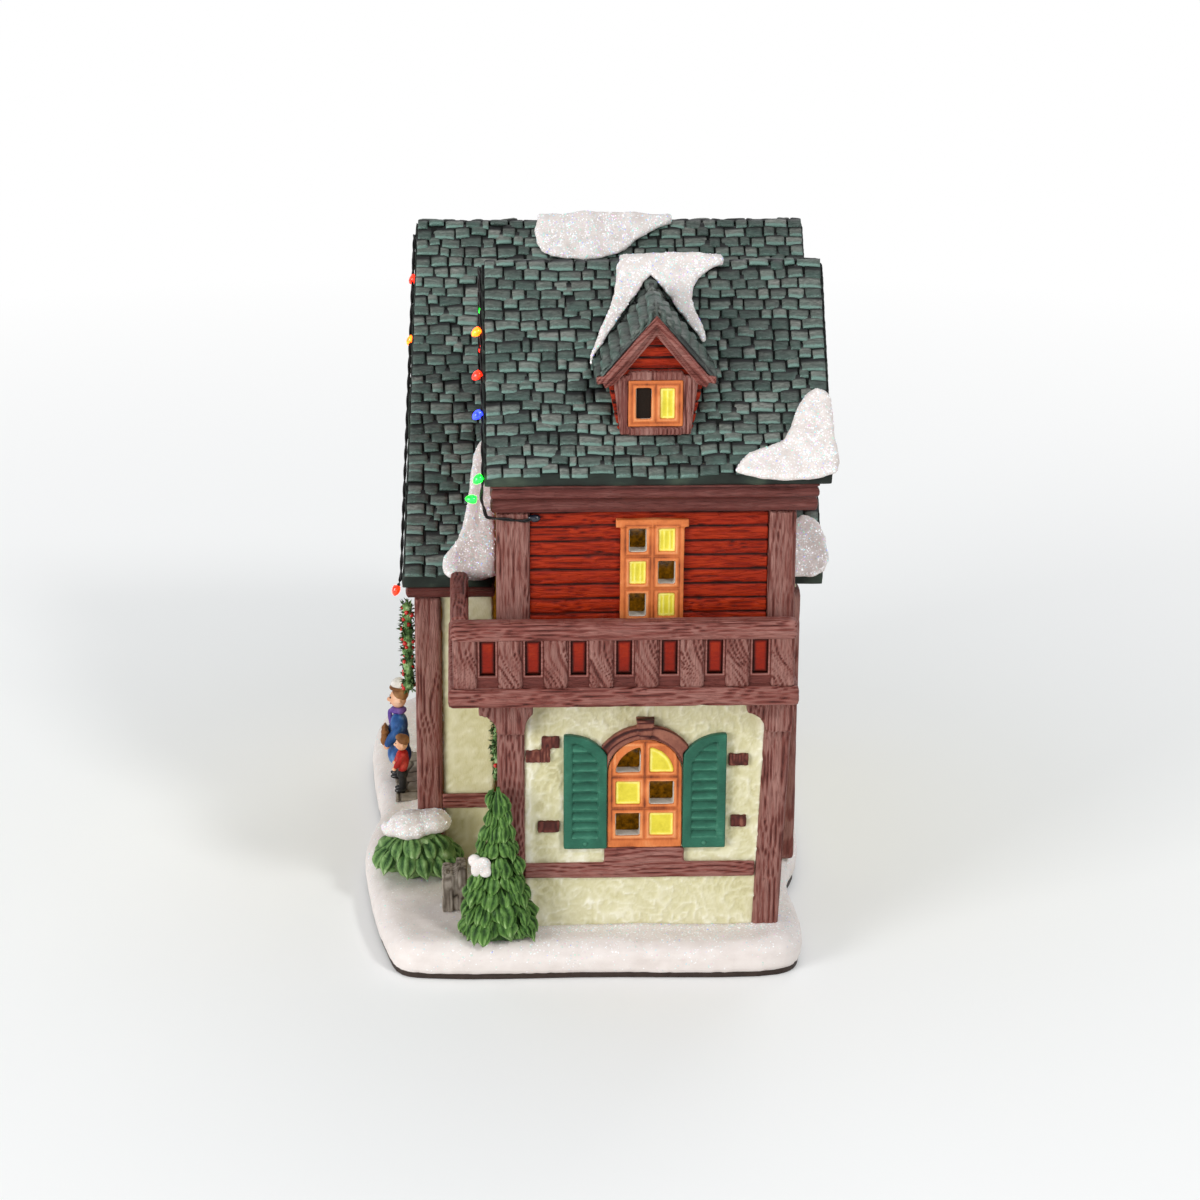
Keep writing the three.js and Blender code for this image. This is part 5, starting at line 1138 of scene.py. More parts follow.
class ShingleRoof:
    """Makes the shingles of all slopes with one tree."""

    GAP = 0.66
    TIP = 1.3

    def __init__(self) -> None:
        """Build the tree."""
        form = NodeForm("shingle_courses")
        keys = ("Columns", "Courses", "Seed")
        columns, courses, seed = (form.input(key, "Int") for key in keys)
        keys = ("Front low", "Front high", "Back low", "Back high", "Pitch", "Start", "Gap")
        front0, front1, back0, back1, pitch, start, gap = (form.input(key, "Float") for key in keys)
        pattern = form.input("Shingle", "Object")
        material = form.input("Finish", "Material")
        count = form.sum("MULTIPLY", columns, courses)
        line = form.add("GeometryNodeMeshLine", {"Count": count})
        index = form.add("GeometryNodeInputIndex").outputs[0]
        row = form.sum("FLOOR", form.sum("DIVIDE", index, columns))
        column = form.sum("SUBTRACT", index, form.sum("MULTIPLY", row, columns))
        share = form.sum("DIVIDE", row, courses)
        low = form.sum("MULTIPLY_ADD", share, form.sum("SUBTRACT", front1, front0), front0)
        high = form.sum("MULTIPLY_ADD", share, form.sum("SUBTRACT", back1, back0), back0)
        length = form.sum("SUBTRACT", high, low)
        bond = form.sum("MULTIPLY", form.sum("MODULO", row, 2.0), 0.45)
        key0 = form.sum("ADD", index, row)

        def draw(least: float, most: float, add: float) -> Socket:
            """Random value for each shingle."""
            return form.chance(least, most, key0, form.sum("ADD", seed, add))

        def joint(add: float) -> Socket:
            """Place of the joint beside a shingle."""
            at = form.sum("ADD", column, add)
            jitter = form.chance(-0.3, 0.3, form.sum("ADD", key0, add), seed)
            inside = form.sum("MULTIPLY", form.sum("GREATER_THAN", at, 0.5),
                              form.sum("LESS_THAN", at, form.sum("SUBTRACT", columns, 0.5)))
            moved = form.sum("MULTIPLY", form.sum("ADD", jitter, form.sum("SUBTRACT", bond, 0.2)), inside)
            place = form.sum("DIVIDE", form.sum("ADD", at, moved), columns, clamp=True)
            return form.sum("MULTIPLY_ADD", place, length, low)

        x0, x1 = joint(0.0), joint(1.0)
        width = form.sum("SUBTRACT", form.sum("SUBTRACT", x1, x0), gap)
        middle = form.sum("MULTIPLY", form.sum("ADD", x0, x1), 0.5)
        short = form.sum("MULTIPLY", form.sum("GREATER_THAN", draw(0.0, 1.0, 13.0), 0.82), 0.3)
        slip = form.sum("MULTIPLY", form.sum("ADD", draw(-0.12, 0.1, 3.0), short), pitch)
        up = form.sum("ADD", form.sum("MULTIPLY_ADD", row, pitch, start), slip)
        place = form.xyz(middle, up, 0.0)
        spot = form.add("GeometryNodeSetPosition", {0: line.outputs[0], "Position": place})
        shape = form.add("GeometryNodeObjectInfo", {0: pattern}).outputs["Geometry"]
        turn = form.xyz(draw(-0.01, 0.06, 5.0), draw(-0.05, 0.05, 15.0), draw(-0.07, 0.07, 7.0))
        size = form.xyz(form.sum("MULTIPLY", width, 1 / MM), 1.0, draw(0.8, 1.3, 9.0))
        tiles = form.add("GeometryNodeInstanceOnPoints", {"Points": spot.outputs[0], "Instance": shape,
                                                           "Rotation": turn, "Scale": size})
        form.close(form.toned(tiles.outputs[0], index, form.sum("ADD", seed, 11.0)), material)
        self.form = form

    @staticmethod
    def shingle(pitch: float, thickness: float) -> Shell:
        """One shingle, a millimetre wide, its butt at y 0 and its tip up the slope."""
        xs = np.array([-0.5, -0.47, -0.3, 0.0, 0.3, 0.47, 0.5])
        ys = np.array([0.0, 0.12, 0.5, 1.1, 2.4, 4.4, 5.3]) / 5.3 * pitch * ShingleRoof.TIP
        x, y = np.meshgrid(xs, ys, indexing="ij")
        rise = thickness * (1 - 0.72 * y / ys[-1])
        round_x = 1 - 0.5 * ease(0.44, 0.5, np.abs(x)) - 0.1 * ease(0.2, 0.46, np.abs(x))
        round_y = 1 - 0.45 * (1 - ease(0.0, 0.35, y))
        top = np.stack([x, y, rise * np.minimum(round_x, round_y) + 0.02], -1).reshape(-1, 3)
        bottom = np.stack([x, y, np.full_like(x, -0.25)], -1).reshape(-1, 3)
        nx, ny = len(xs), len(ys)
        number, (a, b, c, d) = grid(nx, ny)
        quads = [np.stack([a, b, c, d], -1).reshape(-1, 4)]
        under = nx * ny
        ring = np.concatenate([number[:, 0], number[-1, 1:], number[-2::-1, -1], number[0, -2:0:-1]])
        after = np.roll(ring, -1)
        quads.append(np.stack([ring, ring + under, after + under, after], -1))
        corners = [number[0, 0], number[0, -1], number[-1, -1], number[-1, 0]]
        quads.append(np.array([[c + under for c in corners]]))
        shell = Shell(np.vstack([top, bottom]), np.vstack(quads))
        # edge runs from 1 at the butt to 0 up the shingle; the paint turns its high end into a painted
        # highlight and its low end into painted shade.
        edge = 1 - ease(0.0, 1.0, np.concatenate([y.ravel(), y.ravel()]) / (pitch * 1.05))
        shell.marks["edge"] = edge
        return shell

    def lay(self, area: ShingleField) -> bpy.types.Object:
        """Make the shingles of one field."""
        pitch = area.slope.length / area.courses
        span = area.back[0] - area.front[0]
        pattern = template("shingle_pattern", self.shingle(pitch, area.thickness))
        mesh = self.form.run({
            "Columns": max(2, round(span / area.width)), "Courses": area.last - area.first, "Seed": area.seed,
            "Front low": area.front[0] * MM, "Front high": area.front[1] * MM,
            "Back low": area.back[0] * MM, "Back high": area.back[1] * MM,
            "Pitch": pitch * MM, "Start": area.first * pitch * MM, "Gap": self.GAP * MM,
            "Shingle": pattern, "Finish": paint("shingle"),
        })
        local = places_of(mesh).astype(float) / MM
        local[:, 1] += (noise(local, (7, 3, 9), area.seed) - 0.5) * 0.8
        local[:, 2] += (noise(local, (3.0, 3.0, 9), area.seed + 1) - 0.5) * 0.5
        over = np.clip(local[:, 1] - area.slope.length + 0.9, 0, None)
        local[:, 1] = np.minimum(local[:, 1], area.slope.length - 0.15)
        local[:, 2] -= 0.5 * np.minimum(over, 1.6)
        put_places(mesh, (area.slope.onto(local) + SHIFT) * MM)
        if area.slope.way < 0:
            mesh.flip_normals()
        mesh.update()
        drop(pattern)
        return seat(area.name, mesh, [paint("shingle")])


WING_NEAR = Slope((-9.0, 165.5), 37.6)
WING_FAR = Slope((84.2, 165.5), 37.6)
MAIN_NEAR = Slope((42.0, 116.5), 123.3)
MAIN_FAR = Slope((204.6, 116.5), 123.3)


class Roofs:
    """All slopes: shingles over the CAD slabs, whose rims show."""

    def build(self) -> None:
        """Lay the shingles and paint the slabs."""
        roof = ShingleRoof()
        fields = [
            ShingleField("wing_shingles_near", WING_NEAR, 21, 0, 21, (-34.9, -34.9), (69.3, 69.3), 3),
            ShingleField("wing_shingles_far", WING_FAR, 21, 0, 21, (-34.9, -34.9), (69.3, 69.3), 4),
            ShingleField("main_shingles_near_front", MAIN_NEAR, 36, 0, 15, (-61.0, -59.0), (-32.0, -32.0), 5),
            ShingleField("main_shingles_near_back", MAIN_NEAR, 36, 0, 15, (57.0, 57.0), (73.0, 72.8), 6),
            ShingleField("main_shingles_near_upper", MAIN_NEAR, 36, 15, 36, (-59.0, -56.2), (72.8, 72.2), 7),
            ShingleField("main_shingles_far", MAIN_FAR, 36, 0, 36, (-61.0, -56.2), (73.0, 72.2), 8),
        ]
        for area in fields:
            roof.lay(area)
        for node in ("wing_roof_near", "wing_roof_far", "main_roof_near_front", "main_roof_near_back",
                     "main_roof_near_upper", "main_roof_far"):
            self.slab(node)

    @staticmethod
    def slab(node: str) -> None:
        """Slab under the shingles: smooth green rim, and near-black painted shade where the shingles lie."""
        shell = carved([node], 1.25, 2)
        up = shell.normals()[:, 2]
        covered = ease(0.35, 0.55, up)
        bumps = rough_noise(shell.points, (8, 8, 8), 3, 27)
        shell.points = shell.points - np.array([0, 0, 1.0]) * (0.75 * covered)[:, None]
        shell.swell(0.35 * (bumps - 0.4) * (1 - covered))
        shell.relief = np.clip(0.1 + bumps, 0, 1)
        # Faces that the shingles cover are painted near-black: painted shade in the gaps between the
        # shingles.
        shell.tints = (covered[shell.faces].mean(1) > 0.5).astype(int)
        name = node + "_slab"
        seat(name, mesh_from(name, shell), [paint("rim"), paint("under")], [node])


def dress(node: str, finish: str) -> None:
    """Paint a CAD node that stays."""
    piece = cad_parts[node]
    for slot in piece.material_slots:
        slot.material = paint(finish)


# Snow
def house_distance(points: np.ndarray) -> np.ndarray:
    """Distance on the ground from the walls of the house, 0 inside."""
    far = np.full(len(points), 1e9)
    for x0, x1, y0, y1 in (WING_PLAN, MAIN_PLAN):
        dx = np.maximum(np.maximum(x0 - points[:, 0], points[:, 0] - x1), 0)
        dy = np.maximum(np.maximum(y0 - points[:, 1], points[:, 1] - y1), 0)
        far = np.minimum(far, np.hypot(dx, dy))
    return far


@dataclass
class SnowLayer(NodePiece):
    """A piece of snow.

    Attributes:
        voxel: size of its faces.
        swell: how far it is puffed up.
        rounds: how often it is evened out.
        grains: grains of glitter for each square millimetre.
    """

    voxel: float = 0.7
    swell: float = 0.5
    rounds: int = 6
    grains: float = 1.5

    def build(self) -> None:
        """Make the rounded lump with frost along its edges."""
        shell = carved([self.node], self.voxel, self.rounds)
        lift = shell.normals()
        bumps = rough_noise(shell.points, (5, 5, 5), 3, 11) - 0.35
        shell.points = shell.points + lift * (self.swell * bumps * 2)[:, None]
        fine = rough_noise(shell.points, (1.6, 1.6, 1.6), 2, 12)
        shell.points = shell.points + lift * ((fine - 0.5) * 0.3)[:, None]
        shell.relief = np.clip(0.45 + 0.9 * (bumps + fine - 0.6), 0, 1)
        shell.marks["frost"] = np.clip(0.35 + 0.5 * (1 - np.abs(lift[:, 2])) + (fine - 0.5), 0, 1)
        frosted(self.name, shell, [self.node], self.grains)


class SnowBase:
    """The snowy ground with its smooth brushed edge and its drifts."""

    def build(self) -> None:
        """Make the ground."""
        shell = carved(["snow_base"], 1.45, 3)
        normal = shell.normals()
        up = np.clip(normal[:, 2], 0, 1)
        away = house_distance(shell.points)
        foot = 1 - ease(0.0, 3.0, shell.points[:, 2] - limits("snow_base")[0][2])
        shell.points[:, 2] -= 1.3 * foot * ease(4.0, 8.0, away)
        drift = 1.5 * np.exp(-away / 2.6) * (away > 0.01)
        roll = (rough_noise(shell.points, (14, 14, 14), 3, 21) - 0.5) * 1.5
        fine = rough_noise(shell.points, (2.2, 2.2, 2.2), 3, 22) - 0.5
        strokes = noise(shell.points, (16, 16, 1.4), 23) - 0.5
        side = np.clip(1 - np.abs(normal[:, 2]) * 2, 0, 1)
        move = np.array([0, 0, 1.0]) * ((drift + roll + 0.25) * up ** 2)[:, None]
        shell.points = shell.points + move + normal * (0.45 * fine + 0.35 * strokes * side - 0.2)[:, None]
        shell.relief = np.clip(0.55 + 0.7 * fine + 0.5 * strokes * side + 0.12 * roll, 0, 1)
        near = np.exp(-away / 6.0)
        shell.marks["frost"] = np.clip((0.1 + 0.95 * near) * (0.25 + 0.75 * up) + 0.5 * fine, 0, 1)
        frosted("snow_ground", shell, ["snow_base"], 0.28)


# Walls
@dataclass
class WingFace:
    """The wing's near face: plaster below the balcony and red boards above it."""

    step: float = 0.58
    arch_panes: tuple[tuple[float, float, float, float], ...] = (
        (4.7, 13.45, 65.3, 77.5), (15.25, 24.0, 54.5, 63.3), (4.7, 13.45, 43.7, 52.5))
    tall_panes: tuple[tuple[float, float, float, float], ...] = (
        (8.3, 14.6, 138.5, 147.0), (17.2, 23.5, 128.0, 136.5), (8.3, 14.6, 117.5, 126.0))
    stones: tuple[tuple[float, float, float, float], ...] = (
        (-18.3, -12.3, 73.9, 78.1), (-23.2, -15.2, 69.2, 73.5), (-19.5, -12.3, 45.2, 49.3),
        (40.4, 47.0, 67.4, 71.6), (41.5, 46.7, 46.4, 50.6))

    def open_at(self, panes: Sequence[tuple[float, float, float, float]], u: np.ndarray,
                v: np.ndarray) -> np.ndarray:
        """Tell where none of the panes is."""
        clear = np.ones(u.shape, bool)
        for x0, x1, z0, z1 in panes:
            clear &= ~((u > x0) & (u < x1) & (v > z0) & (v < z1))
        return clear

    def build(self) -> None:
        """Make both walls and the facing stones."""
        low, high = limits("wing_wall_lower")
        us = np.arange(low[0] + 0.1, high[0] + 1.6, self.step)
        vs = np.arange(low[2], high[2], self.step)

        def plastered(points: np.ndarray) -> np.ndarray:
            """Plaster with a raised rim along the posts and the ground."""
            edge = np.minimum(points[:, 0] - us[0], us[-1] - points[:, 0])
            rim = np.exp(-((edge - 1.5) / 1.3) ** 2)
            return plaster(points) + 0.4 * rim

        wall = relief_slab(Side.NEAR, 0.35, us, vs, 3.3, lambda u, v: self.open_at(self.arch_panes, u, v),
                           plastered, 0.9)
        place_shell("wing_plaster", wall, paint("stucco"), ["wing_wall_lower"])
        low, high = limits("wing_wall_upper")
        us = np.arange(low[0], high[0] + 0.01, self.step)
        vs = np.arange(low[2], high[2] + 0.01, self.step)
        wall = relief_slab(Side.NEAR, 0.2, us, vs, 3.2, lambda u, v: self.open_at(self.tall_panes, u, v),
                           lambda p: boards(p, BOARD, 118.6), 0.8)
        place_shell("wing_boards", wall, paint("boards"), ["wing_wall_upper"])
        blocks = []
        for x0, x1, z0, z1 in self.stones:
            blocks.append(soft_block((x0, -1.2, z0), (x1, 1.0, z1), 0.5))
        stones = evenly(joined(blocks), 0.35, 1)
        stones.carve(stone_face(stones.points), 0.35)
        place_shell("facing_stones", stones, paint("arch"))


@dataclass
class PlainWall(NodePiece):
    """A wall of the other sides: plaster, red boards above the deck, posts and framed openings.

    Attributes:
        windows: middle along the wall and sill height of each framed opening.
        along: 0 where the wall runs along x, 1 along y.
        face: outer face along the other direction.
        out: 1 or -1, where the outside is.
        boarded: height above which it is boarded.
        posts: limits along the wall of the timber posts.
        voxel: size of its faces.
    """

    windows: tuple[tuple[float, float], ...] = ()
    along: int = 1
    face: float = MAIN_PLAN[0]
    out: int = -1
    boarded: float = 1e9
    posts: tuple[tuple[float, float], ...] = ()
    voxel: float = 1.4

    def build(self) -> None:
        """Make the wall of an even copy, with a finish for each region."""
        shell = carved([self.node], self.voxel, 1)
        points = shell.points
        u, z = points[:, self.along], points[:, 2]
        proud = (points[:, 1 - self.along] - self.face) * self.out
        outside = ease(-2.0, -1.2, proud)
        low, high = (edge[self.along] for edge in limits(self.node))
        at_end = (u < low + 0.9) | (u > high - 0.9)
        normal = shell.normals()
        ahead = normal[:, 1 - self.along] * self.out
        aside = normal[:, self.along] * np.sign(u - (low + high) / 2)
        outside = np.where(at_end | (ahead > 0.5) | (aside > 0.5), 1.0, outside)
        frames = np.zeros(len(points), bool)
        for middle, sill in self.windows:
            inside = (np.abs(u - middle) < 7.8) & (z > sill - 0.4) & (z < sill + 17.4)
            frames |= inside & (proud > 0.5) | (inside & (np.abs(u - middle) < 6.0) & (proud > -3.2))
        post = np.zeros(len(points), bool)
        for low, high in self.posts:
            post |= (u > low - 0.3) & (u < high + 0.3) & ((proud > 0.5) | at_end)
        board = (z > self.boarded) & ~frames & ~post
        relief = plaster(points, 41 + len(self.name))
        turned = points[:, [1, 0, 2]] if self.along else points
        relief = np.where(board, boards(turned, BOARD, DECK, 43), relief)
        relief = np.where(post, wood(points, Grain.ALONG_Z, 1.5, 44), relief)
        relief = np.where(frames, np.clip(0.35 + 0.6 * rough_noise(points, (4, 4, 4), 3, 45), 0, 1), relief)
        shell.carve(1 - (1 - relief) * outside, 0.8)
        shell.relief = np.clip(relief, 0, 1)
        kinds = np.select([frames, post, board], [1, 2, 3], 0)
        # Faces hidden inside the house take the inside finish, a dim glow of painted lamplight.
        hidden = (outside < 0.4)[shell.faces].all(axis=1)
        shell.tints = np.where(hidden, 4, kinds[shell.faces].max(axis=1)).astype(int)
        names = ("stucco", "orange", "post", "boards", "inside", "pane")
        panes = [self.plate(middle, sill, closed)
                 for middle, sill in self.windows for closed in (False, True)]
        tints = [shell.tints] + [np.full(len(pane.faces), 4 + k % 2) for k, pane in enumerate(panes)]
        shell = merged([shell, *panes])
        shell.tints = np.concatenate(tints)
        seat(self.name, mesh_from(self.name, shell), [paint(n) for n in names], [self.node])

    def plate(self, middle: float, sill: float, closed: bool) -> Shell:
        """Plates behind a window: two closed panes, or the one behind them all, which glows dimly as painted
        lamplight.
        """
        spans = [(-5.6, 5.6, 1.5, 15.5, -2.9, -2.3)]
        if closed:
            spans = [(-5.6, -0.2, 8.6, 15.5, -2.3, -1.4), (0.2, 5.6, 1.5, 8.3, -2.3, -1.4)]
        blocks = []
        for u0, u1, z0, z1, back, front in spans:
            depth = sorted((self.face + self.out * back, self.face + self.out * front))
            low, high = [middle + u0, depth[0], sill + z0], [middle + u1, depth[1], sill + z1]
            if self.along:
                low[:2], high[:2] = low[1::-1], high[1::-1]
            blocks.append(soft_block(low, high, 0.2))
        return evenly(joined(blocks), 0.5, 0)


class PlainWalls:
    """All walls but the wing's near face, with the front door."""

    SILL, UPPER_SILL = 52.0, 128.0

    def gable(self, aside: float) -> tuple[tuple[float, float], ...]:
        """Three windows of a gable, the first so far from its middle."""
        middle = MAIN_NEAR.ridge
        return (middle - aside, self.SILL), (middle + 38, self.SILL), (middle, self.UPPER_SILL)

    def build(self) -> None:
        """Make them."""
        front, back, near, far = MAIN_PLAN
        PlainWall("front_gable", "main_front_wall", self.gable(38), 1, front).build()
        PlainWall("back_gable", "main_back_wall", self.gable(24), 1, back, 1, posts=((48.5, 56.7),)).build()
        PlainWall("far_side", "main_far_wall", ((-24.4, self.SILL), (35.9, self.SILL)), 0, far, 1,
                  posts=((-57.7, -49.5), (59.3, 67.5))).build()
        PlainWall("near_side", "main_near_wall", (), 0, near).build()
        PlainWall("wing_front_side", "wing_front_wall", (), 1, WING_PLAN[0], -1, DECK).build()
        PlainWall("wing_back_side", "wing_back_wall", (), 1, WING_PLAN[1], 1, DECK).build()
        door = carved(["front_door"], 0.4, 1).swell(0.15)
        door.carve(wood(door.points, Grain.ALONG_Z, 1.6, 46), 0.4)
        place_shell("door_leaf", door, paint("door"), ["front_door"])


# Timber
@dataclass
class Timber:
    """A carved timber piece.

    Attributes:
        name: name of the piece.
        nodes: CAD nodes that it stands for.
        way: direction of its grain.
        voxel: size of its faces.
        depth: depth of the grain.
        pitch: distance of the grain lines.
        seed: picks the grain.
    """

    name: str
    nodes: tuple[str, ...]
    way: Grain
    voxel: float = 0.5
    depth: float = 0.55
    pitch: float = 1.5
    seed: int = 1

    def build(self) -> None:
        """Carve the grain into an even copy of the CAD piece."""
        shell = carved(self.nodes, self.voxel, 1).swell(0.4 * self.depth)
        name = "post" if self.way is Grain.ALONG_Z else "rail"
        name = "moulding" if "moulding" in self.name else name
        relief = wood(shell.points, self.way, self.pitch, self.seed)
        if name == "moulding":
            hollow = self.profile(shell.points[:, 2] - limits(self.nodes[0])[0][2])
            shell.points = shell.points - shell.normals() * hollow[:, None] * (1.3, 1.3, 0)
            relief = np.clip(0.25 * relief + 0.55 * (1 - hollow), 0, 1)
        shell.carve(relief, self.depth)
        place_shell(self.name, shell, paint(name), self.nodes)

    @staticmethod
    def profile(rise: np.ndarray, lower: float = 5.4, upper: float = 4.0) -> np.ndarray:
        """How far a moulding of two rounded steps is hollowed, from its height above the lower edge."""
        share = np.where(rise < lower, rise / lower, (rise - lower) / upper)
        hollow = 1 - np.sqrt(np.clip(1 - (2 * np.clip(share, 0, 1) - 1) ** 2, 0, 1))
        return np.where(rise < lower + upper, hollow, 0.0)


class Timbers:
    """Posts, beams, rails and mouldings."""

    def build(self) -> None:
        """Carve them all."""
        pieces = [
            Timber("wing_post_front_carved", ("wing_post_front",), Grain.ALONG_Z, 0.5, seed=31),
            Timber("wing_post_back_carved", ("wing_post_back",), Grain.ALONG_Z, 0.5, seed=32),
            Timber("main_post_carved", ("main_post_near",), Grain.ALONG_Z, 0.5, seed=33),
            Timber("balcony_beam", ("balcony_deck",), Grain.ALONG_X, 0.62, seed=34),
            Timber("wing_moulding", ("wing_cornice",), Grain.ALONG_X, 0.45, 0.25, 1.2, 37),
            Timber("main_moulding", ("main_cornice",), Grain.ALONG_X, 0.45, 0.25, 1.2, 38),
            Timber("wing_beam", ("wing_timber",), Grain.ALONG_X, 0.45, 0.4, seed=39),
            Timber("main_beam", ("main_timber",), Grain.ALONG_X, 0.45, 0.4, seed=40),
        ]
        for piece in pieces:
            piece.build()


# Plain pieces
class PlainPieces:
    """CAD nodes that stay as they are, with their finishes."""

    FINISHES = {
        "plastic": ("base_plate", "battery_door", "switch_body", "switch_knob"),
        "box": ("battery_box",),
        "metal": ("base_screw_front", "base_screw_back", "battery_contact_bridge",
                  "battery_contact_plus", "battery_contact_minus"),
        "lamp": ("lamp_bulb",),
    }

    def build(self) -> None:
        """Paint them."""
        for finish, nodes in self.FINISHES.items():
            for node in nodes:
                dress(node, finish)


# Repeated pieces
def gathered(mesh: bpy.types.Mesh, piece: bpy.types.Object, names: Sequence[str]) -> Shell:
    """Shell of what a tree made, with its named marks; the mesh and the template are removed."""
    shell = shell_from(mesh)
    shell.relief = read_mark(mesh, "relief")
    shell.marks = {name: read_mark(mesh, name) for name in names}
    drop(piece)
    bpy.data.meshes.remove(mesh)
    return shell


class Repeater:
    """Repeats a template on marked points with one tree."""

    def __init__(self) -> None:
        """Build the tree."""
        form = NodeForm("pieces_on_points")
        start = form.input("Geometry", "Geometry")
        pattern = form.input("Piece", "Object")
        material = form.input("Finish", "Material")
        shape = form.add("GeometryNodeObjectInfo", {0: pattern}).outputs["Geometry"]
        size, turn = (self.vector(form, name) for name in ("size", "turn"))
        pieces = form.add("GeometryNodeInstanceOnPoints", {"Points": start, "Instance": shape,
                                                            "Rotation": turn, "Scale": size})
        form.close(pieces.outputs[0], material)
        self.form = form

    @staticmethod
    def vector(form: NodeForm, name: str) -> Socket:
        """Vector kept under a name on the points."""
        node = form.add("GeometryNodeInputNamedAttribute", {"Name": name}, data_type="FLOAT_VECTOR")
        return node.outputs["Attribute"]

    def repeat(self, pattern: Shell, places: np.ndarray, size: np.ndarray, turn: np.ndarray) -> Shell:
        """Put the pattern on every place.

        Args:
            pattern: shell round its own origin, in millimetres.
            places: n by 3 places of the building.
            size: n by 3 scales.
            turn: n by 3 angles in radians.

        Returns:
            All copies as one shell.
        """
        start = bpy.data.meshes.new("places")
        start.vertices.add(len(places))
        put_places(start, (places + SHIFT) * MM)
        for name, values in (("size", size), ("turn", turn)):
            layer = start.attributes.new(name, "FLOAT_VECTOR", "POINT")
            layer.data.foreach_set("vector", np.asarray(values, np.float32).ravel())
        piece = template("pattern", pattern)
        mesh = self.form.run({"Piece": piece, "Finish": paint("plastic")}, start)
        return gathered(mesh, piece, list(pattern.marks))


class Scatter:
    """Strews a template over a surface with one tree."""

    def __init__(self) -> None:
        """Build the tree."""
        form = NodeForm("strewn_pieces")
        start = form.input("Geometry", "Geometry")
        pattern = form.input("Piece", "Object")
        material = form.input("Finish", "Material")
        density = form.input("Density", "Float")
        small, large = form.input("Smallest", "Float"), form.input("Largest", "Float")
        tilt = form.input("Tilt", "Float")
        seed = form.input("Seed", "Int")
        dense = form.add("GeometryNodeInputNamedAttribute", {"Name": "dense"}, data_type="FLOAT")
        share = form.sum("MULTIPLY", dense.outputs["Attribute"], density)
        spots = form.add("GeometryNodeDistributePointsOnFaces", {"Mesh": start, "Seed": seed})
        form.tree.links.new(share, spots.inputs["Density"])
        shape = form.add("GeometryNodeObjectInfo", {0: pattern}).outputs["Geometry"]
        index = form.add("GeometryNodeInputIndex").outputs[0]
        lean = form.sum("MULTIPLY", form.chance(-1.0, 1.0, index, seed), tilt)
        lean2 = form.sum("MULTIPLY", form.chance(-1.0, 1.0, index, form.sum("ADD", seed, 1.0)), tilt)
        spin = form.chance(0.0, 6.283, index, form.sum("ADD", seed, 2.0))
        turn = form.add("FunctionNodeRotateRotation", {"Rotation": spots.outputs["Rotation"],
                                                       "Rotate By": form.xyz(lean, lean2, spin)},
                        rotation_space="LOCAL")
        chance = form.chance(0.0, 1.0, index, form.sum("ADD", seed, 4.0))
        size = form.sum("MULTIPLY_ADD", chance, form.sum("SUBTRACT", large, small), small)
        pieces = form.add("GeometryNodeInstanceOnPoints", {
            "Points": spots.outputs["Points"], "Instance": shape, "Rotation": turn.outputs[0],
            "Scale": form.xyz(size, size, size)})
        form.close(form.toned(pieces.outputs[0], index, form.sum("ADD", seed, 6.0)), material)
        self.form = form

    def strew(self, ground: Shell, dense: np.ndarray, pattern: Shell, density: float,
              sizes: tuple[float, float], tilt: float, seed: int) -> Shell:
        """Strew the pattern over a shell.

        Args:
            ground: shell to strew on.
            dense: share of the density at each of its points.
            pattern: shell round its own origin, its Z away from the ground.
            density: pieces for each square millimetre.
            sizes: smallest and largest scale.
            tilt: how far a piece may lean, in radians.
            seed: picks the places.

        Returns:
            All pieces as one shell.
        """
        start = mesh_from("ground", Shell(ground.points, ground.faces, None, {"dense": dense}))
        piece = template("pattern", pattern)
        mesh = self.form.run({"Piece": piece, "Finish": paint("plastic"), "Density": density / MM ** 2,
                              "Smallest": sizes[0], "Largest": sizes[1], "Tilt": tilt, "Seed": seed}, start)
        return gathered(mesh, piece, ["tone"])


@cache
def repeater() -> Repeater:
    """The one repeater, made at its first use."""
    return Repeater()


@cache
def scatter() -> Scatter:
    """The one scatter, made at its first use."""
    return Scatter()


def flake() -> Shell:
    """A grain of glitter: a flat square."""
    points = np.array([[-0.5, -0.5, 0.02], [0.5, -0.5, 0.02], [0.5, 0.5, 0.02], [-0.5, 0.5, 0.02],
                       [-0.5, -0.5, -0.1], [0.5, -0.5, -0.1], [0.5, 0.5, -0.1], [-0.5, 0.5, -0.1]])
    faces = np.array([[0, 1, 2, 3], [7, 6, 5, 4], [0, 4, 5, 1], [1, 5, 6, 2], [2, 6, 7, 3], [3, 7, 4, 0]])
    return Shell(points, faces, np.full(8, 0.6))


def frosted(name: str, shell: Shell, nodes: Sequence[str], density: float) -> bpy.types.Object:
    """Snow piece with grains of glitter on it.

    Args:
        name: name of the piece.
        shell: its shell, with the mark frost.
        nodes: CAD nodes that it stands for.
        density: grains for each square millimetre where it is frosted most.

    Returns:
        The new object.
    """
    up = shell.normals()[:, 2]
    dense = shell.marks["frost"] * np.clip(0.4 + up, 0, 1)
    grains = scatter().strew(shell, dense, flake(), density, (0.22, 0.52), 0.7, 131 + len(name))
    return tinted(name, [(shell, "snow"), (grains, "glitter")], nodes)


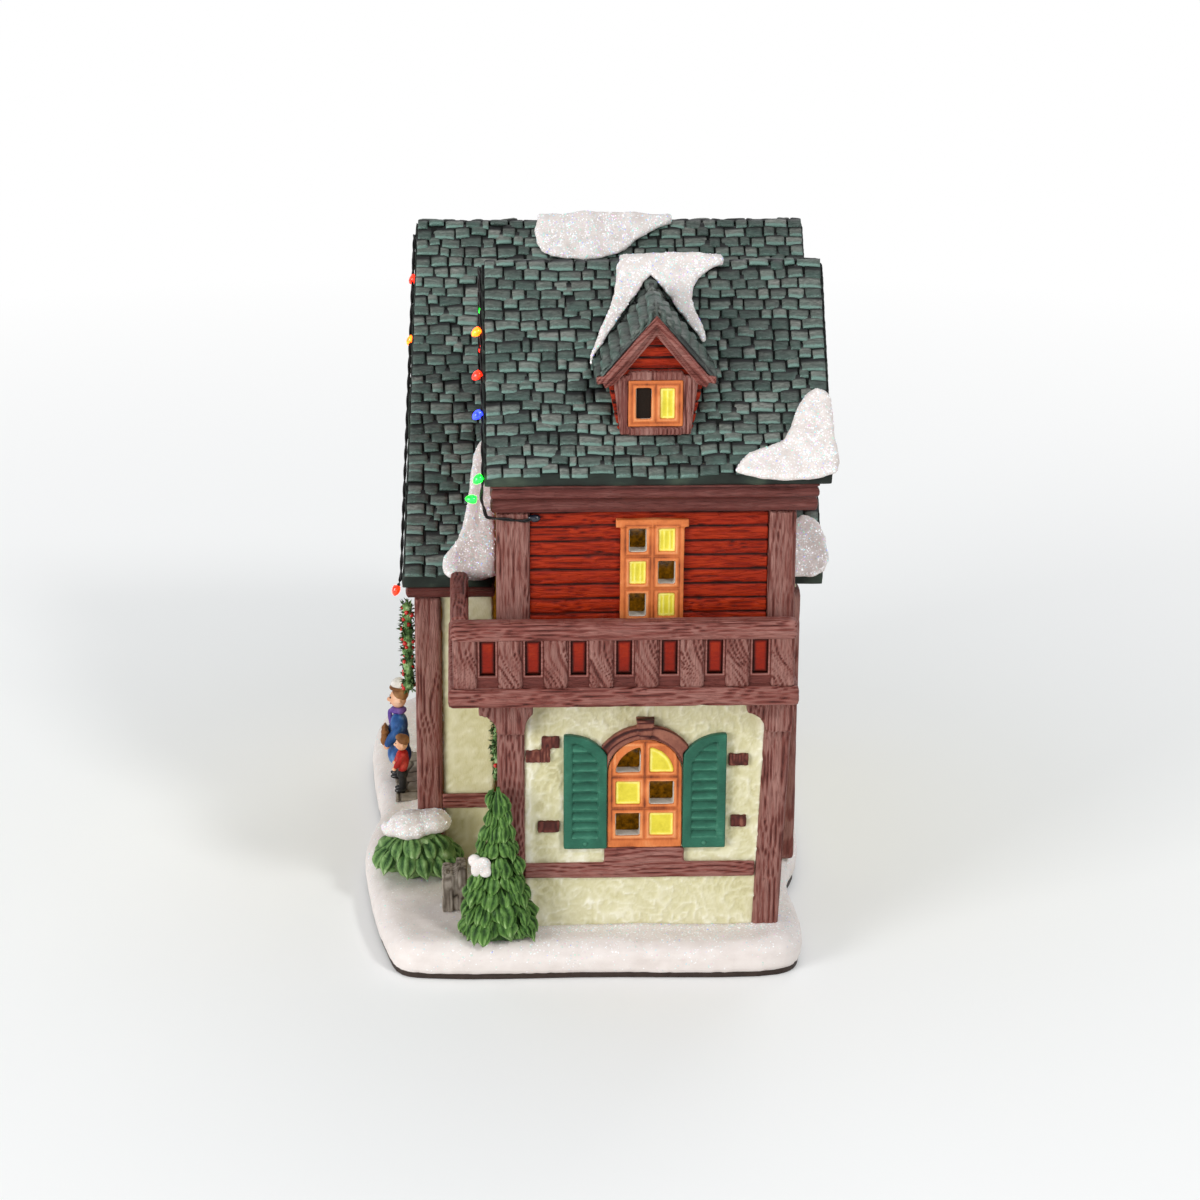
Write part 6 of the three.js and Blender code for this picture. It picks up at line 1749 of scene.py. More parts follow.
def lobe(rings: int = 12, sides: int = 24) -> Shell:
    """A drooping bunch of needles, 10 mm long, hanging down -Z and bulging to +X."""
    s = np.linspace(0.0, 1.0, rings)
    turn = np.linspace(0, 2 * math.pi, sides, endpoint=False)
    width = 0.25 + 3.1 * np.sin(np.pi * np.clip(s, 0, 1) ** 1.25) ** 0.8
    width[-1], width[0] = 0.35, 0.9
    ss, tt = np.meshgrid(np.arange(rings), turn, indexing="ij")
    groove = 0.5 + 0.5 * np.cos(tt * 6 + 0.5 * np.sin(ss * 0.8))
    swell = width[ss] * (0.7 + 0.3 * groove)
    x = 0.75 * swell * np.cos(tt) + 1.9 * np.sin(np.pi * s[ss] * 0.75)
    y = swell * np.sin(tt)
    z = -10 * s[ss] + 0.25 * groove
    points = np.stack([x, y, z], -1).reshape(-1, 3)
    number = np.arange(rings * sides).reshape(rings, sides)
    right = np.roll(number, -1, 1)
    quads = np.stack([number[:-1], number[1:], right[1:], right[:-1]], -1).reshape(-1, 4)
    count = rings * sides
    ends = np.array([[np.mean(x[0]), 0, 0.4], [np.mean(x[-1]), 0, -10.6]])
    caps = []
    for ring, tip, flip in ((number[0], count, False), (number[-1], count + 1, True)):
        for k in range(0, sides, 2):
            a, b, c = ring[k], ring[(k + 1) % sides], ring[(k + 2) % sides]
            caps.append([a, b, c, tip] if not flip else [tip, c, b, a])
    tip = 0.3 * ease(0.6, 1.0, s[ss].ravel())
    relief = np.concatenate([(0.12 + 0.52 * groove).ravel() + tip, [0.4, 0.9]])
    return Shell(np.vstack([points, ends]), np.vstack([quads, np.array(caps)]), relief)


def ball(middle: Sequence[float], radii: Sequence[float],
         turn: Sequence[float] = (0, 0, 0)) -> bpy.types.Mesh:
    """Rounded lump as a Blender mesh, to be joined and remeshed.

    Args:
        middle: its middle in the building's millimetres.
        radii: half its size along each axis.
        turn: angles in degrees.

    Returns:
        The mesh.
    """
    form = bmesh.new()
    bmesh.ops.create_icosphere(form, subdivisions=3, radius=1.0)
    about_x, about_y, about_z = (Matrix.Rotation(math.radians(t), 4, axis) for t, axis in zip(turn, "XYZ"))
    rotate = about_z @ about_y @ about_x
    place = Matrix.Translation(Vector((np.array(middle, float) + SHIFT) * MM))
    size = Matrix.Diagonal((*(np.array(radii, float) * MM), 1.0))
    bmesh.ops.transform(form, matrix=place @ rotate @ size, verts=form.verts)
    return mesh_of(form, "lump")


def strip(path: Sequence[tuple[float, float]], width: float, low: float, high: float) -> bpy.types.Mesh:
    """Board that follows a path of x and z, with mitred corners, between two depths of y."""
    spots = [np.array(p, float) for p in path]
    sides = []
    for k, spot in enumerate(spots):
        before = spot - spots[max(k - 1, 0)]
        after = spots[min(k + 1, len(spots) - 1)] - spot
        ways = [v / np.linalg.norm(v) for v in (before, after) if np.linalg.norm(v) > 0]
        across = sum(np.array([-v[1], v[0]]) for v in ways)
        across = across / np.linalg.norm(across)
        stretch = 1 / max(0.35, float(np.dot(across, [-ways[0][1], ways[0][0]])))
        sides.append((spot + across * width / 2 * stretch, spot - across * width / 2 * stretch))
    form = bmesh.new()
    rings = []
    for left, right in sides:
        corners = [(left, low), (left, high), (right, high), (right, low)]
        rings.append([form.verts.new((np.array([p[0], y, p[1]]) + SHIFT) * MM) for p, y in corners])
    for ring, after in zip(rings, rings[1:]):
        for k in range(4):
            form.faces.new((ring[k], ring[(k + 1) % 4], after[(k + 1) % 4], after[k]))
    form.faces.new(rings[0][::-1])
    form.faces.new(rings[-1])
    bmesh.ops.recalc_face_normals(form, faces=form.faces)
    return mesh_of(form, "strip")


def prism(outline: Sequence[tuple[float, float]], low: float, high: float) -> bpy.types.Mesh:
    """Outline of x and z drawn out along y."""
    form = bmesh.new()
    front = [form.verts.new((np.array([x, low, z]) + SHIFT) * MM) for x, z in outline]
    back = [form.verts.new((np.array([x, high, z]) + SHIFT) * MM) for x, z in outline]
    form.faces.new(front)
    form.faces.new(back[::-1])
    for k, vert in enumerate(front):
        after = (k + 1) % len(front)
        form.faces.new((vert, back[k], back[after], front[after]))
    bmesh.ops.recalc_face_normals(form, faces=form.faces)
    return mesh_of(form, "prism")


def tinted(name: str, shells: Sequence[tuple[Shell, str]], nodes: Sequence[str] = (),
           body: str = "root") -> bpy.types.Object:
    """One piece of several shells, each with its own finish.

    Args:
        name: name of the piece.
        shells: shells with the names of their finishes.
        nodes: CAD nodes that it stands for.
        body: body that it rides on.

    Returns:
        The new object.
    """
    names = list(dict.fromkeys(finish for _, finish in shells))
    whole = merged([shell for shell, _ in shells])
    whole.tints = np.concatenate([np.full(len(s.faces), names.index(f)) for s, f in shells])
    return seat(name, mesh_from(name, whole), [paint(n) for n in names], nodes, body)


# Windows
@dataclass
class Window(NodePiece):
    """A painted window: orange frame, yellow closed panes, open panes with pale cut edges.

    Attributes:
        panes: limits x0, x1, z0, z1 and whether the pane is open.
        face: how far the frame stands in front of the wall face, along -Y.
        arch: middle x, spring height and radius of the arched top, where it has one.
        bars: upright bars moulded on a closed pane.
        back: how far the lining of an open pane reaches, along -Y.
        blind: whether a dark plate of painted shade closes the open panes.
    """

    panes: tuple[tuple[float, float, float, float, bool], ...]
    face: float = 1.6
    arch: Optional[tuple[float, float, float]] = None
    bars: int = 0
    back: float = -3.4
    blind: bool = False

    def inside_arch(self, x: np.ndarray, z: np.ndarray) -> np.ndarray:
        """Tell which places lie under the arch."""
        if self.arch is None:
            return np.ones(x.shape, bool)
        middle, spring, radius = self.arch
        return (z < spring) | (np.hypot(x - middle, z - spring) < radius)

    def build(self) -> None:
        """Make the frame and its panes."""
        frame_shell = carved([self.node], 0.34, 1)
        worn = rough_noise(frame_shell.points, (5, 5, 5), 4, 51)
        frame_shell.swell(0.12)
        x, z = frame_shell.points[:, 0], frame_shell.points[:, 2]
        edge = np.full(len(x), 9.0)
        for x0, x1, z0, z1, _ in self.panes:
            edge = np.minimum(edge, np.maximum(np.maximum(x0 - x, x - x1), np.maximum(z0 - z, z - z1)))
        worn = worn + 0.35 * np.exp(-((edge - 0.3) / 0.3) ** 2) - 0.4 * np.exp(-((edge - 1.25) / 0.28) ** 2)
        frame_shell.carve(np.clip(0.62 + 0.9 * (worn - 0.5), 0, 1), 0.4)
        shells = [(frame_shell, "orange")]
        for x0, x1, z0, z1, is_open in self.panes:
            if is_open:
                shells += [(evenly(joined(self.lining(x0, x1, z0, z1)), 0.3, 0), "cut_edge")]
                if self.blind:
                    # A near-black plate behind the open pane stands for the shade inside: painted shade.
                    plate = soft_block((x0 - 0.6, 0.9 - self.face, z0 - 0.6),
                                       (x1 + 0.6, 1.5 - self.face, z1 + 0.6), 0.1)
                    shells += [(evenly(plate, 0.3, 0), "shade")]
            else:
                shells += [(self.pane(x0, x1, z0, z1), "pane")]
        # A flat plate behind the open panes glows dimly: painted lamplight of the room inside.
        if not self.blind:
            low, high = (np.array(edge) for edge in limits(self.node))
            lamplit_room_plate = soft_block((low[0] - 2, 9.0, low[2] - 3), (high[0] + 2, 10.0, high[2] + 6), 0.2)
            shells += [(evenly(lamplit_room_plate, 1.0, 0), "inside")]
        tinted(self.name, shells, [self.node])

    def pane(self, x0: float, x1: float, z0: float, z1: float) -> Shell:
        """A closed pane with a raised rim and moulded bars."""
        us, vs = np.arange(x0 - 0.1, x1 + 0.11, 0.22), np.arange(z0 - 0.1, z1 + 0.11, 0.22)

        def height(points: np.ndarray) -> np.ndarray:
            """Rim, bars and uneven paint."""
            x, z = points[:, 0], points[:, 2]
            edge = np.minimum(np.minimum(x - x0, x1 - x), np.minimum(z - z0, z1 - z))
            if self.arch is not None:
                middle, spring, radius = self.arch
                round_edge = radius - 0.4 - np.hypot(x - middle, z - spring)
                edge = np.where(z > spring, np.minimum(edge, round_edge), edge)
            level = 0.52 + 0.42 * np.exp(-((edge - 0.5) / 0.42) ** 2)
            for k in range(self.bars):
                at = x0 + (x1 - x0) * (k + 1) / (self.bars + 1)
                level = np.maximum(level, 0.5 + 0.42 * np.exp(-((x - at) / 0.36) ** 2))
            return level + 0.5 * (rough_noise(points, (2.4, 2.4, 2.4), 3, 52) - 0.5)

        return relief_slab(Side.NEAR, self.face - 0.42, us, vs, 0.36, self.inside_arch, height, 0.4)

    def lining(self, x0: float, x1: float, z0: float, z1: float) -> list[bpy.types.Mesh]:
        """Pale edges cut through the resin round an open pane."""
        front, back, t = -self.face + 0.5, -self.back, 0.45
        if self.arch is not None and z1 > self.arch[1] + 2:
            z1 = self.arch[1] + 6.5
        return [soft_block((x0 - t, front, z0 - t), (x1 + t, back, z0 + 0.12), 0.1, 1),
                soft_block((x0 - t, front, z0), (x0 + 0.12, back, z1), 0.1, 1),
                soft_block((x1 - 0.12, front, z0), (x1 + t, back, z1), 0.1, 1)]


class Windows:
    """The wing's three windows, with the stone arch and the shutters."""

    ARCH = (14.35, 65.3, 9.15)

    def build(self) -> None:
        """Make them all."""
        Window("window_lower", "window_frame_lower", (
            (5.2, 12.95, 65.8, 74.9, True), (15.75, 23.5, 65.8, 74.9, False),
            (5.2, 12.95, 55.0, 62.8, False), (15.75, 23.5, 55.0, 62.8, True),
            (5.2, 12.95, 44.2, 52.0, True), (15.75, 23.5, 44.2, 52.0, False)), arch=self.ARCH).build()
        Window("window_upper", "window_frame_upper", (
            (8.8, 14.1, 139.0, 146.5, True), (17.7, 23.0, 139.0, 146.5, False),
            (8.8, 14.1, 128.5, 136.0, False), (17.7, 23.0, 128.5, 136.0, True),
            (8.8, 14.1, 118.0, 125.5, True), (17.7, 23.0, 118.0, 125.5, False)), bars=2).build()
        Window("window_dormer", "dormer_window", (
            (10.5, 15.1, 181.5, 191.1, True), (17.7, 22.3, 181.5, 191.1, False)), face=2.0, back=1.0,
            bars=1, blind=True).build()
        self.stone_arch()
        for name, side in (("front", -1), ("back", 1)):
            self.shutter(name, side)

    def stone_arch(self) -> None:
        """Carved arch with its keystone."""
        shell = carved(["stone_arch"], 0.33, 1).swell(0.15)
        middle, spring, _ = self.ARCH
        away = np.hypot(shell.points[:, 0] - middle, shell.points[:, 2] - spring)
        turn = np.arctan2(shell.points[:, 2] - spring, shell.points[:, 0] - middle)
        around = np.stack([away, shell.points[:, 1], turn * 4.0], -1)
        relief = 0.7 * ease(0.0, 0.3, np.abs(2 * noise(around, (1.3, 3, 3.5), 61) - 1))
        relief = relief + 0.4 * rough_noise(shell.points, (3, 3, 3), 3, 62)
        shell.carve(np.clip(relief, 0, 1), 0.45)
        place_shell("window_arch", shell, paint("arch"), ["stone_arch"])

    def shutter(self, name: str, side: int) -> None:
        """One shutter leaf: raised border from the CAD leaf, slats in its field."""
        shell = carved([f"shutter_{name}"], 0.36, 1)
        worn = rough_noise(shell.points, (3.5, 3.5, 6), 4, 63 + side)
        shell.swell(0.15).carve(np.clip(0.6 + 0.5 * (worn - 0.5), 0, 1), 0.15)
        near, width = self.ARCH[0] + side * 12.05, 13.4
        low, pitch, count = 43.0, 3.3, 10
        rows = np.arange(count)
        heights = low + rows * pitch + 0.3
        drop_in = np.clip((heights + 2.6 - 71.0) / 7.0, 0, 1) ** 1.5 * 5.6
        inner = near + side * (2.1 + drop_in)
        outer = near + side * (width - 2.1)
        places = np.stack([(inner + outer) / 2, np.full(count, -1.75), heights], -1)
        span = np.abs(outer - inner)
        slat = evenly(soft_block((-5.0, -0.5, 0.0), (5.0, 0.5, 3.3), 0.45, 3), 0.36, 1)
        slat.points[:, 0] /= 10.0
        slats = repeater().repeat(slat, places, np.stack([span, np.ones(count), np.ones(count)], -1),
                                  np.tile([-0.33, 0.0, 0.0], (count, 1)))
        low_part = (slats.points[:, 2] - low) % pitch / pitch
        streaks = rough_noise(slats.points, (4, 2, 1.2), 3, 66) - 0.5
        slats.relief = np.clip(0.95 - 0.7 * low_part + 0.25 * streaks, 0, 1)
        knob = evenly(ball((near + side * (width * 0.5), -2.3, 42.0), (0.75, 0.6, 0.75)), 0.25, 1)
        knob.relief = np.full(len(knob.points), 0.8)
        tinted(f"shutter_leaf_{name}", [(shell, "shutter"), (slats, "shutter"), (knob, "shutter")],
               [f"shutter_{name}"])


# Balcony
@dataclass
class Balustrade(NodePiece):
    """Rail, balusters and recessed panels along one side of the balcony.

    Attributes:
        side: side that it faces.
        start: place along the side of the first baluster's middle.
        pitch: distance of the balusters.
        count: number of balusters.
        face: outward place of the balusters' faces.
        height: height of the balusters.
        width: width of a baluster.
        grain: direction of the rail's grain.
    """

    side: Side
    start: float
    pitch: float
    count: int
    face: float
    height: float = 16.4
    width: float = 7.2
    grain: Grain = Grain.ALONG_X

    def build(self) -> None:
        """Make rail, balusters and panels."""
        low, high = limits(self.node)
        rail = evenly(soft_block((low[0], low[1], high[2] - 5.9), high, 1.7, 3), 0.46, 1)
        rail.swell(0.25)
        rail.carve(wood(rail.points, self.grain, 1.3, 71), 0.6)
        along, out = (np.array(v, float) for v in self.side.value)
        turn = np.array([0.0, 0.0, math.atan2(along[1], along[0])])
        row = self.start + self.pitch * np.arange(self.count)
        spots = row[:, None] * along + out * self.face + np.array([0, 0, DECK])
        half = self.width / 2
        post = evenly(soft_block((-half, 0.0, 0.0), (half, 2.6, self.height), 0.9, 3), 0.5, 1)
        ones = np.ones((self.count, 3))
        posts = repeater().repeat(post, spots, ones, np.tile(turn, (self.count, 1)))
        slant = posts.points.copy()
        slant = slant + np.outer(0.4 * slant[:, 2] + 1.1 * np.sin(slant[:, 2] * 0.3), along)
        posts.swell(0.2)
        posts.carve(wood(slant, Grain.ALONG_Z, 1.7, 72), 0.75)
        gap = self.pitch - self.width
        middles = (row[1:] + row[:-1]) / 2
        count = len(middles)
        shells = [(rail, "rail"), (posts, "post")]
        for part, finish, back in ((self.surround, "rail", 0.75), (self.field_slab, "panel", 1.35)):
            spots = middles[:, None] * along + out * (self.face - back) + np.array([0, 0, DECK])
            shell = repeater().repeat(part(gap), spots, np.ones((count, 3)), np.tile(turn, (count, 1)))
            shells.append((shell, finish))
        tinted(self.name, shells, [self.node])

    def surround(self, gap: float) -> Shell:
        """Worn frame round a panel, round its own origin."""
        us = np.linspace(-gap / 2 - 0.4, gap / 2 + 0.4, 34)
        vs = np.linspace(0, self.height, 56)
        half, low, high = gap / 2 - 0.9, 4.2, 15.4

        def height(points: np.ndarray) -> np.ndarray:
            """Pale worn line along the opening."""
            x, z = np.abs(points[:, 0]), points[:, 2]
            edge = np.maximum(x - half, np.maximum(low - z, z - high))
            return 0.45 + 0.55 * np.exp(-((edge - 0.25) / 0.3) ** 2)

        def keep(u: np.ndarray, v: np.ndarray) -> np.ndarray:
            """Round the opening."""
            return (np.abs(u) > half) | (v < low) | (v > high)

        return relief_slab(Side.NEAR, 0.0, us, vs, 1.0, keep, height, 0.4)

    def field_slab(self, gap: float) -> Shell:
        """Glossy panel, darker along its edges, round its own origin."""
        half, low, high = gap / 2 - 0.7, 4.0, 15.6
        us, vs = np.linspace(-half, half, 18), np.linspace(low, high, 36)

        def height(points: np.ndarray) -> np.ndarray:
            """Soft swelling with low edges."""
            x, z = np.abs(points[:, 0]), points[:, 2]
            edge = np.minimum(half - x, np.minimum(z - low, high - z))
            return 0.02 + 0.62 * ease(0.1, 1.6, edge) + 0.14 * ease(low, high, z)

        return relief_slab(Side.NEAR, 0.0, us, vs, 0.8, lambda u, v: np.ones(u.shape, bool), height, 0.5)


class Balcony:
    """Both balustrades."""

    def build(self) -> None:
        """Make them."""
        Balustrade("balustrade_near_side", "balustrade_near", Side.NEAR, -41.8, 13.94, 8, 12.6).build()
        Balustrade("balustrade_front_side", "balustrade_front", Side.FRONT, -32.0, 11.77, 4, 45.4,
                   grain=Grain.ALONG_Y).build()


# Dormer
@dataclass
class Dormer:
    """The dormer: boarded gable and cheeks, posts, bargeboards and lumpy roof.

    Attributes:
        middle: x of its middle.
        eave: height of its eaves.
        face: y of its front face.
        apex: height of its ridge.
        steep: rise of its slopes for each millimetre aside.
    """

    middle: float = 16.4
    eave: float = 196.0
    face: float = -0.4
    apex: float = 213.4
    steep: float = 1.2

    def build(self) -> None:
        """Make the body, the timbers and the roof."""
        body = carved(["dormer_body"], 0.42, 1).swell(0.15)
        body.carve(boards(body.points, 3.5, self.eave + 0.9, 81), 0.7)
        place_shell("dormer_boards", body, paint("boards"), ["dormer_body"])
        m, f = self.middle, self.face
        timbers = [
            prism([(m + s * 8.3, 176.6), (m + s * 10.6, 176.6), (m + s * 12.9, 195.0), (m + s * 8.3, 195.0)],
                  f - 1.4, f + 1) for s in (-1, 1)]
        timbers += [soft_block((m - 8.2, f - 1.6, 193.5), (m + 8.2, f + 1, 196.3), 0.45),
                    soft_block((m - 8.2, f - 2.0, 176.4), (m + 8.2, f + 1, 179.0), 0.6)]
        frame_shell = evenly(joined(timbers), 0.38, 1).swell(0.15)
        frame_shell.carve(wood(frame_shell.points, Grain.ALONG_Z, 1.3, 82), 0.55)
        outer = self.gable_path(18.0, 19.3, 14.9, 0.9)
        inner = self.gable_path(15.8, 21.0, 13.2, 4.0)
        rim = evenly(strip(outer, 2.3, f - 4.0, f - 1.4), 0.38, 1)
        rim.carve(wood(self.along_slope(rim.points), Grain.ALONG_X, 1.2, 83), 0.3)
        board = evenly(strip(inner, 2.6, f - 2.4, f + 0.5), 0.38, 1)
        board.carve(wood(self.along_slope(board.points), Grain.ALONG_X, 1.2, 84), 0.3)
        tinted("dormer_timbers", [(frame_shell, "post"), (rim, "rail"), (board, "rail")])
        self.roof()

    def gable_path(self, aside: float, down: float, bend: float, top: float) -> list[tuple[float, float]]:
        """Path of a bargeboard in x and z.

        Args:
            aside: its ends from the middle.
            down: its ends below the apex.
            bend: where it flattens, from the middle.
            top: its top below the apex.

        Returns:
            Five corners, from -X to +X.
        """
        m, high = self.middle, self.apex
        knee = high - top - self.steep * bend
        return [(m - aside, high - down), (m - bend, knee), (m, high - top), (m + bend, knee),
                (m + aside, high - down)]

    def along_slope(self, points: np.ndarray) -> np.ndarray:
        """Places measured along and across the slopes of the gable."""
        aside, up = np.abs(points[:, 0] - self.middle), points[:, 2] - self.apex
        s, length = self.steep, 1.56
        return np.stack([(aside - s * up) / length, points[:, 1], (s * aside + up) / length], -1)

    def roof(self) -> None:
        """Roof with uneven courses that follow the gable."""
        shell = carved(["dormer_roof"], 0.45, 2)
        points = shell.points
        down = np.abs(points[:, 0] - self.middle) * 1.55 + (rough_noise(points, (9, 9, 9), 2, 85) - 0.5) * 3
        part = down / 4.3 - np.floor(down / 4.3)
        across = np.abs(2 * noise(points, (60, 5.0, 60), 87) - 1)
        up = np.clip(shell.normals()[:, 2], 0, 1)
        bulge = np.sin(np.pi * part ** 1.4) ** 0.6 * ease(0.0, 0.3, across)
        relief = 0.05 + 0.95 * bulge
        deep = self.apex + 0.6 - self.steep * np.abs(points[:, 0] - self.middle) - points[:, 2]
        front = np.clip(-shell.normals()[:, 1], 0, 1) * (1 - ease(3.0, 4.4, deep))
        shell.swell(0.7 * up)
        shell.carve(1 - (1 - np.clip(relief, 0, 1)) * np.maximum(ease(0.05, 0.4, up), front), 2.2)
        lumps = 0.1 + bulge * (0.55 + 0.45 * part)
        # The crests of the lumps take the pale butt green, partly as a painted highlight; the deep part of
        # the front face is painted near-black as shade under the lumps, and faces that do not face up get a
        # darker tone as painted shade.
        shell.marks["edge"] = np.where(up > 0.2, lumps, np.where(front > 0.3, 0.25 + 0.75 * bulge, 0.12))
        shell.marks["tone"] = rough_noise(points, (5, 5, 5), 2, 87) * np.where(up > 0.2, 1, 0.45)
        place_shell("dormer_shingles", shell, paint("shingle"), ["dormer_roof"])


# Greenery and ground
@dataclass
class FirTree:
    """Fir tree against the wing's front post.

    Attributes:
        middle: x and y of its middle.
        foot: height of the ground.
        height: height of the tree.
        radius: half its width along x and y at the foot.
        tiers: number of tiers of drooping bunches.
    """

    middle: tuple[float, float] = (-31.8, -6.3)
    foot: float = GROUND
    height: float = 52.0
    radius: tuple[float, float] = (14.6, 7.4)
    tiers: int = 9

    def build(self) -> None:
        """Make the core, the bunches and the snow patch."""
        core = carved(["fir_tree"], 0.5, 3)
        middle = np.array([*self.middle, 0])
        inwards = (middle - core.points) * np.array([0.16, 0.12, 0])
        core.points = core.points + inwards
        core.carve(leaves(core.points, 3.0, 91) * 0.6, 0.5)
        places, sizes, turns = [], [], []
        rng = np.random.default_rng(92)
        for tier in range(self.tiers):
            share = 1 - tier / self.tiers * 0.9
            count = max(3, round(10 * share + 1.5))
            low = self.foot + 0.3 + tier * self.height / (self.tiers + 0.55)
            length = 9.2 * (0.6 + 0.4 * share)
            for k in range(count):
                at = (k + (0.5 if tier % 2 else 0.25)) / count
                turn = math.pi + math.pi * at + rng.uniform(-0.08, 0.08)
                rx, ry = self.radius[0] * share, self.radius[1] * share
                out = np.array([math.cos(turn) * rx, math.sin(turn) * ry])
                top = middle[:2] + out * 0.48
                heading = math.atan2(out[1], out[0])
                lean = math.atan2(np.linalg.norm(out) * 0.3, length)
                places.append([top[0], top[1], low + length * 0.97 + rng.uniform(-1.3, 1.3)])
                thick = (0.5 + 0.46 * share) * rng.uniform(0.8, 1.2)
                sizes.append([thick * 0.8, thick * 1.02, length / 10 * rng.uniform(0.94, 1.08)])
                turns.append([rng.uniform(-0.3, 0.3), -lean * rng.uniform(0.8, 1.3), heading])
        places.append([self.middle[0], self.middle[1] - 0.6, self.foot + self.height - 0.3])
        sizes.append([0.62, 0.72, 1.15])
        turns.append([0.0, 0.0, -math.pi / 2])
        bunches = repeater().repeat(lobe(), np.array(places), np.array(sizes), np.array(turns))
        keep_out = bunches.points[:, 1] > -1.75
        bunches.points[keep_out, 1] = -1.75 + 0.1 * (bunches.points[keep_out, 1] + 1.75)
        bunches.points[:, 2] = np.maximum(bunches.points[:, 2], self.foot - 0.2)
        grain = rough_noise(bunches.points, (1.3, 1.3, 3), 2, 93)
        bunches.swell((grain - 0.5) * 1.3)
        bunches.relief = np.clip(bunches.relief + 0.5 * (grain - 0.5), 0, 1)
        tinted("fir_bunches", [(core, "tree"), (bunches, "tree")], ["fir_tree"])
        lumps = [ball((-37.4, -10.6, 38.4), (3.2, 1.5, 3.6), (10, 40, 20)),
                 ball((-39.4, -9.4, 40.0), (2.0, 1.5, 2.2)), ball((-35.9, -10.9, 36.6), (1.9, 1.3, 2.0)),
                 ball((-38.8, -9.9, 36.4), (1.6, 1.4, 1.7))]
        snowed("fir_snow", evenly(joined(lumps), 0.4, 2))


def snowed(name: str, shell: Shell) -> bpy.types.Object:
    """Finish a shell that stands for no CAD node as snow."""
    bumps = rough_noise(shell.points, (4, 4, 4), 3, 95)
    shell.swell(0.3 * (bumps - 0.5) * 2)
    shell.relief = np.clip(0.2 + bumps, 0, 1)
    shell.marks["frost"] = np.clip(bumps, 0, 1)
    return frosted(name, shell, (), 0.5)


@dataclass
class Bush:
    """Low bush at the main corner."""

    middle: tuple[float, float] = (-56.7, 41.4)
    foot: float = GROUND

    def build(self) -> None:
        """Make the core and its leaf bunches."""
        core = carved(["bush"], 0.55, 2)
        core.carve(leaves(core.points, 4.0, 96), 0.9)
        rng = np.random.default_rng(97)
        places, sizes, turns = [], [], []
        for ring, (count, reach, top, length) in enumerate(((13, 7.4, 22.5, 10.5), (9, 4.6, 27.0, 9.5))):
            for k in range(count):
                turn = 2 * math.pi * (k + 0.5 * ring) / count + rng.uniform(-0.12, 0.12)
                x = self.middle[0] - 1.2 + math.cos(turn) * reach * 1.15
                y = self.middle[1] + 1.2 + math.sin(turn) * reach * 0.62
                if x > -56.5 and y > 45.5 or y > 49.0 and x > -59:
                    continue
                places.append([x, y, top + rng.uniform(-1, 1)])
                sizes.append([1.05, 1.1, length / 10 * rng.uniform(0.9, 1.1)])
                turns.append([rng.uniform(-0.3, 0.3), -0.42, turn])
        bunches = repeater().repeat(lobe(), np.array(places), np.array(sizes), np.array(turns))
        bunches.points[:, 2] = np.maximum(bunches.points[:, 2], self.foot)
        grain = rough_noise(bunches.points, (1.4, 1.4, 3), 2, 98)
        bunches.swell((grain - 0.5) * 0.9)
        bunches.relief = np.clip(bunches.relief + 0.5 * (grain - 0.5), 0, 1)
        tinted("bush_leaves", [(core, "bush"), (bunches, "bush")], ["bush"])


class Ground:
    """Stones and path."""

    def build(self) -> None:
        """Make the stepped stones and the paving."""
        blocks = [soft_block((-49.9, 11.0, GROUND), (-45.7, 22.0, 25.6), 1.0, 3),
                  soft_block((-45.5, 11.6, GROUND), (-41.5, 22.0, 27.5), 1.0, 3)]
        shell = evenly(joined(blocks), 0.4, 1)
        shell.carve(stone_face(shell.points, 101), 0.5)
        place_shell("stepped_stones", shell, paint("stone"), ["stone_block"])
        path = carved(["paving"], 0.5, 1)
        spot = path.points + (noise(path.points, (7, 7, 7), 102) - 0.5)[:, None] * 3
        length, width, offset = 9.0, 6.5, 3
        across = 0.5 * length - np.abs(spot[:, 1] % length - 0.5 * length)
        shifted = spot[:, 0] + spot[:, 1] // length * offset
        along = 0.5 * width - np.abs(shifted % width - 0.5 * width)
        worn = 0.5 + 0.5 * rough_noise(path.points, (3, 3, 3), 3, 103)
        path.carve(ease(0.0, 0.6, np.minimum(across, along)) * worn, 0.5)
        place_shell("path_stones", path, paint("stone"), ["paving"])


# Light strings
class Bulb(Enum):
    """Finishes of the light strings' bulbs."""

    AMBER = "bulb_amber"
    RED = "bulb_red"
    BLUE = "bulb_blue"
    GREEN = "bulb_green"


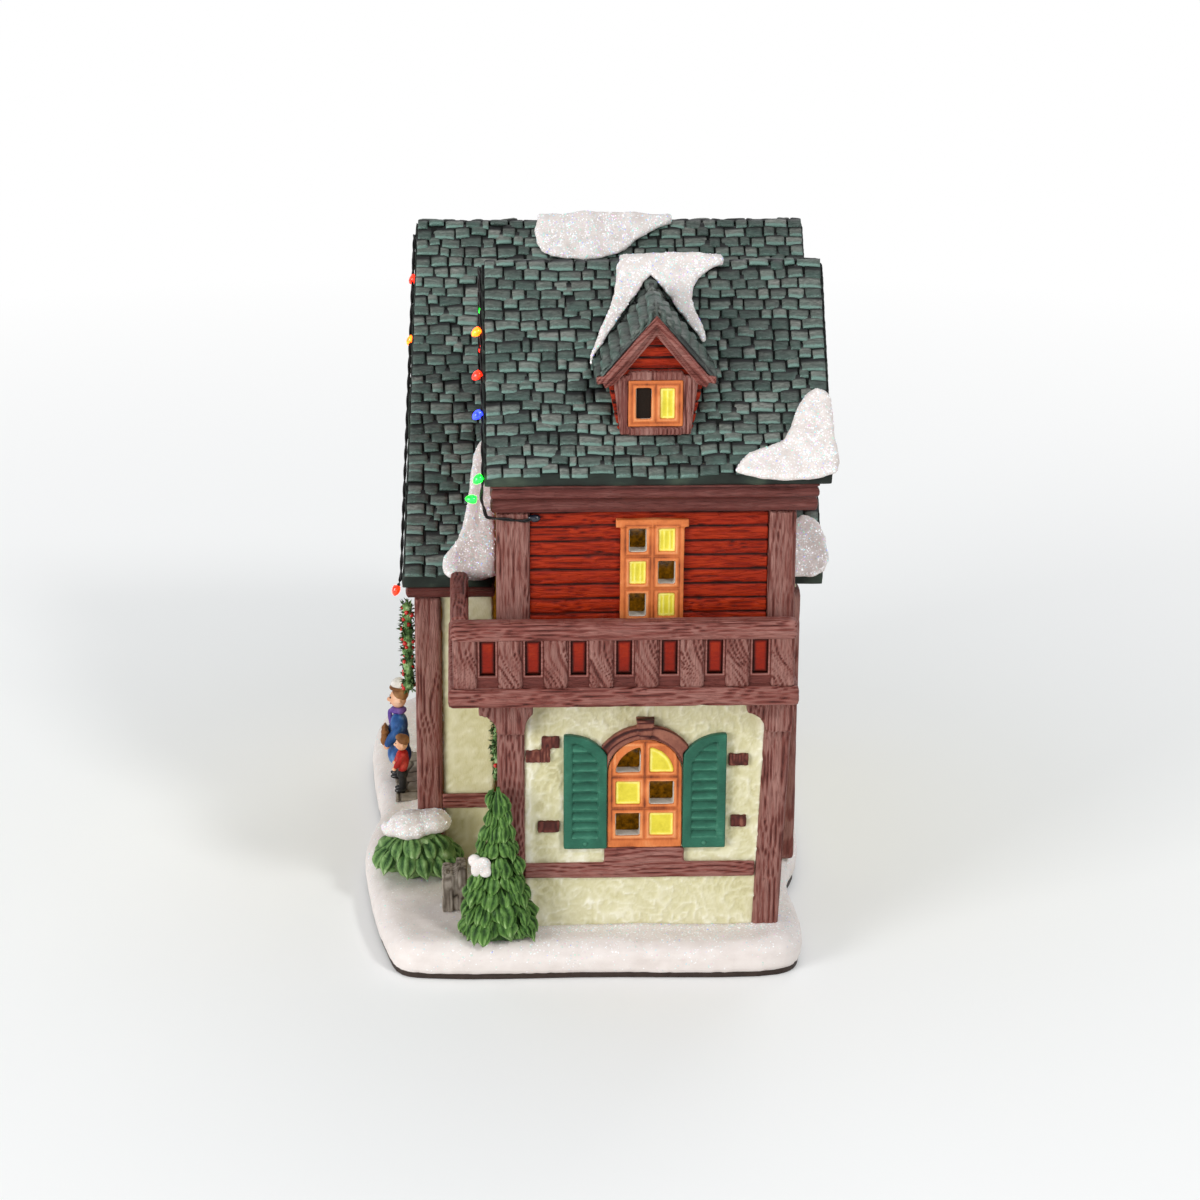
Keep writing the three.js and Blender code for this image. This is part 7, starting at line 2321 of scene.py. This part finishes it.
class LightStrings:
    """Two strings of bulbs that follow the front verges."""

    def led(self) -> Shell:
        """A bulb round its own origin, its tip along Z."""
        sides, profile = 12, [(0.45, -1.0), (1.15, -0.8), (1.4, 0.1), (1.35, 1.0), (1.0, 1.9), (0.4, 2.5)]
        turn = np.linspace(0, 2 * math.pi, sides, endpoint=False)
        points = [[r * math.cos(t), r * math.sin(t), z] for r, z in profile for t in turn]
        number, quads = tube(len(profile), sides)
        first, last = number[0], number[-1]
        points += [[0, 0, profile[0][1]], [0, 0, profile[-1][1] + 0.2]]
        count = len(profile) * sides
        for k in range(0, sides, 2):
            quads.append([first[(k + 2) % sides], first[k + 1], first[k], count])
            quads.append([last[k], last[k + 1], last[(k + 2) % sides], count + 1])
        return Shell(np.array(points), np.array(quads), np.full(len(points), 0.6))

    @staticmethod
    def slope_place(slope: Slope, x: float, y: float) -> list[float]:
        """Place on the verge under the edge of the shingles."""
        rise = abs(y - slope.eave[0]) * math.tan(math.radians(slope.pitch))
        return [x, y, slope.eave[1] + rise - 2.7]

    def build(self) -> None:
        """Make the leads, the glue drops and the bulbs."""
        wing_x = -36.7
        wing = [(WING_NEAR, -7.1, Bulb.GREEN), (WING_NEAR, 6.4, Bulb.BLUE), (WING_NEAR, 14.8, Bulb.RED),
                (WING_NEAR, 24.1, Bulb.AMBER), (WING_FAR, 51.6, Bulb.GREEN), (WING_FAR, 65.6, Bulb.RED)]
        bulbs = [(self.slope_place(s, wing_x + (0.0 if s is WING_NEAR else 1.6), y),
                  (-0.75, 0, -0.65) if s is WING_NEAR else (-0.1, 0.6, -0.8), colour)
                 for s, y, colour in wing]
        bulbs.append(([-38.6, -6.3, 158.0], (-1, 0, 0.1), Bulb.GREEN))
        main = [(MAIN_NEAR, 0.25, Bulb.BLUE), (MAIN_NEAR, 0.46, Bulb.GREEN), (MAIN_NEAR, 0.68, Bulb.AMBER),
                (MAIN_NEAR, 0.855, Bulb.RED), (MAIN_FAR, 0.1, Bulb.GREEN), (MAIN_FAR, 0.33, Bulb.RED),
                (MAIN_FAR, 0.56, Bulb.BLUE), (MAIN_FAR, 0.8, Bulb.AMBER)]
        for slope, share, colour in main:
            y = slope.eave[0] + share * (slope.ridge - slope.eave[0])
            near = slope is MAIN_NEAR and share > 0.6
            way = (-0.6, 0, -0.8) if near else (-0.1, 0.6 * slope.way * -1, -0.8)
            x = -61.6 + 5 * share + (0.0 if near else 1.8)
            bulbs.append((self.slope_place(slope, x, y), way, colour))
        bulbs.append(([-63.4, 43.0, 112.0], (-0.3, -0.2, -1), Bulb.RED))
        on_wing = len(wing) + 1
        strings = {"light_string_wing": (bulbs[:on_wing], self.wing_run()),
                   "light_string_main": (bulbs[on_wing:], self.main_run())}
        for node, (lamps, run) in strings.items():
            lead = self.lead(run)
            shells = [(lead, "lead")]
            x, y, z = run[0]
            drops = [ball(run[0], (1.7, 1.1, 1.3)), ball((x - 1.2, y, z + 0.3), (1.3, 0.9, 0.8))]
            glue = evenly(joined(drops), 0.3, 1)
            glue.relief = np.full(len(glue.points), 0.5)
            shells.append((glue, "glue"))
            for colour in Bulb:
                own = [(p, d) for p, d, c in lamps if c is colour]
                if own:
                    turns = [list(Vector(d).to_track_quat("Z", "Y").to_euler()) for _, d in own]
                    shell = repeater().repeat(self.led(), np.array([p for p, _ in own], float),
                                              np.full((len(own), 3), 0.95), np.array(turns))
                    shells.append((shell, colour.value))
            tinted(node + "_lit", shells, [node])

    def wing_run(self) -> list[list[float]]:
        """Path of the wing's lead."""
        low = 152.0
        run = [[-19.9, -1.0, low - 2], [-23.6, -2.2, low - 2.4], [-29.5, -2.6, low - 1.6],
               [-34.6, -3.6, low - 0.6], [-35.6, -5.2, low + 3.2], [-36.3, -6.4, low + 6.4]]
        run += [self.slope_place(WING_NEAR, -35.8, y) for y in np.linspace(-7.5, 35.6, 6)]
        run.append([-36.2, 37.6, 218.7])
        run += [self.slope_place(WING_FAR, -36.2, y) for y in np.linspace(39.6, 76.8, 4)]
        return run

    def main_run(self) -> list[list[float]]:
        """Path of the main house's lead."""
        run = [[-55.6, 182.6, 112.0], [-59.4, 190.6, 109.6]]
        for slope, ys in ((MAIN_FAR, np.linspace(202.6, 126.3, 7)), (MAIN_NEAR, np.linspace(120.3, 44.0, 7))):
            for y in ys:
                share = (y - slope.eave[0]) / (slope.ridge - slope.eave[0])
                run.append(self.slope_place(slope, -62.1 + 5 * share, y))
        run.append([-62.9, 43.0, 112.6])
        return run

    @staticmethod
    def lead(run: Sequence[Sequence[float]], radius: float = 0.3, sides: int = 8) -> Shell:
        """Two thin strands twisted along a path."""
        spots = np.array(run, float)
        fine = []
        for k in range(len(spots) - 1):
            p0, p1 = spots[max(k - 1, 0)], spots[k]
            p2, p3 = spots[k + 1], spots[min(k + 2, len(spots) - 1)]
            steps = max(3, int(np.linalg.norm(p2 - p1) / 1.1))
            for t in np.arange(steps) / steps:
                m1, m2 = (p2 - p0) * 0.25, (p3 - p1) * 0.25
                fine.append((2 * t ** 3 - 3 * t ** 2 + 1) * p1 + (t ** 3 - 2 * t ** 2 + t) * m1
                            + (3 * t ** 2 - 2 * t ** 3) * p2 + (t ** 3 - t ** 2) * m2)
        fine.append(spots[-1])
        path = np.array(fine)
        way = np.gradient(path, axis=0)
        way = way / np.linalg.norm(way, axis=1, keepdims=True)
        side = np.cross(way, [0.3, 0.2, 1.0])
        side = side / np.linalg.norm(side, axis=1, keepdims=True)
        up = np.cross(side, way)
        turn = np.linspace(0, 2 * math.pi, sides, endpoint=False)
        length = np.concatenate([[0], np.cumsum(np.linalg.norm(np.diff(path, axis=0), axis=1))])
        shells = []
        for strand in (0.0, math.pi):
            twist = length * 0.5 + strand
            middle = path + (np.cos(twist)[:, None] * side + np.sin(twist)[:, None] * up) * radius * 0.9
            cosine, sine = np.cos(turn)[None, :, None], np.sin(turn)[None, :, None]
            ring = (cosine * side[:, None] + sine * up[:, None]) * radius
            points = (middle[:, None] + ring).reshape(-1, 3)
            number, quads = tube(len(path), sides)
            for ends, flip in ((number[0], False), (number[-1], True)):
                for k in range(1, sides - 2, 2):
                    quad = [ends[0], ends[k + 2], ends[k + 1], ends[k]]
                    quads.append(quad[::-1] if flip else quad)
            shells.append(Shell(points, np.array(quads), np.full(len(points), 0.6)))
        return merged(shells)


# Garland and figures
class Garland:
    """Fir garlands with red berries on the corner post and on the wing's front."""

    @staticmethod
    def leaf() -> Shell:
        """A narrow leaf, its tip along Z."""
        points = np.array([[0, 0, -0.2], [0.5, 0.12, 0.9], [0, 0.05, 2.4], [-0.5, 0.12, 0.9],
                           [0, -0.25, 0.9]])
        faces = np.array([[0, 1, 2, 3], [0, 3, 2, 4], [0, 4, 2, 1]])
        return Shell(points, faces, np.array([0.2, 0.6, 0.95, 0.6, 0.3]))

    def build(self) -> None:
        """Make both garlands."""
        core = carved(["garland"], 0.5, 2)
        small = evenly(joined([ball((-32.3 + 0.3 * math.sin(k), 9.4 + 0.6 * math.cos(k * 1.7), 60 + 2.3 * k),
                                    (1.2, 1.5, 1.6)) for k in range(11)]), 0.5, 1)
        for name, shell, nodes, seed in (("garland_post", core, ["garland"], 111),
                                         ("garland_wing", small, [], 112)):
            shell.carve(leaves(shell.points, 2.0, seed), 0.6)
            evenly_dense = np.ones(len(shell.points))
            twigs = scatter().strew(shell, evenly_dense, self.leaf(), 0.9, (0.5, 0.9), 0.9, seed)
            berry = evenly(ball((0, 0, 0), (0.8, 0.8, 0.8)), 0.32, 0)
            berry.relief = np.full(len(berry.points), 0.7)
            berries = scatter().strew(shell, evenly_dense, berry, 0.07, (0.8, 1.1), 0.2, seed + 5)
            tinted(name, [(shell, "bush"), (twigs, "bush"), (berries, "berry")], nodes)


Lump = tuple[str, Sequence[float], Sequence[float], tuple[float, float, float]]


def lump(finish: str, middle: Sequence[float], radii: Sequence[float], lean: float = 0.0) -> list[Lump]:
    """One lump of a figure, leaning about Y by so many degrees."""
    return [(finish, middle, radii, (0.0, lean, 0.0))]


def pair(finish: str, middle: Sequence[float], radii: Sequence[float], lean: float = 0.0) -> list[Lump]:
    """Two lumps beside each other, the nearer one first."""
    x, y, z = middle
    return lump(finish, (x, -y, z), radii, lean) + lump(finish, middle, radii, lean)


@dataclass
class Figure(NodePiece):
    """A small painted figure.

    Attributes:
        slot: name of its material slot; not used.
        foot: x, y and z of its feet.
        parts: lumps: finish, middle from the feet, radii, turn in degrees.
    """

    slot: str
    foot: tuple[float, float, float]
    parts: Sequence[Lump]

    def build(self) -> None:
        """Make the figure of its lumps."""
        groups: dict[str, list[bpy.types.Mesh]] = {}
        for finish, middle, radii, turn in self.parts:
            place = np.array(self.foot) + np.array(middle)
            groups.setdefault(finish, []).append(ball(place, radii, turn))
        shells = []
        for finish, lumps in groups.items():
            small = finish in ("eye", "mouth")
            shell = evenly(joined(lumps), 0.12, 1) if small else evenly(joined(lumps), 0.3, 2)
            folds = rough_noise(shell.points, (2.2, 2.2, 4.0), 3, 121)
            cloth = finish.endswith("cloth") or finish == "trousers"
            shell.carve(np.clip(0.25 + 0.9 * folds, 0, 1), 0.5 if cloth else 0.15 * (not small))
            shells.append((shell, finish))
        tinted(self.name, shells, [self.node])


class Figures:
    """Grown-up with toys and child, in front of the door."""

    def build(self) -> None:
        """Make both."""
        Figure("figure_grown", "figure_adult", "figure_blue", (-65.1, 121.4, 13.2), [
            *pair("trousers", (0, 1.7, 3.6), (1.7, 1.6, 4.2)),
            *pair("boot", (-0.9, 1.8, 0.9), (2.6, 1.3, 1.1)),
            *lump("blue_cloth", (0, 0, 13.5), (3.7, 4.9, 8.6)),
            *lump("blue_cloth", (0, 0, 9.0), (4.4, 5.3, 5.0)),
            *lump("blue_cloth", (0, 0, 20.0), (3.3, 5.3, 4.6)),
            *pair("blue_cloth", (-2.2, 4.6, 17.0), (1.9, 1.9, 5.2), 35),
            *lump("scarf_cloth", (-0.2, 0, 25.4), (3.1, 3.3, 1.5)),
            *lump("scarf_cloth", (-3.0, 0.9, 21.8), (1.0, 1.2, 3.8), -8),
            *lump("skin", (-0.2, 0, 29.8), (3.0, 2.8, 3.7)),
            *lump("skin", (-3.4, 0, 29.4), (0.9, 0.65, 0.95)),
            *pair("skin", (-4.4, 4.4, 13.4), (1.2, 1.2, 1.3)),
            *pair("skin", (0.3, 2.8, 29.6), (0.6, 0.6, 0.95)),
            *pair("eye", (-2.85, 1.1, 30.4), (0.42, 0.36, 0.4)),
            *lump("mouth", (-2.75, 0, 27.9), (0.4, 0.85, 0.24)),
            *lump("hair", (0.6, 0, 31.6), (3.0, 3.1, 3.0)), *lump("hair", (-0.1, 0, 33.8), (3.3, 3.3, 1.1)),
            *lump("white_cloth", (0.1, 0, 35.2), (2.9, 2.9, 2.3)),
            *lump("toy", (-4.8, -2.4, 14.8), (1.9, 1.9, 2.2)),
            *lump("toy", (-5.0, -2.4, 18.0), (1.5, 1.5, 1.5)),
            *lump("toy", (-5.0, -3.5, 19.3), (0.6, 0.6, 0.6)),
            *lump("toy", (-5.0, -1.3, 19.3), (0.6, 0.6, 0.6)),
            *lump("toy", (-4.8, 2.2, 14.6), (1.8, 1.8, 2.1)),
            *lump("toy", (-5.0, 2.2, 17.6), (1.4, 1.4, 1.4)),
            *lump("toy", (-5.0, 1.2, 18.8), (0.55, 0.55, 0.55)),
            *lump("toy", (-5.0, 3.2, 18.8), (0.55, 0.55, 0.55)),
        ]).build()
        Figure("figure_small", "figure_child", "figure_red", (-63.9, 108.3, 13.2), [
            *pair("trousers", (0, 1.3, 3.6), (1.5, 1.4, 4.4)),
            *lump("trousers", (0, 0, 6.6), (2.1, 2.7, 2.2)),
            *pair("boot", (-0.8, 1.4, 0.8), (2.2, 1.2, 1.0)),
            *lump("red_cloth", (0, 0, 11.4), (2.5, 3.2, 4.3)),
            *lump("red_cloth", (0, 0, 13.6), (2.3, 3.4, 2.3)),
            *pair("red_cloth", (-1.4, 3.0, 11.8), (1.2, 1.2, 3.1), 30),
            *lump("skin", (-0.2, 0, 17.9), (2.2, 2.1, 2.6)),
            *lump("skin", (-2.45, 0, 17.6), (0.65, 0.5, 0.7)),
            *pair("skin", (-2.8, 2.9, 9.6), (0.9, 0.9, 0.9)),
            *pair("skin", (0.2, 2.1, 17.7), (0.5, 0.5, 0.75)),
            *pair("eye", (-2.05, 0.8, 18.3), (0.34, 0.29, 0.32)),
            *lump("mouth", (-2.0, 0, 16.5), (0.32, 0.62, 0.2)),
            *lump("hair", (0.4, 0, 19.3), (2.3, 2.4, 2.1)), *lump("hair", (-0.6, 0, 20.4), (1.8, 2.2, 1.1)),
        ]).build()


# Stage
@dataclass
class Stage:
    """Floor, lights and camera.

    Attributes:
        elevation: camera above the level, in degrees.
        turn: camera turned towards +X, in degrees.
        roll: camera rolled, in degrees.
        distance: camera from its target, in metres.
        lens: focal length on a 36 mm sensor.
        target: what it looks at, in the building's millimetres.
    """

    elevation: float = 20.0
    turn: float = 2.5
    roll: float = 0.3
    distance: float = 1.0
    lens: float = 97.5
    target: tuple[float, float, float] = (0.0, 0.0, 123.0)

    def camera(self) -> None:
        """Set the camera at the photograph's angle."""
        e, y, r = (math.radians(v) for v in (self.elevation, self.turn, self.roll))
        ahead = Vector((math.sin(y) * math.cos(e), math.cos(y) * math.cos(e), -math.sin(e)))
        right = Vector((math.cos(y), -math.sin(y), 0.0))
        up = right.cross(ahead)
        right, up = right * math.cos(r) + up * math.sin(r), up * math.cos(r) - right * math.sin(r)
        target = Vector((np.array(self.target) + SHIFT) * MM)
        data = bpy.data.cameras.new("camera")
        data.lens = self.lens
        data.sensor_width = 36.0
        data.clip_start, data.clip_end = 0.05, 20.0
        camera = link("camera", data)
        turned = Matrix((right, up, -ahead)).transposed().to_4x4()
        camera.matrix_world = Matrix.Translation(target - ahead * self.distance) @ turned
        bpy.context.scene.camera = camera

    def lamp(self, name: str, place: Sequence[float], size: float, power: float) -> None:
        """Add a soft square lamp that looks at the house.

        Args:
            name: name of the lamp.
            place: its place in metres.
            size: length of its sides.
            power: its power in watts.
        """
        data = bpy.data.lights.new(name, "AREA")
        data.size = size
        data.energy = power
        lamp = link(name, data)
        aim = Vector((0.0, 0.0, 0.1)) - Vector(place)
        lamp.matrix_world = Matrix.Translation(place) @ aim.to_track_quat("-Z", "Y").to_matrix().to_4x4()

    def world(self) -> None:
        """White for the camera and through glass, a plain grey light for the rest."""
        world = bpy.data.worlds.new("studio")
        bpy.context.scene.world = world
        world.use_nodes = True
        g = NodeWork()
        g.tree = world.node_tree
        g.tree.nodes.clear()
        path = g.add("ShaderNodeLightPath").outputs
        most = g.sum("MAXIMUM", path["Is Camera Ray"], path["Is Transmission Ray"])
        light = g.add("ShaderNodeBackground", {"Color": (0.93, 0.96, 1.0, 1.0), "Strength": 0.62})
        white = g.add("ShaderNodeBackground", {"Color": (1.0, 1.0, 1.0, 1.0), "Strength": 1.0})
        mix = g.add("ShaderNodeMixShader", {0: most, 1: light.outputs[0], 2: white.outputs[0]})
        g.add("ShaderNodeOutputWorld", {0: mix.outputs[0]})

    def floor(self) -> None:
        """Pale floor that fades into the white far away."""
        form = bmesh.new()
        bmesh.ops.create_circle(form, cap_ends=True, radius=3.0, segments=96)
        mesh = mesh_of(form, "floor")
        mesh.transform(Matrix.Translation((0, 0, -0.0002)))
        floor = link("floor", mesh)
        g = Graph("floor_white")
        place = g.add("ShaderNodeTexCoord").outputs["Object"]
        away = g.add("ShaderNodeVectorMath", {0: place}, operation="LENGTH").outputs["Value"]
        share = g.add("ShaderNodeMapRange", {"Value": away, "From Min": 0.18, "From Max": 0.8}).outputs[0]
        matt = g.add("ShaderNodeBsdfDiffuse", {"Color": rgb("F6F6F4")})
        white = g.add("ShaderNodeEmission", {"Color": (1, 1, 1, 1), "Strength": 1.0})
        path = g.add("ShaderNodeLightPath")
        seen = g.sum("MULTIPLY", share, path.outputs["Is Camera Ray"])
        mix = g.add("ShaderNodeMixShader", {0: seen, 1: matt.outputs[0], 2: white.outputs[0]})
        g.add("ShaderNodeOutputMaterial", {"Surface": mix.outputs[0]})
        mesh.materials.append(g.material)

    def build(self) -> None:
        """Set the stage."""
        self.camera()
        self.world()
        self.floor()
        self.lamp("key", (0.95, -1.4, 1.4), 0.3, 13.0)
        self.lamp("fill", (-1.75, -1.45, 0.55), 1.0, 34.0)
        self.lamp("back", (0.5, 1.4, 1.5), 1.0, 6.0)
        bpy.context.scene.view_settings.view_transform = "Standard"


def main() -> None:
    """Build every sub-assembly in order."""
    Stage().build()
    PlainPieces().build()
    Roofs().build()
    SnowBase().build()
    drifts = {"main_ridge_drift": "main_ridge_snow", "wing_ridge_drift": "wing_ridge_snow",
              "wing_corner_drift": "wing_corner_snow", "valley_drift": "main_eave_snow",
              "main_corner_drift": "main_corner_snow"}
    for name, node in drifts.items():
        SnowLayer(name, node).build()
    SnowLayer("bush_cap", "bush_snow", voxel=0.6).build()
    for part in (WingFace, PlainWalls, Timbers, Balcony, Windows, Dormer, FirTree, Bush, Ground, Garland,
                 Figures, LightStrings):
        part().build()


if __name__ == "__main__":
    main()
